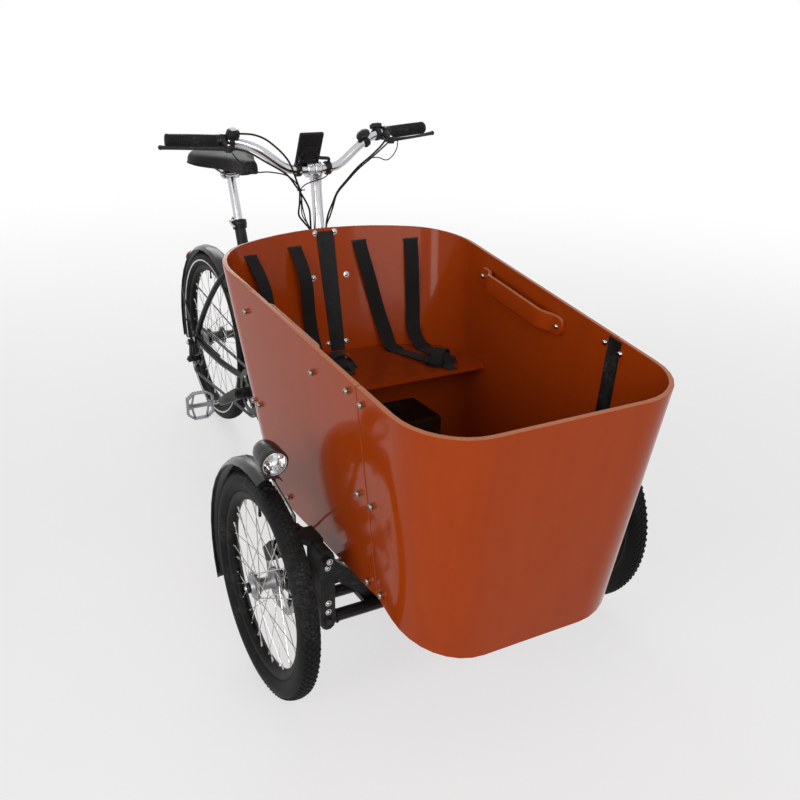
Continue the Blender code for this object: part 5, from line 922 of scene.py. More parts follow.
def box_bolts(radius):
    """Screws through the seams, the handles and the bench, with nuts inside the box."""
    # The outer screws and their washers carry a painted reflection of the wall in their colour
    maker = Maker("steel_with_painted_reflection")
    for side, word in SIDES:
        for index, (y, z) in enumerate(SIDE_BOLTS):
            wall = "box_front" if y < -0.222 else "box_side_" + word
            place, out = touch(wall, (side * 0.6, y, z), (-side, 0, 0))
            maker.lathe([(0, 0), (radius * 0.72, 0), (radius * 0.72, 0.0036), (0, 0.0036)],
                        aim(place, out), 20)
            maker.bolt(place + out * (0.0036 + radius * 0.2), out, radius, 1.2, "steel_with_painted_reflection")
            if index < SEAM_BOLTS:
                inside, inwards = touch(wall, (0, y, z), (side, 0, 0))
                maker.bolt(inside + inwards * radius * 0.2, inwards, radius * 0.92)
    for x, z in BACK_BOLTS:
        for side, word in SIDES:
            inside, inwards = touch("box_side_" + word, (side * x, 0.3, z), (0, 1, 0))
            maker.bolt(inside + inwards * radius * 0.2, inwards, radius * 0.92)
            place, out = touch("box_side_" + word, (side * x, 0.8, z), (0, -1, 0))
            maker.nut(place + out * 0.0004, out, radius * 0.9, radius * 0.7)
    piece(maker, "box_screws", "trike_body")


# A grab bar: the drop of its top edge below the rim, and its strip's sizes
GRAB = {"front": -0.0515, "rear": 0.3095, "drop": 0.0535, "height": 0.044, "ply": 0.011,
        "stand_off": 0.0215, "foot": 0.033, "bend": 0.042}


def grab_bar(side, word, radius):
    """A bent strip of plywood, screwed flat to the wall at its ends and clear of it between."""
    maker = Maker("lacquered_ply")
    wall = "box_side_" + word
    ends = [touch(wall, (0, y, rim_height(y) - GRAB["drop"]), (side, 0, 0))
            for y in (GRAB["front"], GRAB["rear"])]
    foot, out = ends[0][0], ends[0][1]
    run = ends[1][0] - foot
    length = run.length
    run.normalize()
    out = (out - run * out.dot(run)).normalized()
    up = run.cross(out)
    if up.z < 0:
        up.negate()
    half_height, half_ply = GRAB["height"] / 2, GRAB["ply"] / 2

    def lift(along):
        share = (min(along, length - along) - GRAB["foot"]) / GRAB["bend"]
        share = min(1, max(0, share))
        return half_ply + 0.0004 + GRAB["stand_off"] * share * share * (3 - 2 * share)

    corner = [half_height * (1 - cos(pi / 2 * index / 7)) for index in range(1, 8)]
    middle = [half_height + (length - 2 * half_height) * index / 40 for index in range(1, 40)]
    stations = corner + middle + [length - reach for reach in reversed(corner)]
    edge = 0.0032
    section = []
    for u, v, start in ((1, 1, 0), (-1, 1, 1), (-1, -1, 2), (1, -1, 3)):
        section += [(u, v, (start + step / 3) * pi / 2) for step in range(4)]
    rings = []
    for along in stations:
        reach = min(along, length - along, half_height)
        tall = sqrt(half_height ** 2 - (half_height - reach) ** 2)
        slope = (lift(along + 0.001) - lift(along - 0.001)) / 0.002
        across = (out - run * slope).normalized()
        round_off = min(edge, tall * 0.5)
        centre = foot + run * along + out * lift(along)
        rings.append([maker.vert(
            centre + across * (u * (half_ply - round_off) + round_off * cos(turn))
            + up * (v * (tall - round_off) + round_off * sin(turn))) for u, v, turn in section])
    maker.skin(rings)
    maker.ends(rings)
    for along in (half_height * 0.9, length - half_height * 0.9):
        place = foot + run * along + out * (lift(along) + half_ply)
        maker.bolt(place + out * radius * 0.2, out, radius * 0.8)
    piece(maker, "grab_bar_of_bent_ply_" + word, "trike_body", ["handle_" + word])


# Harness
STRAP_ROUTES = {
    "right": ((-0.229, -0.19, -0.095, 0.022), (-0.093, -0.078, -0.065, 0.026)),
    "left": ((0.229, 0.212, 0.205, 0.01), (0.093, 0.134, 0.165, 0.006))}
BUCKLE_PLACES = {"right": (-0.062, 0.38), "left": (0.188, 0.295)}
BACK_BOW = 0.59
BACK_LEAN = radians(14)
WALL = 0.012


def back_point(x, z, inset):
    """A point on the back wall's inner face, moved inwards by inset."""
    reach = BACK_BOW - inset
    line = 0.599 + (z - 0.877) * tan(BACK_LEAN)
    return Vector((x, line - BACK_BOW + sqrt(reach ** 2 - x ** 2), z))


def back_outwards(point):
    """The way out of the back wall's inner face at a point on it."""
    flat = sqrt(BACK_BOW ** 2 - point.x ** 2)
    return Vector((-point.x, -flat, flat * tan(BACK_LEAN))).normalized()


def buckle(maker, place, heading, size):
    """A side-release buckle lying on the bench: body, prongs and the two slotted bars."""
    flat = Matrix.Translation(place) @ turned(heading)
    half = size / 2
    body = [(-half, -half * 0.62), (-half * 0.55, -half * 0.78), (half * 0.55, -half * 0.78),
            (half, -half * 0.62), (half, half * 0.62), (half * 0.55, half * 0.78),
            (-half * 0.55, half * 0.78), (-half, half * 0.62)]
    maker.plate([body], 0.013, flat)
    for way in (-1, 1):
        slot = [(way * half * 1.02, -half * 0.7), (way * half * 1.38, -half * 0.66),
                (way * half * 1.38, half * 0.66), (way * half * 1.02, half * 0.7)][::way]
        gap = [(way * half * 1.13, -half * 0.5), (way * half * 1.26, -half * 0.5),
               (way * half * 1.26, half * 0.5), (way * half * 1.13, half * 0.5)][::-way]
        maker.plate([slot, gap], 0.0045, flat)
        prong = flat @ Matrix.Translation((0, way * half * 0.8, 0))
        maker.block((half * 0.9, 0.004, 0.0085), prong, 0.0012)
    maker.block((half * 1.1, half * 0.9, 0.02), flat, 0.004)
    for row in range(5):
        place = flat @ Matrix.Translation((half * (0.16 * row - 0.32), 0, 0.0102))
        maker.block((0.0012, half * 0.7, 0.0012), place, 0.0003)


def harness(word, width, thickness):
    maker = Maker("matt_moulding")
    buckle_x, buckle_y = BUCKLE_PLACES[word]
    seat = Vector((buckle_x, buckle_y, BENCH_TOP + 0.008))
    face = WALL / cos(BACK_LEAN)
    for top_x, low_x, end_x, bulge in STRAP_ROUTES[word]:
        route = []
        for share, z, stand_off in ((0, 0.8385, 0.0034), (0.06, 0.815, 0.0048 + bulge * 0.38),
                                    (0.18, 0.785, 0.0048 + bulge * 0.82),
                                    (0.38, 0.74, 0.0048 + bulge),
                                    (0.68, 0.67, 0.0048 + bulge * 0.55),
                                    (1, BENCH_TOP + 0.038, thickness * 8)):
            on_wall = back_point(top_x + (low_x - top_x) * share, z, face)
            route.append(on_wall + back_outwards(on_wall) * stand_off)
        route.append(Vector((low_x, route[-1].y - 0.038, BENCH_TOP + thickness * 2)))
        route.append(Vector(((low_x + end_x) / 2, (route[-1].y + buckle_y) / 2 + 0.01,
                             BENCH_TOP + thickness * 2.6)))
        route.append(Vector((end_x, buckle_y + 0.03, BENCH_TOP + thickness * 3)))
        points = spline(route, 42)
        outwards = []
        for point in points:
            wall = min(1, max(0, (point.z - BENCH_TOP - 0.006) / 0.05))
            outwards.append(back_outwards(point).lerp(Vector((0, 0, 1)), 1 - wall))
        maker.tape(points, outwards, width, thickness)
        # The slot in the back wall that the strap comes out of, drawn as a black plate: painted
        # shade in the opening
        top = back_point(top_x, 0.839, face)
        facing = back_outwards(top)
        level = Vector((0, tan(BACK_LEAN), 1)).cross(facing).normalized()
        slot_turn = Matrix.Translation(top) @ Matrix(
            (level, facing.cross(level), facing)).transposed().to_4x4()
        half = width / 2 + 0.0025
        slot = arc((half - 0.004, 0), 0.004, -pi / 2, pi / 2, 6) + arc(
            (0.004 - half, 0), 0.004, pi / 2, 3 * pi / 2, 6)
        maker.plate([slot], 0.006, slot_turn)
        slider_at = points[32]
        run = (points[33] - points[31]).normalized()
        out = outwards[32]
        across = out.cross(run).normalized()
        slider = Matrix.Translation(slider_at + out * 0.0006) @ Matrix((
            (*across, 0), (*run, 0), (*run.cross(across) * -1, 0), (0, 0, 0, 1))).transposed()
        for place in (-0.011, 0, 0.011):
            bar = slider @ Matrix.Translation((0, place, 0))
            maker.block((width + 0.006, 0.0034, 0.0052), bar, 0.001)
        for way in (-1, 1):
            end = slider @ Matrix.Translation((way * (width / 2 + 0.002), 0, 0))
            maker.block((0.004, 0.027, 0.0052), end, 0.001)
    heading = radians(20 if word == "left" else -15)
    buckle(maker, seat + mm3(0, 0, 4), heading, 0.06)
    # The lap strap that holds the buckle, down through the bench
    lap = [seat + mm3(0, -4, 1), seat + mm3(0, -22, 0.5),
           seat + mm3(4, -40, -4), seat + mm3(6, -58, -5.5)]
    points = spline(lap, 12)
    maker.tape(points, [Vector((0, 0, 1))] * len(points), width * 0.8, thickness)
    for turn, reach, rise in ((0.2, 0.036, 0.036), (1.5, 0.03, 0.026), (-0.7, 0.04, 0.02)):
        fold = Matrix.Translation(seat - mm3(0, 0, 4)) @ turned(heading + turn)
        bow = [fold @ Vector((reach * x, 0.004 * x, rise * z)) for x, z in (
            (-1.05, 0), (-0.85, 0.55), (-0.35, 0.95), (0.25, 1), (0.8, 0.62), (1.12, 0.05))]
        points = spline(bow, 24)
        across = fold.to_3x3() @ Vector((0, 1, 0))
        outwards = [(points[min(i + 1, 24)] - points[max(i - 1, 0)]).cross(across)
                    for i in range(25)]
        maker.tape(points, outwards, width * 0.9, thickness)
    piece(maker, "shoulder_straps_" + word, "trike_body", ["harness_" + word])


# Saddle
def saddle():
    """A padded saddle with a centre groove, its piped edge, base and rails' sockets."""
    nose, tail, half, top, depth = 1.09, 1.425, 0.108, 0.99, 0.052
    rows = ((0, 0.13, 0.4, 0.7), (0.012, 0.19, 0.26, 0.84), (0.05, 0.235, 0.14, 0.9),
            (0.16, 0.27, 0.08, 0.9), (0.3, 0.335, 0.06, 0.885), (0.42, 0.455, 0.05, 0.87),
            (0.54, 0.68, 0.04, 0.87), (0.66, 0.89, 0.03, 0.9), (0.78, 1, 0.02, 0.945),
            (0.88, 1, 0.02, 0.985), (0.95, 0.92, 0.06, 1), (0.985, 0.8, 0.16, 0.94),
            (1, 0.66, 0.34, 0.82))
    flank = ((-0.9, 0), (-0.985, 0.12), (-1, 0.34), (-0.955, 0.62), (-0.82, 0.84),
             (-0.58, 0.965), (-0.32, 1), (-0.14, 0.985))
    under = ((0.45, 0.02), (0, 0.03), (-0.45, 0.02))
    section = [*flank, (0, 0.93), *((-u, v) for u, v in reversed(flank)), *under]
    maker = Maker("saddle_cover")
    rings = []
    base = top - depth
    for along, width, low, rise in rows:
        made = []
        for u, v in section:
            # The groove runs out before the nose and the tail
            filled = abs(u) < 0.2 and v > 0.5 and not 0.25 < along < 0.93
            height = low * 0.35 + (rise - low * 0.35) * v
            made.append(maker.vert((half * width * u, nose + (tail - nose) * along,
                                    base + depth * height * (1.02 if filled else 1))))
        rings.append(made)
    count, first_under = len(section), 15
    for low_ring, high_ring in zip(rings, rings[1:]):
        for i in range(count):
            j = (i + 1) % count
            maker.face((low_ring[i], low_ring[j], high_ring[j], high_ring[i]),
                       "matt_moulding" if i >= first_under else None)
    maker.ends(rings)
    pad = piece(maker, "padded_saddle", "trike_body", ["saddle"], radians(80))
    rounding = pad.modifiers.new("rounding", "SUBSURF")
    rounding.levels = rounding.render_levels = 2

    maker = Maker("matt_moulding")
    for side in (-1, 1):
        edge = [Vector((side * half * width * 0.985, nose + (tail - nose) * along,
                        base + depth * (low * 0.35 + (rise - low * 0.35) * 0.16)))
                for along, width, low, rise in rows[1:-1]]
        maker.tube(spline(edge, 60), 0.0016, 8, finish="soft_rubber")
        maker.block((0.012, 0.02, 0.012), Matrix.Translation(
            (side * 0.031, tail - 0.036, base - 0.001)), 0.003)
    maker.block((0.03, 0.018, 0.01), Matrix.Translation((0, nose + 0.07, base - 0.001)), 0.003)
    piece(maker, "saddle_trim", "trike_body")


def seat_clamps():
    """The seat tube's quick-release collar and the yoke that grips the saddle's rails."""
    maker = Maker("polished_silver")
    lean = Vector((0, tan(SEAT_LEAN), 1)).normalized()
    top = mm3(0, 1228, 780)
    collar = aim(top - lean * 0.018, lean)
    maker.lathe(mm((18.2, 0), (23.6, 0.8), (24.2, 3), (24.2, 15), (23.6, 17.2), (18.2, 18)),
                collar, 36, "black_alloy", closed=True)
    pivot = top - lean * 0.009 + mm3(0, 27, 12)
    for side in (-1, 1):
        maker.nut(pivot + mm3(side * 9, 0, 0), (side, 0, 0), 0.0058, 0.005)
    maker.tube([pivot + mm3(-16, 0, 0), pivot + mm3(16, 0, 0)], 0.0028, 10, finish="bright_steel")
    lever = [pivot + mm3(-16, 0, 0), pivot + mm3(-24, -10, -4),
             pivot + mm3(-27, -30, -10), pivot + mm3(-26, -52, -16)]
    maker.tube(spline(lever, 14), [0.004 + 0.0012 * sin(pi * i / 14) for i in range(15)], 10, 0.7)
    post_top = Vector((0, 1.228 + (0.918 - 0.78) * tan(SEAT_LEAN), 0.918))
    for side in (-1, 1):
        maker.bolt(post_top + mm3(side * 27, 0, 0), (side, 0, 0), 0.0072, 1.35, socket=False)
        maker.block((0.006, 0.034, 0.02), Matrix.Translation(
            post_top + mm3(side * 22.5, 0, 2)), 0.003)
    piece(maker, "seat_clamps", "trike_body")


# Handlebar and what it carries
def bar_run(side):
    tip = mirrored(BAR_PATH[-1], side)
    bend = mirrored(BAR_PATH[-2], side)
    return tip, (bend - tip).normalized()


def bar_centre():
    half = [Vector(point) for point in BAR_PATH]
    return [mirrored(point, -1) for point in reversed(half[1:])] + half


def handlebar():
    maker = Maker("polished_silver")
    points = spline(bar_centre(), 96)
    maker.tube(points, 0.0124, 24)
    piece(maker, "swept_handlebar", "steering", ["handlebar"])


def stem():
    """The quill stem: a round post, its clamp in two halves and their screws."""
    maker = Maker("polished_silver")
    low = steer_point(0.8363)
    high = steer_point(1.01)
    post = aim(low, steer_aim())
    length = (high - low).length
    maker.lathe([(0.0143, 0), (0.0143, 0.002), (0.0146, 0.0035), (0.0146, 0.016), (0.0143, 0.018),
                 (0.0143, length * 0.84), (0.0158, length * 0.92), (0.019, length), (0, length)],
                post, 32)
    maker.lathe(mm((0, 0), (14.3, 0)), post, 32)
    middle = Vector(BAR_PATH[0])
    for way in (-1, 1):
        clamp = axle(middle + mm3(way * 10.8, 0, 0))
        maker.lathe(mm((12.6, -9.8), (19.5, -9.8), (20.8, -8.2), (20.8, 8.2), (19.5, 9.8),
                       (12.6, 9.8)), clamp, 36, closed=True)
        for up in (-1, 1):
            place = middle + mm3(way * 10.8, -19.2, up * 11.8)
            maker.bolt(place, (0, -1, up * 0.15), 0.0036, 1.25)
    maker.block((0.0035, 0.006, 0.032), Matrix.Translation(middle + mm3(0, -16.5, 0)), 0.001,
                finish="dark_steel")
    maker.bolt(steer_point(1) + mm3(0, 18.5, 0), (0, 1, 0.2), 0.004, 1.25)
    piece(maker, "quill_stem", "steering", ["stem"])


def grip(side, word):
    maker = Maker("soft_rubber")
    tip, inwards = bar_run(side)
    matrix = aim(tip - inwards * 0.00425, inwards)
    profile = mm((0, 0), (12, 0), (15.2, 1.2), (16.6, 4), (16.6, 9))
    rib_count = 26
    for index in range(rib_count):
        start = 0.012 + index * 0.0043
        swell = 0.0004 * sin(pi * index / rib_count)
        profile += [(0.0151 + swell, start), (0.0163 + swell, start + 0.0011),
                    (0.0163 + swell, start + 0.0027), (0.0151 + swell, start + 0.0038)]
    profile += mm((16.6, 125.5), (16.9, 127.5), (16.9, 132.5), (16, 134.2), (12.7, 134.2))
    maker.lathe(profile, matrix, 36)
    ring_at = aim(tip + inwards * 0.1222, inwards)
    maker.lathe(mm((16, 0), (17.05, 0.4), (17.05, 6.6), (16, 7)), ring_at, 36, "black_alloy",
                closed=True)
    piece(maker, "ribbed_grip_" + word, "steering", ["grip_" + word])


def lever_pivot(side):
    tip, inwards = bar_run(side)
    clamp_at = tip + inwards * (0.13 + 0.0006 + 0.008)
    return clamp_at, clamp_at + mm3(0, -42, -14), tip, inwards


def brake_lever(side, word):
    """Clamp, master body and a curved blade that ends in a ball."""
    maker = Maker("black_alloy")
    clamp_at, pivot, tip, inwards = lever_pivot(side)
    band = aim(clamp_at - inwards * 0.0078, inwards)
    maker.lathe(mm((12.8, 0), (17.8, 0.6), (18.4, 2), (18.4, 13.6), (17.8, 15), (12.8, 15.6)),
                band, 32, closed=True)
    neck = spline([clamp_at + mm3(0, -12, -2), clamp_at + mm3(0, -26, -9), pivot + mm3(0, 4, 0)],
                  10)
    maker.tube(neck, [0.0112 - 0.0022 * i / 10 for i in range(11)], 16)
    maker.lathe(mm((0, -8.5), (8.5, -8.5), (9.5, -7.5), (9.5, 7.5), (8.5, 8.5), (0, 8.5)),
                aim(pivot, (0, 0, 1)), 24)
    maker.bolt(pivot + mm3(0, 0, 8.5), (0, 0, 1), 0.0038, 1.2)
    end = tip - inwards * 0.0225 + Vector((0, -0.042 * 0.62, -0.014))
    middle = (pivot + end) / 2 + mm3(0, -8.4, 0)
    blade = spline([pivot, middle, end], 26)
    radii = [0.0058 - 0.0018 * sin(pi * i / 26) for i in range(27)]
    maker.tube(blade, radii, 14, 0.82)
    heading = (blade[-1] - blade[-2]).normalized()
    ball = aim(end, heading)
    maker.lathe([(0, -0.006)] + [(0.0062 * sin(pi * i / 10), -0.0062 * cos(pi * i / 10))
                                 for i in range(1, 10)] + [(0, 0.0062)], ball, 20)
    hose = pivot + inwards * 0.012
    maker.tube(spline([pivot, pivot + inwards * 0.008, hose + inwards * 0.01], 6),
               [0.005, 0.0048, 0.0046, 0.0044, 0.004, 0.0036, 0.0032], 14, finish="matt_moulding")
    maker.nut(clamp_at + mm3(0, -8, 16.5), (0, -0.25, 1), 0.0042, 0.003)
    piece(maker, "brake_lever_set_" + word, "steering", ["brake_lever_" + word])


def display():
    """A slim tablet on its cradle, its back to the front, clamped on both sides of the stem."""
    maker = Maker("matt_moulding")
    turn = shift(-14, 640, 1076) @ turned(radians(-2.2)) @ turned(radians(-62.4), "X")
    back = turn.to_3x3() @ Vector((0, 0, -1))
    maker.block((0.066, 0.096, 0.0105), turn, 0.004)
    maker.block((0.058, 0.086, 0.001), turn @ shift(0, -1, 5.3), 0.0004, finish="dark_glass")
    maker.block((0.04, 0.05, 0.006), turn @ shift(0, 14, -7.2), 0.0025)
    for place in (-0.03, -0.022, -0.014):
        maker.block((0.044, 0.0016, 0.0012), turn @ Matrix.Translation((0, place, -0.0054)),
                    0.0005)
    for way in (-1, 1):
        maker.bolt(turn @ mm3(way * 15, 28, -10.2), back, 0.0026, 1.1, "dark_steel")
        clamp = mm3(way * 42.5, 651.5, 1023)
        post = spline([clamp + mm3(0, -6, 14), clamp + mm3(-way * 4, -16, 26),
                       turn @ mm3(way * 27, 22, -8.5), turn @ mm3(way * 18, 6, -8.5)], 12)
        maker.tube(post, 0.0048, 12, 0.75)
        band = axle(clamp)
        maker.lathe(mm((12.7, -7), (16.8, -7), (17.8, -5.5), (17.8, 5.5), (16.8, 7), (12.7, 7)),
                    band, 28, closed=True)
        maker.block((0.01, 0.012, 0.008), Matrix.Translation(clamp + mm3(0, -18.5, -4)), 0.002)
        maker.bolt(clamp + mm3(0, -24.5, -4), (0, -1, 0), 0.0026, 1.1)
    maker.lathe(mm((0, 0), (4.4, 0), (4.2, 1.6), (0, 2.2)), aim(turn @ mm3(-22, 34, -5.2), back),
                20, "reflex_band")
    piece(maker, "tablet_display", "steering", ["display"])


def bar_controls():
    """The shifter on the right, the bell and the assist keys on the left."""
    maker = Maker("matt_moulding")
    clamp_at, _, _, inwards = lever_pivot(-1)
    band_at = clamp_at + inwards * 0.022
    maker.lathe(mm((12.8, -6), (17.2, -6), (17.8, -5), (17.8, 5), (17.2, 6), (12.8, 6)),
                aim(band_at, inwards), 28, closed=True)
    pod = band_at + mm3(0, -12, 20)
    maker.lathe(mm((0, -10), (15, -10), (17.5, -6), (17.5, 3), (15.5, 8), (10, 10.5), (0, 11)),
                aim(pod, (0, -0.35, 1)), 28)
    maker.lathe(mm((0, 0), (9.5, 0), (9.5, 1.6), (8.5, 2.6), (0, 3)),
                aim(pod + mm3(0, -3.7, 10.4), (0, -0.35, 1)), 24, "polished_silver")
    for reach in (0, 1):
        start = pod + Vector((0.002, 0.012, -0.012 + 0.01 * reach))
        thumb = spline([start, start + mm3(-10, 16, -4), start + mm3(-26, 20, -6)], 8)
        maker.tube(thumb, [0.0042, 0.0042, 0.0044, 0.0048, 0.0052, 0.0056, 0.0058, 0.0054, 0.004],
                   10, 0.55)
    clamp_at, _, _, inwards = lever_pivot(1)
    band_at = clamp_at + inwards * 0.024
    maker.lathe(mm((12.8, -5.5), (17, -5.5), (17.6, -4), (17.6, 4), (17, 5.5), (12.8, 5.5)),
                aim(band_at, inwards), 28, closed=True)
    maker.block((0.03, 0.02, 0.012), aim(band_at + mm3(0, 6, 20), (0, 0.5, 1)), 0.003)
    for index in range(3):
        key = band_at + inwards * (0.008 * (index - 1)) + mm3(0, 9.5, 26.2)
        maker.lathe(mm((0, 0), (3, 0), (2.8, 1), (0, 1.3)), aim(key, (0, 0.5, 1)), 14,
                    "soft_rubber")
    bell = mm3(152, 656, 1100)
    maker.lathe([(0, -0.012), (0.006, -0.012), (0.006, -0.002), (0.0195, -0.001), (0.02, 0.0015)]
                + [(0.02 * cos(pi * i / 16), 0.0015 + 0.0125 * sin(pi * i / 16))
                   for i in range(1, 8)] + [(0, 0.014)], aim(bell, (-0.6, -0.15, 0.78)), 32,
                "black_alloy")
    band_at = mm3(160, 664, 1084.5)
    maker.lathe(mm((12.8, -6), (16.6, -6), (17.2, -5), (17.2, 5), (16.6, 6), (12.8, 6)),
                aim(band_at, (0.83, 0.16, 0.53)), 28, closed=True)
    piece(maker, "bar_controls", "steering")


# Cables, hoses and lamps
# Each cable: its share of the gauge, and its places in millimetres
CABLE_ROUTES = (
    (1, ((-199, 660, 1120), (-165, 632, 1118), (-135, 607, 1102), (-91, 600, 1057),
           (-67.5, 600, 1001), (-59, 604, 979), (-59, 606, 946), (-60, 611, 915), (-43, 620, 893),
           (-23, 627, 870), (-20.5, 619, 845), (-20.5, 610.5, 818))),
    (1, ((-209, 641, 1085), (-184, 620, 1077), (-152, 597, 1056.5), (-99, 596, 1023.7),
           (-71, 600, 990.9), (-54.5, 604, 969), (-33.3, 606, 930.9), (-26, 614, 895),
           (-22.2, 619, 864), (-17.2, 613, 822))),
    (0.66, ((-224, 636, 1076), (-211, 621, 1057), (-181, 606, 1033), (-140, 601, 1030),
           (-92, 600, 1017), (-60, 601, 983), (-51.6, 605, 935), (-39, 614, 900),
           (-20.5, 630, 868), (-19, 619, 820))),
    (0.6, ((42.5, 628, 1024), (33, 622, 1013), (8.9, 608, 1004), (-27.6, 604, 997),
           (-48, 603, 989), (-60, 602, 974), (-56, 602, 940), (-49, 611, 910), (-17, 633, 866),
           (-17, 622, 820))),
    (1, ((209, 641, 1085), (188, 630, 1071), (150.4, 615, 1049.9), (110.5, 605, 1027.7),
           (73.8, 600, 996.3), (46.8, 600, 967.9), (33.4, 603, 938.1), (23, 609, 908),
           (21.5, 618, 875), (20.5, 610.5, 818))),
    (0.84, ((224, 650, 1079), (190, 629, 1065), (149, 611, 1045), (108, 601, 1022),
           (70.5, 596.5, 991), (44, 597, 963), (34.5, 602, 930), (29, 610, 904), (22.5, 623, 870),
           (19, 619, 820))),
    (0.56, ((257.1, 655, 1088.5), (247.9, 645, 1062.9), (227.1, 635, 1043), (203.6, 625, 1037),
           (178, 620, 1045.6), (150.4, 612.5, 1047.5))))


def bar_cables(gauge):
    """Cables from each end of the bar and from the display, tied in front of the stem."""
    maker = Maker("matt_moulding")
    for share, route in CABLE_ROUTES:
        maker.tube(spline(mm(*route), 10 * len(route)), gauge / 2 * share, 10,
                   finish="soft_rubber")
    tie = aim(mm3(-59, 603, 979), (0.05, 0, 1))
    maker.lathe(mm((5.8, -1.6), (7, -1.6), (7, 1.6), (5.8, 1.6)), tie, 20, closed=True)
    maker.block((0.003, 0.01, 0.0026), tie @ shift(2, -11, 0), 0.0006)
    piece(maker, "bar_cable_bundle", "steering",
          ["bar_cable_right", "bar_cable_left"])


def front_hoses(gauge):
    """A brake hose on each side, from the caliper on the knuckle to the frame."""
    for side, word in SIDES:
        maker = Maker("soft_rubber")
        route = [Vector((side * x, y, z)) for x, y, z in mm((377, 34, 322), (366, 40, 338),
                                                            (345, 52, 346), (318, 70, 334),
                                                            (285, 88, 306), (240, 102, 287),
                                                            (198, 106, 284))]
        points = spline(route, 60)
        maker.tube(points, gauge / 2, 10)
        maker.nut(points[0] + mm3(0, 0, -4), points[1] - points[0], 0.0045, 0.009, "black_alloy")
        hose = piece(maker, "brake_hose_" + word, None)
        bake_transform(hose)


def headlamp(side, word):
    """A bullet lamp: gloss shell, bright bezel, reflector and clear domed lens."""
    maker = Maker("gloss_moulding")
    centre = Vector((side * HALF_TRACK, -0.046, 0.582))
    matrix = aim(centre + mm3(0, 39, 4), (0, -1, -0.12))
    shell = mm((0, 0), (7, 0.6), (12.2, 2.3), (17, 6), (20.9, 10.9), (24.2, 18), (26.7, 26.5),
               (28.3, 37), (29, 48.4), (29, 66.5))
    maker.lathe(shell, matrix, 48)
    bezel = mm((29, 66.5), (29.95, 67.2), (30, 74.2), (29.1, 76), (27, 76.2), (26.2, 74.5))
    maker.lathe(bezel, matrix, 48)
    glint = mm((26.4, 74.6), (26.2, 77), (25, 77.6), (23.8, 77.2), (23.6, 74.5))
    maker.lathe(glint, matrix, 48, "bright_steel")
    bowl = mm((23.7, 74.5), (22.6, 69), (20.2, 61), (16, 54.5), (11, 51.2), (5.2, 50.5), (0, 50.5))
    maker.lathe(bowl, matrix, 48, "mirror")
    maker.lathe(mm((0, 50.6), (5, 51), (5, 58.5), (3.6, 61), (0, 61.5)), matrix, 24, "reflex_band")
    for turn in range(4):
        blade = matrix @ turned(turn * pi / 2) @ shift(14, 0, 60)
        maker.block((0.018, 0.0012, 0.006), blade, 0.0004, finish="mirror")
    dome = mm((23.7, 74.8), (21.6, 76.2), (16.2, 77.2), (8.6, 77.85), (0, 78))
    inner = mm((0, 76.2), (8.6, 76.05), (16.2, 75.4), (21.6, 74.4))
    maker.lathe(dome + inner, matrix, 48, "clear_lens", closed=True)
    foot = FRONT_WHEEL["z"] + GUARD_RADIUS - 0.0045
    maker.lathe([(0, foot), (0.0088, foot), (0.0082, foot + 0.006), (0.0072, 0.56),
                 (0.0105, 0.572), (0, 0.576)], Matrix.Translation((centre.x, centre.y, 0)), 24,
                "matt_moulding")
    for way in (side, -side):
        maker.bolt(Vector((centre.x + way * 0.0106, centre.y, 0.5665)), (way, 0, -0.1), 0.0042,
                   1.25)
    wire = [Vector((centre.x, centre.y + 0.034, 0.574)), Vector((centre.x, 0.01, 0.556)),
            Vector((centre.x - side * 0.01, 0.024, 0.5405)),
            Vector((centre.x - side * 0.026, 0.012, 0.524))]
    maker.tube(spline(wire, 20), 0.0016, 8, finish="soft_rubber")
    piece(maker, "bullet_lamp_" + word, "knuckle_body_" + word,
          ["headlamp_" + word])


def tail_lamp():
    maker = Maker("red_lens")
    place = Matrix.Translation((0, WHEELBASE, REAR_WHEEL["z"])) @ turned(radians(46), "X")
    housing = place @ shift(0, 329.3, 0) @ turned(-pi / 2, "X")
    outline = [(0.0195 * x, 0.0255 * y) for x, y in ring((0, 0), 1, 28)]
    maker.plate([outline], 0.009, housing @ shift(0, 0, 4.5), "matt_moulding")
    rows = []
    for depth, share in ((0.0088, 0.97), (0.013, 0.95), (0.0175, 0.84), (0.0205, 0.62),
                         (0.0218, 0.3)):
        rows.append([maker.vert(housing @ Vector((x * share, y * share, depth)))
                     for x, y in outline])
    maker.skin(rows)
    maker.ends(rows)
    for y in (-0.012, 0.012):
        maker.lathe(mm((0, 0), (6, 0.4), (6, 1.4), (0, 2)), housing
                    @ Matrix.Translation((0, y, 0.0196)), 20)
    piece(maker, "oval_tail_lamp", "trike_body", ["tail_lamp"])


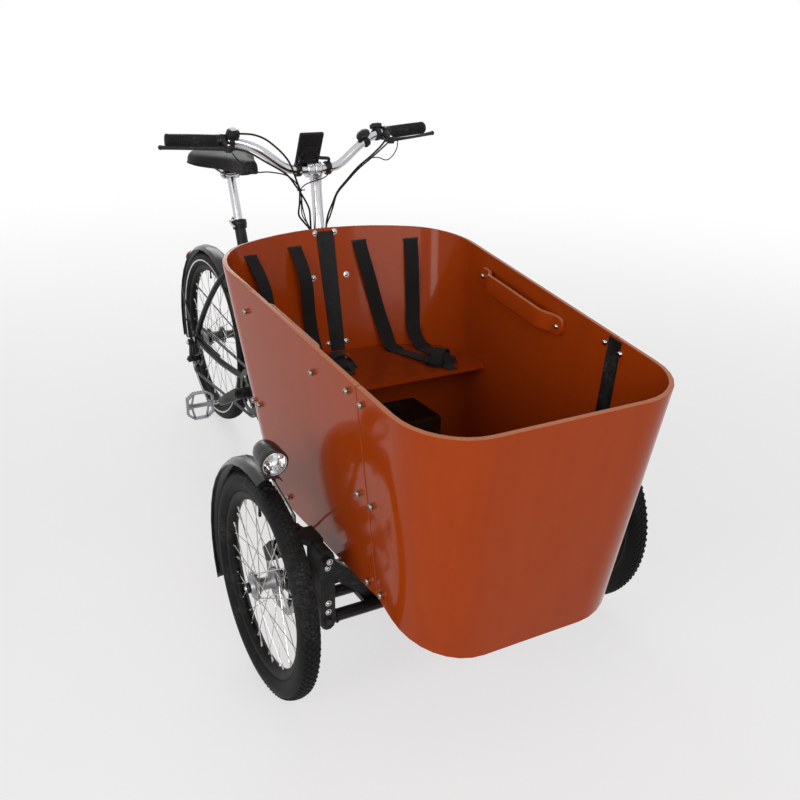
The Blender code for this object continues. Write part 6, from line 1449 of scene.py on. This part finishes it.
# Axle hardware
def axle_hardware():
    """Nuts, pivot screws and cover rings on the front axle and the frame."""
    for side, word in SIDES:
        maker = Maker("black_alloy")
        hub_end = Vector((side * (HALF_TRACK + 0.0372), 0, FRONT_WHEEL["z"]))
        maker.lathe(mm((0, 0), (11.8, 0), (11.8, 4), (10, 6.2), (0, 7.2)),
                    aim(hub_end - mm3(side * 0.6, 0, 0), (side, 0, 0)), 28)
        maker.bolt(hub_end + mm3(side * 6.2, 0, 0), (side, 0, 0), 0.0045, 1.2)
        piece(maker, "front_axle_cap_" + word, "front_wheel_body_" + word)

        maker = Maker("powder_coat")
        for z in (0.338, 0.318, 0.208, 0.23):
            place, out = touch("kingpin_carrier_" + word, (side * 0.323, -0.3, z), (0, 1, 0))
            maker.bolt(place + out * 0.001, out, 0.0052)
        for y in (-0.085, 0):
            maker.lathe(mm((14.1, 0), (16.8, 1.2), (16.8, 4.2), (14.1, 5.6)),
                        aim(Vector((side * 0.296, y, 0.182)), (side, 0, 0)), 28, closed=True)
        piece(maker, "axle_screws_" + word, "trike_body")

        maker = Maker("bright_steel")
        caliper = mm3(side * 390.5, 44.2, 303)
        for reach in (-0.016, 0.016):
            place = caliper + Vector((-side * 0.0155, reach * 0.75, reach * 0.66))
            maker.bolt(place, (-side, 0, 0), 0.0048, 1.2)
        piece(maker, "caliper_screws_" + word, "knuckle_body_" + word)


# Chain, gears, cranks and pedals
GUIDE, TENSION = (1.548, 0.224), (1.602, 0.176)
# Each wheel of the chain: its centre, its radius and which way the chain turns on it
CHAIN_WHEELS = ((*MOTOR, 0.081, -1), (WHEELBASE, REAR_WHEEL["z"], 0.045, -1),
                (*GUIDE, 0.027, 1), (*TENSION, 0.027, -1))


def leaving(first, second):
    """The angles at which a taut chain leaves one wheel and meets the next."""
    reach = hypot(second[0] - first[0], second[1] - first[1])
    heading = atan2(second[1] - first[1], second[0] - first[0])
    bend = pi / 2 - acos((first[3] * first[2] - second[3] * second[2]) / reach)
    leave = heading + bend
    return leave - first[3] * pi / 2, leave - second[3] * pi / 2


def chain_line():
    """Close-set places along the whole loop."""
    count = len(CHAIN_WHEELS)
    angles = [leaving(CHAIN_WHEELS[i], CHAIN_WHEELS[(i + 1) % count]) for i in range(count)]
    corners = []
    for index, (y, z, radius, turn) in enumerate(CHAIN_WHEELS):
        enter, leave = angles[index - 1][1], angles[index][0]
        sweep = (leave - enter) * turn % (2 * pi)
        steps = max(2, ceil(sweep / radians(3)))
        corners += arc((y, z), radius, enter, enter + turn * sweep, steps)
    line = []
    for index, first in enumerate(corners):
        second = corners[(index + 1) % len(corners)]
        steps = max(1, ceil(hypot(second[0] - first[0], second[1] - first[1]) / 0.002))
        for step in range(steps):
            share = step / steps
            line.append(Vector((first[0] + (second[0] - first[0]) * share,
                                first[1] + (second[1] - first[1]) * share)))
    return line


def chain():
    """Every link of the chain: inner and outer plates, rollers and pin heads."""
    line = chain_line()
    lengths = [0]
    for index, first in enumerate(line):
        lengths.append(lengths[-1] + (line[(index + 1) % len(line)] - first).length)
    count = round(lengths[-1] / PITCH / 2) * 2
    pitch = lengths[-1] / count
    pins, cursor = [], 0
    for index in range(count):
        target = index * pitch
        while lengths[cursor + 1] < target:
            cursor += 1
        share = (target - lengths[cursor]) / (lengths[cursor + 1] - lengths[cursor])
        pins.append(line[cursor].lerp(line[(cursor + 1) % len(line)], share))
    maker = Maker("cast_grey")
    for index, first in enumerate(pins):
        second = pins[(index + 1) % count]
        run = second - first
        heading = atan2(run.y, run.x)
        waist = (run.length / 2, 0.003)
        outline = [(waist[0], -waist[1])] + arc((run.length, 0), 0.004, -1.2, 1.2, 6)
        outline += [(waist[0], waist[1])] + arc((0, 0), 0.004, pi - 1.2, pi + 1.2, 6)
        plane = side_plane(CHAIN_X, first.x, first.y) @ turned(heading)
        spread = 0.0031 if index % 2 else 0.002
        for way in (-1, 1):
            maker.plate([outline], 0.0009, plane @ Matrix.Translation((0, 0, way * spread)),
                        "dark_steel")
        maker.lathe(mm((0, -1.5), (3.7, -1.5), (3.7, 1.5), (0, 1.5)), plane, 10)
        for way in (-1, 1):
            head = plane @ shift(0, 0, way * 3.6)
            maker.lathe(mm((0, -0.5), (1.8, -0.5), (1.8, 0.3), (0, 0.5)), head, 8)
    piece(maker, "roller_chain", "trike_body", ["chain"])


def toothed(radius, teeth, depth):
    """A sprocket's outline, each tooth drawn with four points."""
    outline = []
    for index in range(teeth * 4):
        reach = radius - depth * (0, 0.7, 1, 0.7)[index % 4]
        angle = 2 * pi * index / teeth / 4
        outline.append((reach * cos(angle), reach * sin(angle)))
    return outline


def side_plane(x, y, z):
    """A matrix at a place that turns a drawing's X and Y into Y and Z."""
    return (Matrix.Translation((x, y, z))
            @ Matrix(((0, 0, 1, 0), (1, 0, 0, 0), (0, 1, 0, 0), (0, 0, 0, 1))))


def derailleur(gauge):
    """Both knuckles, the sprung links, the pulleys in their cage and the cable's loop."""
    maker = Maker("black_alloy")
    guide, tension = Vector(GUIDE), Vector(TENSION)
    body_x = -0.0907
    hanger = Vector((body_x, 1.5346, 0.2924))
    cage_run = tension - guide
    heading = atan2(cage_run.y, cage_run.x)
    for way in (-1, 1):
        x = CHAIN_X + way * 0.0056
        plane = side_plane(x, guide.x, guide.y) @ turned(heading)
        length = cage_run.length
        outline = (arc((0, 0), 0.0135, radians(70), radians(290), 12) + [(length * 0.5, -0.0088)]
                   + arc((length, 0), 0.012, -radians(100), radians(100), 10)
                   + [(length * 0.5, 0.0088)])
        window = [(length * 0.36, 0.0045), (length * 0.36, -0.0045), (length * 0.64, -0.0045),
                  (length * 0.64, 0.0045)]
        maker.plate([outline, window[::-1]], 0.0018, plane)
    for y, z in (guide, tension):
        plane = side_plane(CHAIN_X, y, z)
        holes = [ring((0.0125 * cos(t), 0.0125 * sin(t)), 0.003, 10)[::-1]
                 for t in (2 * pi * k / 5 for k in range(5))]
        maker.plate([toothed(0.0218, 11, 0.0038), *holes], 0.0024, plane, "matt_moulding")
        maker.lathe(mm((0, -6.2), (5.5, -6.2), (5.5, 6.2), (0, 6.2)), plane, 20, "dark_steel")
        maker.bolt((CHAIN_X - 0.0066, y, z), (-1, 0, 0), 0.004, 1.15)
    maker.lathe(mm((0, -11), (10, -11), (11.2, -9.2), (11.2, 12), (9.8, 14.5), (0, 15)),
                aim(hanger, (1, 0, 0)), 28)
    maker.bolt(hanger - mm3(11.2, 0, 0), (-1, 0, 0), 0.0062, 1.2)
    knuckle = Vector((body_x, guide.x, guide.y))
    maker.lathe(mm((0, -10), (10.5, -10), (11.8, -8), (11.8, 12), (10.5, 25), (9, 28.2),
                   (0, 28.2)), aim(knuckle, (1, 0, 0)), 28)
    maker.bolt(knuckle - mm3(10.4, 0, 0), (-1, 0, 0), 0.0052, 1.2, "dark_steel")
    link_run = knuckle - hanger
    across = Vector((0, -link_run.z, link_run.y)).normalized()
    for way in (-1, 1):
        path = [hanger + across * way * 0.0068, (hanger + knuckle) / 2 + across * way * 0.0074,
                knuckle + across * way * 0.0068]
        maker.tube(spline(path, 8), 0.0042)
    barrel = hanger + mm3(0, 13, 4)
    maker.lathe(mm((0, 0), (4.6, 0), (4.6, 9), (3.4, 11), (3.4, 15), (0, 15)),
                aim(barrel, (0, 1, 0.25)), 16, "bright_steel")
    start = barrel + mm3(0, 14, 3.5)
    loop = [start, start + mm3(0, 20, 6), start + mm3(2, 40, 26), start + mm3(6, 36, 56),
            start + mm3(10, 6, 66), mm3(-88, 1520, 352), mm3(-86, 1480, 338), mm3(-64, 1300, 308)]
    maker.tube(spline(loop, 60), gauge / 2, 10, finish="soft_rubber")
    piece(maker, "rear_derailleur", "trike_body", ["derailleur"])


def crank_place(side):
    """Where a crank's outer end stands, as Y and Z."""
    return (MOTOR[0] - side * CRANK_LENGTH * cos(CRANK_ANGLE),
            MOTOR[1] - side * CRANK_LENGTH * sin(CRANK_ANGLE))


def crank_fittings():
    """Crank bolts with their caps, chainring screws, and the spindle ends."""
    maker = Maker("bright_steel")
    for side in (-1, 1):
        face = side * (0.089 + 0.015)
        maker.bolt(Vector((face, MOTOR[0], MOTOR[1])), (side, 0, 0), 0.0085, 1.25, "dark_steel")
        y, z = crank_place(side)
        inner = side * 0.089
        maker.lathe(mm((0, 0), (6.2, 0), (5.8, 1.2), (0, 1.4)),
                    aim(Vector((inner, y, z)), (-side, 0, 0)), 6)
    for index in range(4):
        angle = CRANK_ANGLE + 2 * pi * index / 4
        place = Vector((CHAIN_X - 0.0016, MOTOR[0] + 0.05 * cos(angle),
                        MOTOR[1] + 0.05 * sin(angle)))
        maker.bolt(place, (-1, 0, 0), 0.0046, 1.15)
    piece(maker, "crank_fittings", "cranks")


def pedal(side, word):
    """An open cage with a toothed edge, on a barrel with four spider legs."""
    maker = Maker("cast_grey")
    y, z = crank_place(side)
    x = side * 0.172
    half_w, half_l, rim = 0.046, 0.048, 0.0058
    shares = ((-1, 0.62), (-0.5, 1), (0.5, 1), (1, 0.62), (1, -0.62), (0.5, -1),
              (-0.5, -1), (-1, -0.62))
    outer = [(half_w * u, half_l * v) for u, v in shares]
    inner = [((half_w - rim) * u, (half_l - rim) * v) for u, v in shares]
    teeth = []
    for first, second in zip(outer, outer[1:] + outer[:1]):
        length = hypot(second[0] - first[0], second[1] - first[1])
        count = max(2, round(length / 0.0085))
        for step in range(count):
            for part, depth in ((0, 0), (0.28, 0), (0.42, 0.0022), (0.86, 0.0022)):
                share = (step + part) / count
                place = Vector((first[0] + (second[0] - first[0]) * share,
                                first[1] + (second[1] - first[1]) * share))
                teeth.append(tuple(place * (1 - depth / max(place.length, TINY))))
    plane = Matrix.Translation((x, y, z)) @ turned(pi / 2, "X")
    for way in (-1, 1):
        maker.plate([teeth, inner[::-1]], 0.0022, plane @ shift(0, 0, way * 7.8))
    wall = [(u * 0.955, v * 0.955) for u, v in outer]
    maker.plate([wall, inner[::-1]], 0.0142, plane)
    barrel = aim(Vector((x, y, z)), (side, 0, 0))
    maker.lathe(mm((0, -42), (9.8, -42), (9.8, -30), (7.4, -24), (7.4, 24), (9.8, 30), (9.8, 42),
                   (0, 42.5)), barrel, 24)
    for way in (-1, 1):
        for up in (-1, 1):
            leg = [Vector((x + way * 0.028, y, z + up * 0.006)),
                   Vector((x + way * 0.024, y, z + up * 0.024)),
                   Vector((x + way * 0.019, y, z + up * 0.0425))]
            maker.tube(spline(leg, 8), 0.004, 10, 0.8)
    maker.tube([Vector((x - side * 0.067, y, z)), Vector((x - side * 0.04, y, z))], 0.0048, 16,
               finish="bright_steel")
    maker.nut(Vector((x - side * 0.056, y, z)), (side, 0, 0), 0.0074, 0.006)
    piece(maker, "cage_pedal_" + word, "pedal_body_" + word, ["pedal_" + word])


def rear_fittings():
    """Axle nuts and the motor's cover screws."""
    maker = Maker("bright_steel")
    for side in (-1, 1):
        end = Vector((side * 0.079, WHEELBASE, REAR_WHEEL["z"]))
        maker.nut(end - mm3(side * 3, 0, 0), (side, 0, 0), 0.0092, 0.0085)
        for angle in (30, 100, 170, 235, 300):
            y = MOTOR[0] + 0.046 * cos(radians(angle))
            z = MOTOR[1] + 0.046 * sin(radians(angle))
            place, out = touch("motor", (side * 0.2, y, z), (-side, 0, 0))
            maker.bolt(place + out * 0.0005, out, 0.0034, 1.2, "dark_steel")
    piece(maker, "rear_fittings", "trike_body")


# Finishes of the packed nodes
# A name that ends with _ stands for its left and its right node
NODE_FINISHES = {
    "lacquered_ply": ("box_front", "box_side_", "handle_"),
    "lacquered_board": ("box_floor", "bench"),
    "powder_coat": ("axle_brace_", "front_frame", "kingpin_carrier_", "knuckle_", "lower_arm_",
                    "rear_frame", "seam_strip_back", "seam_strip_", "steering_column",
                    "derailleur"),
    "gloss_moulding": ("front_mudguard_", "rear_mudguard", "headlamp_"),
    "battery_in_painted_shade": ("battery",),
    "matt_moulding": ("motor", "bar_cable_", "brake_lever_", "display"),
    "saddle_cover": ("saddle",),
    "polished_silver": ("seat_post", "stem", "handlebar"),
    "black_alloy": ("crankset", "front_wheel_", "rear_wheel"),
    "dark_steel": ("tie_rod", "drag_link", "rear_axle", "chain"),
    "cast_grey": ("pedal_",),
    "tyre_rubber": ("front_tyre_", "rear_tyre"),
    "soft_rubber": ("grip_",),
    "webbing": ("harness_",),
    "red_lens": ("tail_lamp",),
}


def smoothing_group():
    """Geometry nodes that weld a node's faces and shade its gentle edges smooth."""
    tree = bpy.data.node_groups.new("weld_and_smooth", "GeometryNodeTree")
    tree.interface.new_socket("Geometry", in_out="INPUT", socket_type="NodeSocketGeometry")
    tree.interface.new_socket("Geometry", in_out="OUTPUT", socket_type="NodeSocketGeometry")
    sheet = Sheet(tree)
    given = sheet.add("NodeGroupInput").outputs[0]
    welded = sheet.add("GeometryNodeMergeByDistance", {"Geometry": given, "Distance": 0.00001})
    angle = sheet.add("GeometryNodeInputMeshEdgeAngle").outputs["Unsigned Angle"]
    sharp = sheet.add("FunctionNodeCompare", {"A": angle, "B": SMOOTH_LIMIT}, data_type="FLOAT",
                      operation="GREATER_THAN").outputs[0]
    smooth = sheet.add("GeometryNodeSetMeshNormal", {
        "Mesh": welded.outputs[0], "Remove Custom": True, "Edge Sharpness": sharp},
        mode="SHARPNESS")
    sheet.add("NodeGroupOutput", {0: smooth.outputs[0]})
    return tree


def finish_nodes():
    tree = smoothing_group()
    for finish, names in NODE_FINISHES.items():
        both = [stem + word for stem in names if stem.endswith("_") for _, word in SIDES]
        for name in both + [name for name in names if not name.endswith("_")]:
            thing = NODES[name]
            for slot in thing.material_slots:
                slot.material = FINISHES[finish]
            welding = thing.modifiers.new("weld_and_smooth", "NODES")
            welding.node_group = tree
            weighted = thing.modifiers.new("even_shading", "WEIGHTED_NORMAL")
            weighted.keep_sharp = True


# Stage
def stage(settings):
    """A pale floor that fades to white, soft lamps and the camera."""
    sheet = Finish("studio_floor", Roughness=0.55)
    place = sheet.place()
    marks = sheet.noise(place, 1.3, 6, 0.6)
    fine = sheet.noise(place, 60, 3)
    colour = opaque(settings.floor)
    darker = opaque(tuple(part * 0.93 for part in settings.floor))
    sheet.join(Base_Color=sheet.mix(sheet.span(marks, 0.45, 0.75), colour, darker),
               Roughness=sheet.span(fine, 0.3, 0.7, 0.5, 0.62))
    sheet.bump(fine, 0.04)
    distance = sheet.add("ShaderNodeVectorMath", {0: place}, operation="LENGTH").outputs["Value"]
    fade = sheet.add("ShaderNodeMapRange", {"Value": distance, "From Min": 0.4, "From Max": 6,
                     "To Min": 0.6}, interpolation_type="SMOOTHERSTEP").outputs[0]
    white = sheet.add("ShaderNodeEmission", {"Strength": 1})
    blend = sheet.add("ShaderNodeMixShader", {0: sheet.times(fade, sheet.seen()),
                      1: sheet.shader.outputs[0], 2: white.outputs[0]})
    end = next(node for node in sheet.tree.nodes if node.type == "OUTPUT_MATERIAL")
    sheet.tree.links.new(blend.outputs[0], end.inputs["Surface"])

    work = bmesh.new()
    bmesh.ops.create_grid(work, x_segments=24, y_segments=24, size=30)
    mesh = bpy.data.meshes.new("studio_floor")
    work.to_mesh(mesh)
    work.free()
    mesh.materials.append(FINISHES["studio_floor"])
    floor = bpy.data.objects.new("studio_floor", mesh)
    floor.location.z = -0.0004
    show(floor)

    world = bpy.context.scene.world or bpy.data.worlds.new("studio")
    bpy.context.scene.world = world
    world.use_nodes = True
    sky = Sheet(world.node_tree)
    world.node_tree.nodes.clear()
    height = sky.add("ShaderNodeSeparateXYZ", {
        0: sky.add("ShaderNodeTexCoord").outputs["Generated"]}).outputs["Z"]
    even = sky.add("ShaderNodeBackground", {"Strength": sky.span(
        height, 0, 0.9, settings.sky, settings.sky * 0.3)})
    plain = sky.add("ShaderNodeBackground", {"Strength": 1})
    for background in (even, plain):
        background.inputs["Color"].default_value = (1, 1, 1, 1)
    both = sky.add("ShaderNodeMixShader", {0: sky.seen(), 1: even.outputs[0], 2: plain.outputs[0]})
    sky.add("ShaderNodeOutputWorld", {0: both.outputs[0]})

    for name, place, target, size, share in (
            ("front_lamp", (-0.6, -4.2, 2.3), (0, 0, 0.5), (3.2, 1.8), 1),
            ("rear_lamp", (0.8, 3.4, 2.6), (0, 0.3, 0.5), (2.4, 1.8), 0.6),
            ("window_lamp", (-3.75, -2.55, 1.9), (0.27, -0.2, 0.75), (1.1, 2.4), 0.95)):
        data = bpy.data.lights.new(name, "AREA")
        data.shape = "RECTANGLE"
        data.size, data.size_y = size
        data.energy = settings.lamp_power * share
        lamp = bpy.data.objects.new(name, data)
        lamp.location = place
        lamp.rotation_euler = (Vector(target) - Vector(place)).to_track_quat("-Z", "Y").to_euler()
        show(lamp)

    data = bpy.data.cameras.new("studio_camera")
    data.lens = settings.lens
    data.sensor_width = 36
    data.clip_start, data.clip_end = 0.05, 100
    camera = bpy.data.objects.new("studio_camera", data)
    turn, lift = settings.azimuth, settings.elevation
    back = Vector((sin(turn) * cos(lift), -cos(turn) * cos(lift), sin(lift)))
    right = (-back).cross(Vector((0, 0, 1))).normalized()
    right = Matrix.Rotation(settings.roll, 3, back) @ right
    up = back.cross(right)
    camera.matrix_world = Matrix.Translation(settings.camera_place) @ Matrix(
        (right, up, back)).transposed().to_4x4()
    show(camera)
    bpy.context.scene.camera = camera
    bpy.context.scene.view_settings.view_transform = "Standard"


# The add-on
class WheelSettings(bpy.types.PropertyGroup):
    """Gauges of the wheels and tyres."""
    spoke_gauge: bpy.props.FloatProperty(
        name="Spoke gauge", description="Thickness of a spoke", **A_LENGTH,
        min=0.001, default=0.002)
    tread_height: bpy.props.FloatProperty(
        name="Tread", description="How far the tread blocks stand off the carcass",
        **A_LENGTH, min=0.0005, default=0.0022)


class FittingSettings(bpy.types.PropertyGroup):
    """Sizes of the screws, straps and cables."""
    bolt_radius: bpy.props.FloatProperty(
        name="Box screws", description="Radius of a screw head on the box",
        **A_LENGTH, min=0.002, default=0.006)
    strap_width: bpy.props.FloatProperty(
        name="Strap width", description="Width of the harness webbing",
        **A_LENGTH, min=0.01, default=0.038)
    strap_thickness: bpy.props.FloatProperty(
        name="Strap thickness", description="Thickness of the harness webbing",
        **A_LENGTH, min=0.0005, default=0.0022)
    cable_gauge: bpy.props.FloatProperty(
        name="Cables", description="Outside diameter of a cable or hose",
        **A_LENGTH, min=0.001, default=0.005)


class TricycleFinishes(bpy.types.Operator):
    """Makes every finish and puts them on the packed nodes"""
    bl_idname = "tricycle.finishes"
    bl_label = "Finishes"

    def execute(self, context):
        make_finishes(context.scene.tricycle_finish)
        finish_nodes()
        return {"FINISHED"}


class TricycleWheels(bpy.types.Operator):
    """Laces the three wheels"""
    bl_idname = "tricycle.wheels"
    bl_label = "Laced wheels"

    def execute(self, context):
        gauge = context.scene.tricycle_wheels.spoke_gauge
        for side, word in SIDES:
            front_wheel(side, word, gauge)
        rear_wheel(gauge)
        return {"FINISHED"}


class TricycleTyres(bpy.types.Operator):
    """Moulds the three tyres with their tread"""
    bl_idname = "tricycle.tyres"
    bl_label = "Tyres"

    def execute(self, context):
        tread = context.scene.tricycle_wheels.tread_height
        for side, word in SIDES:
            tyre("treaded_tyre_" + word, (side * HALF_TRACK, 0, FRONT_WHEEL["z"]), side,
                 FRONT_WHEEL["radius"], FRONT_WHEEL["rim"], "front_wheel_body_" + word,
                 "front_tyre_" + word, tread, False)
        tyre("treaded_tyre_rear", (0, WHEELBASE, REAR_WHEEL["z"]), 1, REAR_WHEEL["radius"],
             REAR_WHEEL["rim"], "rear_wheel_body", "rear_tyre", tread, True)
        return {"FINISHED"}


class TricycleBoxScrews(bpy.types.Operator):
    """Sets the screws of the box and its grab bars"""
    bl_idname = "tricycle.box_screws"
    bl_label = "Box screws"

    def execute(self, context):
        radius = context.scene.tricycle_fittings.bolt_radius
        box_bolts(radius)
        for side, word in SIDES:
            grab_bar(side, word, radius)
        return {"FINISHED"}


class TricycleHarness(bpy.types.Operator):
    """Lays the shoulder straps and their buckles"""
    bl_idname = "tricycle.harness"
    bl_label = "Harness"

    def execute(self, context):
        sizes = context.scene.tricycle_fittings
        for _, word in SIDES:
            harness(word, sizes.strap_width, sizes.strap_thickness)
        return {"FINISHED"}


class TricycleSaddle(bpy.types.Operator):
    """Pads the saddle and fits its clamps"""
    bl_idname = "tricycle.saddle"
    bl_label = "Saddle"

    def execute(self, context):
        saddle()
        seat_clamps()
        return {"FINISHED"}


class TricycleHandlebar(bpy.types.Operator):
    """Builds the handlebar, stem, grips and brake levers"""
    bl_idname = "tricycle.handlebar"
    bl_label = "Handlebar"

    def execute(self, context):
        handlebar()
        stem()
        for side, word in SIDES:
            grip(side, word)
            brake_lever(side, word)
        return {"FINISHED"}


class TricycleControls(bpy.types.Operator):
    """Builds the display and the controls on the bar"""
    bl_idname = "tricycle.controls"
    bl_label = "Display and controls"

    def execute(self, context):
        display()
        bar_controls()
        return {"FINISHED"}


class TricycleCables(bpy.types.Operator):
    """Runs the cables and the brake hoses"""
    bl_idname = "tricycle.cables"
    bl_label = "Cables and hoses"

    def execute(self, context):
        gauge = context.scene.tricycle_fittings.cable_gauge
        bar_cables(gauge)
        front_hoses(gauge)
        return {"FINISHED"}


class TricycleLamps(bpy.types.Operator):
    """Builds the two headlamps and the tail lamp"""
    bl_idname = "tricycle.lamps"
    bl_label = "Lamps"

    def execute(self, context):
        for side, word in SIDES:
            headlamp(side, word)
        tail_lamp()
        return {"FINISHED"}


class TricycleAxle(bpy.types.Operator):
    """Adds the axle caps, screws and cover rings"""
    bl_idname = "tricycle.axle"
    bl_label = "Axle hardware"

    def execute(self, context):
        axle_hardware()
        rear_fittings()
        return {"FINISHED"}


class TricycleDrive(bpy.types.Operator):
    """Builds the chain, the derailleur, the crank fittings and the pedals"""
    bl_idname = "tricycle.drive"
    bl_label = "Drive"

    def execute(self, context):
        chain()
        derailleur(context.scene.tricycle_fittings.cable_gauge)
        crank_fittings()
        for side, word in SIDES:
            pedal(side, word)
        return {"FINISHED"}


class TricycleStage(bpy.types.Operator):
    """Sets the floor, the lamps and the camera"""
    bl_idname = "tricycle.stage"
    bl_label = "Stage"

    def execute(self, context):
        stage(context.scene.tricycle_stage)
        return {"FINISHED"}


SETTINGS = (("tricycle_finish", FinishSettings), ("tricycle_wheels", WheelSettings),
            ("tricycle_fittings", FittingSettings), ("tricycle_stage", StageSettings))
STEPS = (TricycleFinishes, TricycleWheels, TricycleTyres, TricycleBoxScrews, TricycleHarness,
         TricycleSaddle, TricycleHandlebar, TricycleControls, TricycleCables, TricycleLamps,
         TricycleAxle, TricycleDrive, TricycleStage)


class TricyclePanel(bpy.types.Panel):
    """Lists the sizes, the colours and the steps that build the tricycle"""
    bl_idname = "VIEW3D_PT_tricycle"
    bl_label = "Cargo tricycle"
    bl_space_type = "VIEW_3D"
    bl_region_type = "UI"
    bl_category = "Tricycle"

    def draw(self, context):
        for attribute, group in SETTINGS:
            box = self.layout.box()
            box.label(text=group.__doc__)
            for key in group.__annotations__:
                box.prop(getattr(context.scene, attribute), key)
        for step in STEPS:
            self.layout.operator(step.bl_idname)


def register():
    for _, group in SETTINGS:
        bpy.utils.register_class(group)
    for step in STEPS:
        bpy.utils.register_class(step)
    bpy.utils.register_class(TricyclePanel)
    for attribute, group in SETTINGS:
        setattr(bpy.types.Scene, attribute, bpy.props.PointerProperty(type=group))


def unregister():
    for attribute, _ in SETTINGS:
        delattr(bpy.types.Scene, attribute)
    bpy.utils.unregister_class(TricyclePanel)
    for step in reversed(STEPS):
        bpy.utils.unregister_class(step)
    for _, group in reversed(SETTINGS):
        bpy.utils.unregister_class(group)


def main():
    register()
    for step in STEPS:
        group, name = step.bl_idname.split(".")
        getattr(getattr(bpy.ops, group), name)()


if __name__ == "__main__":
    main()
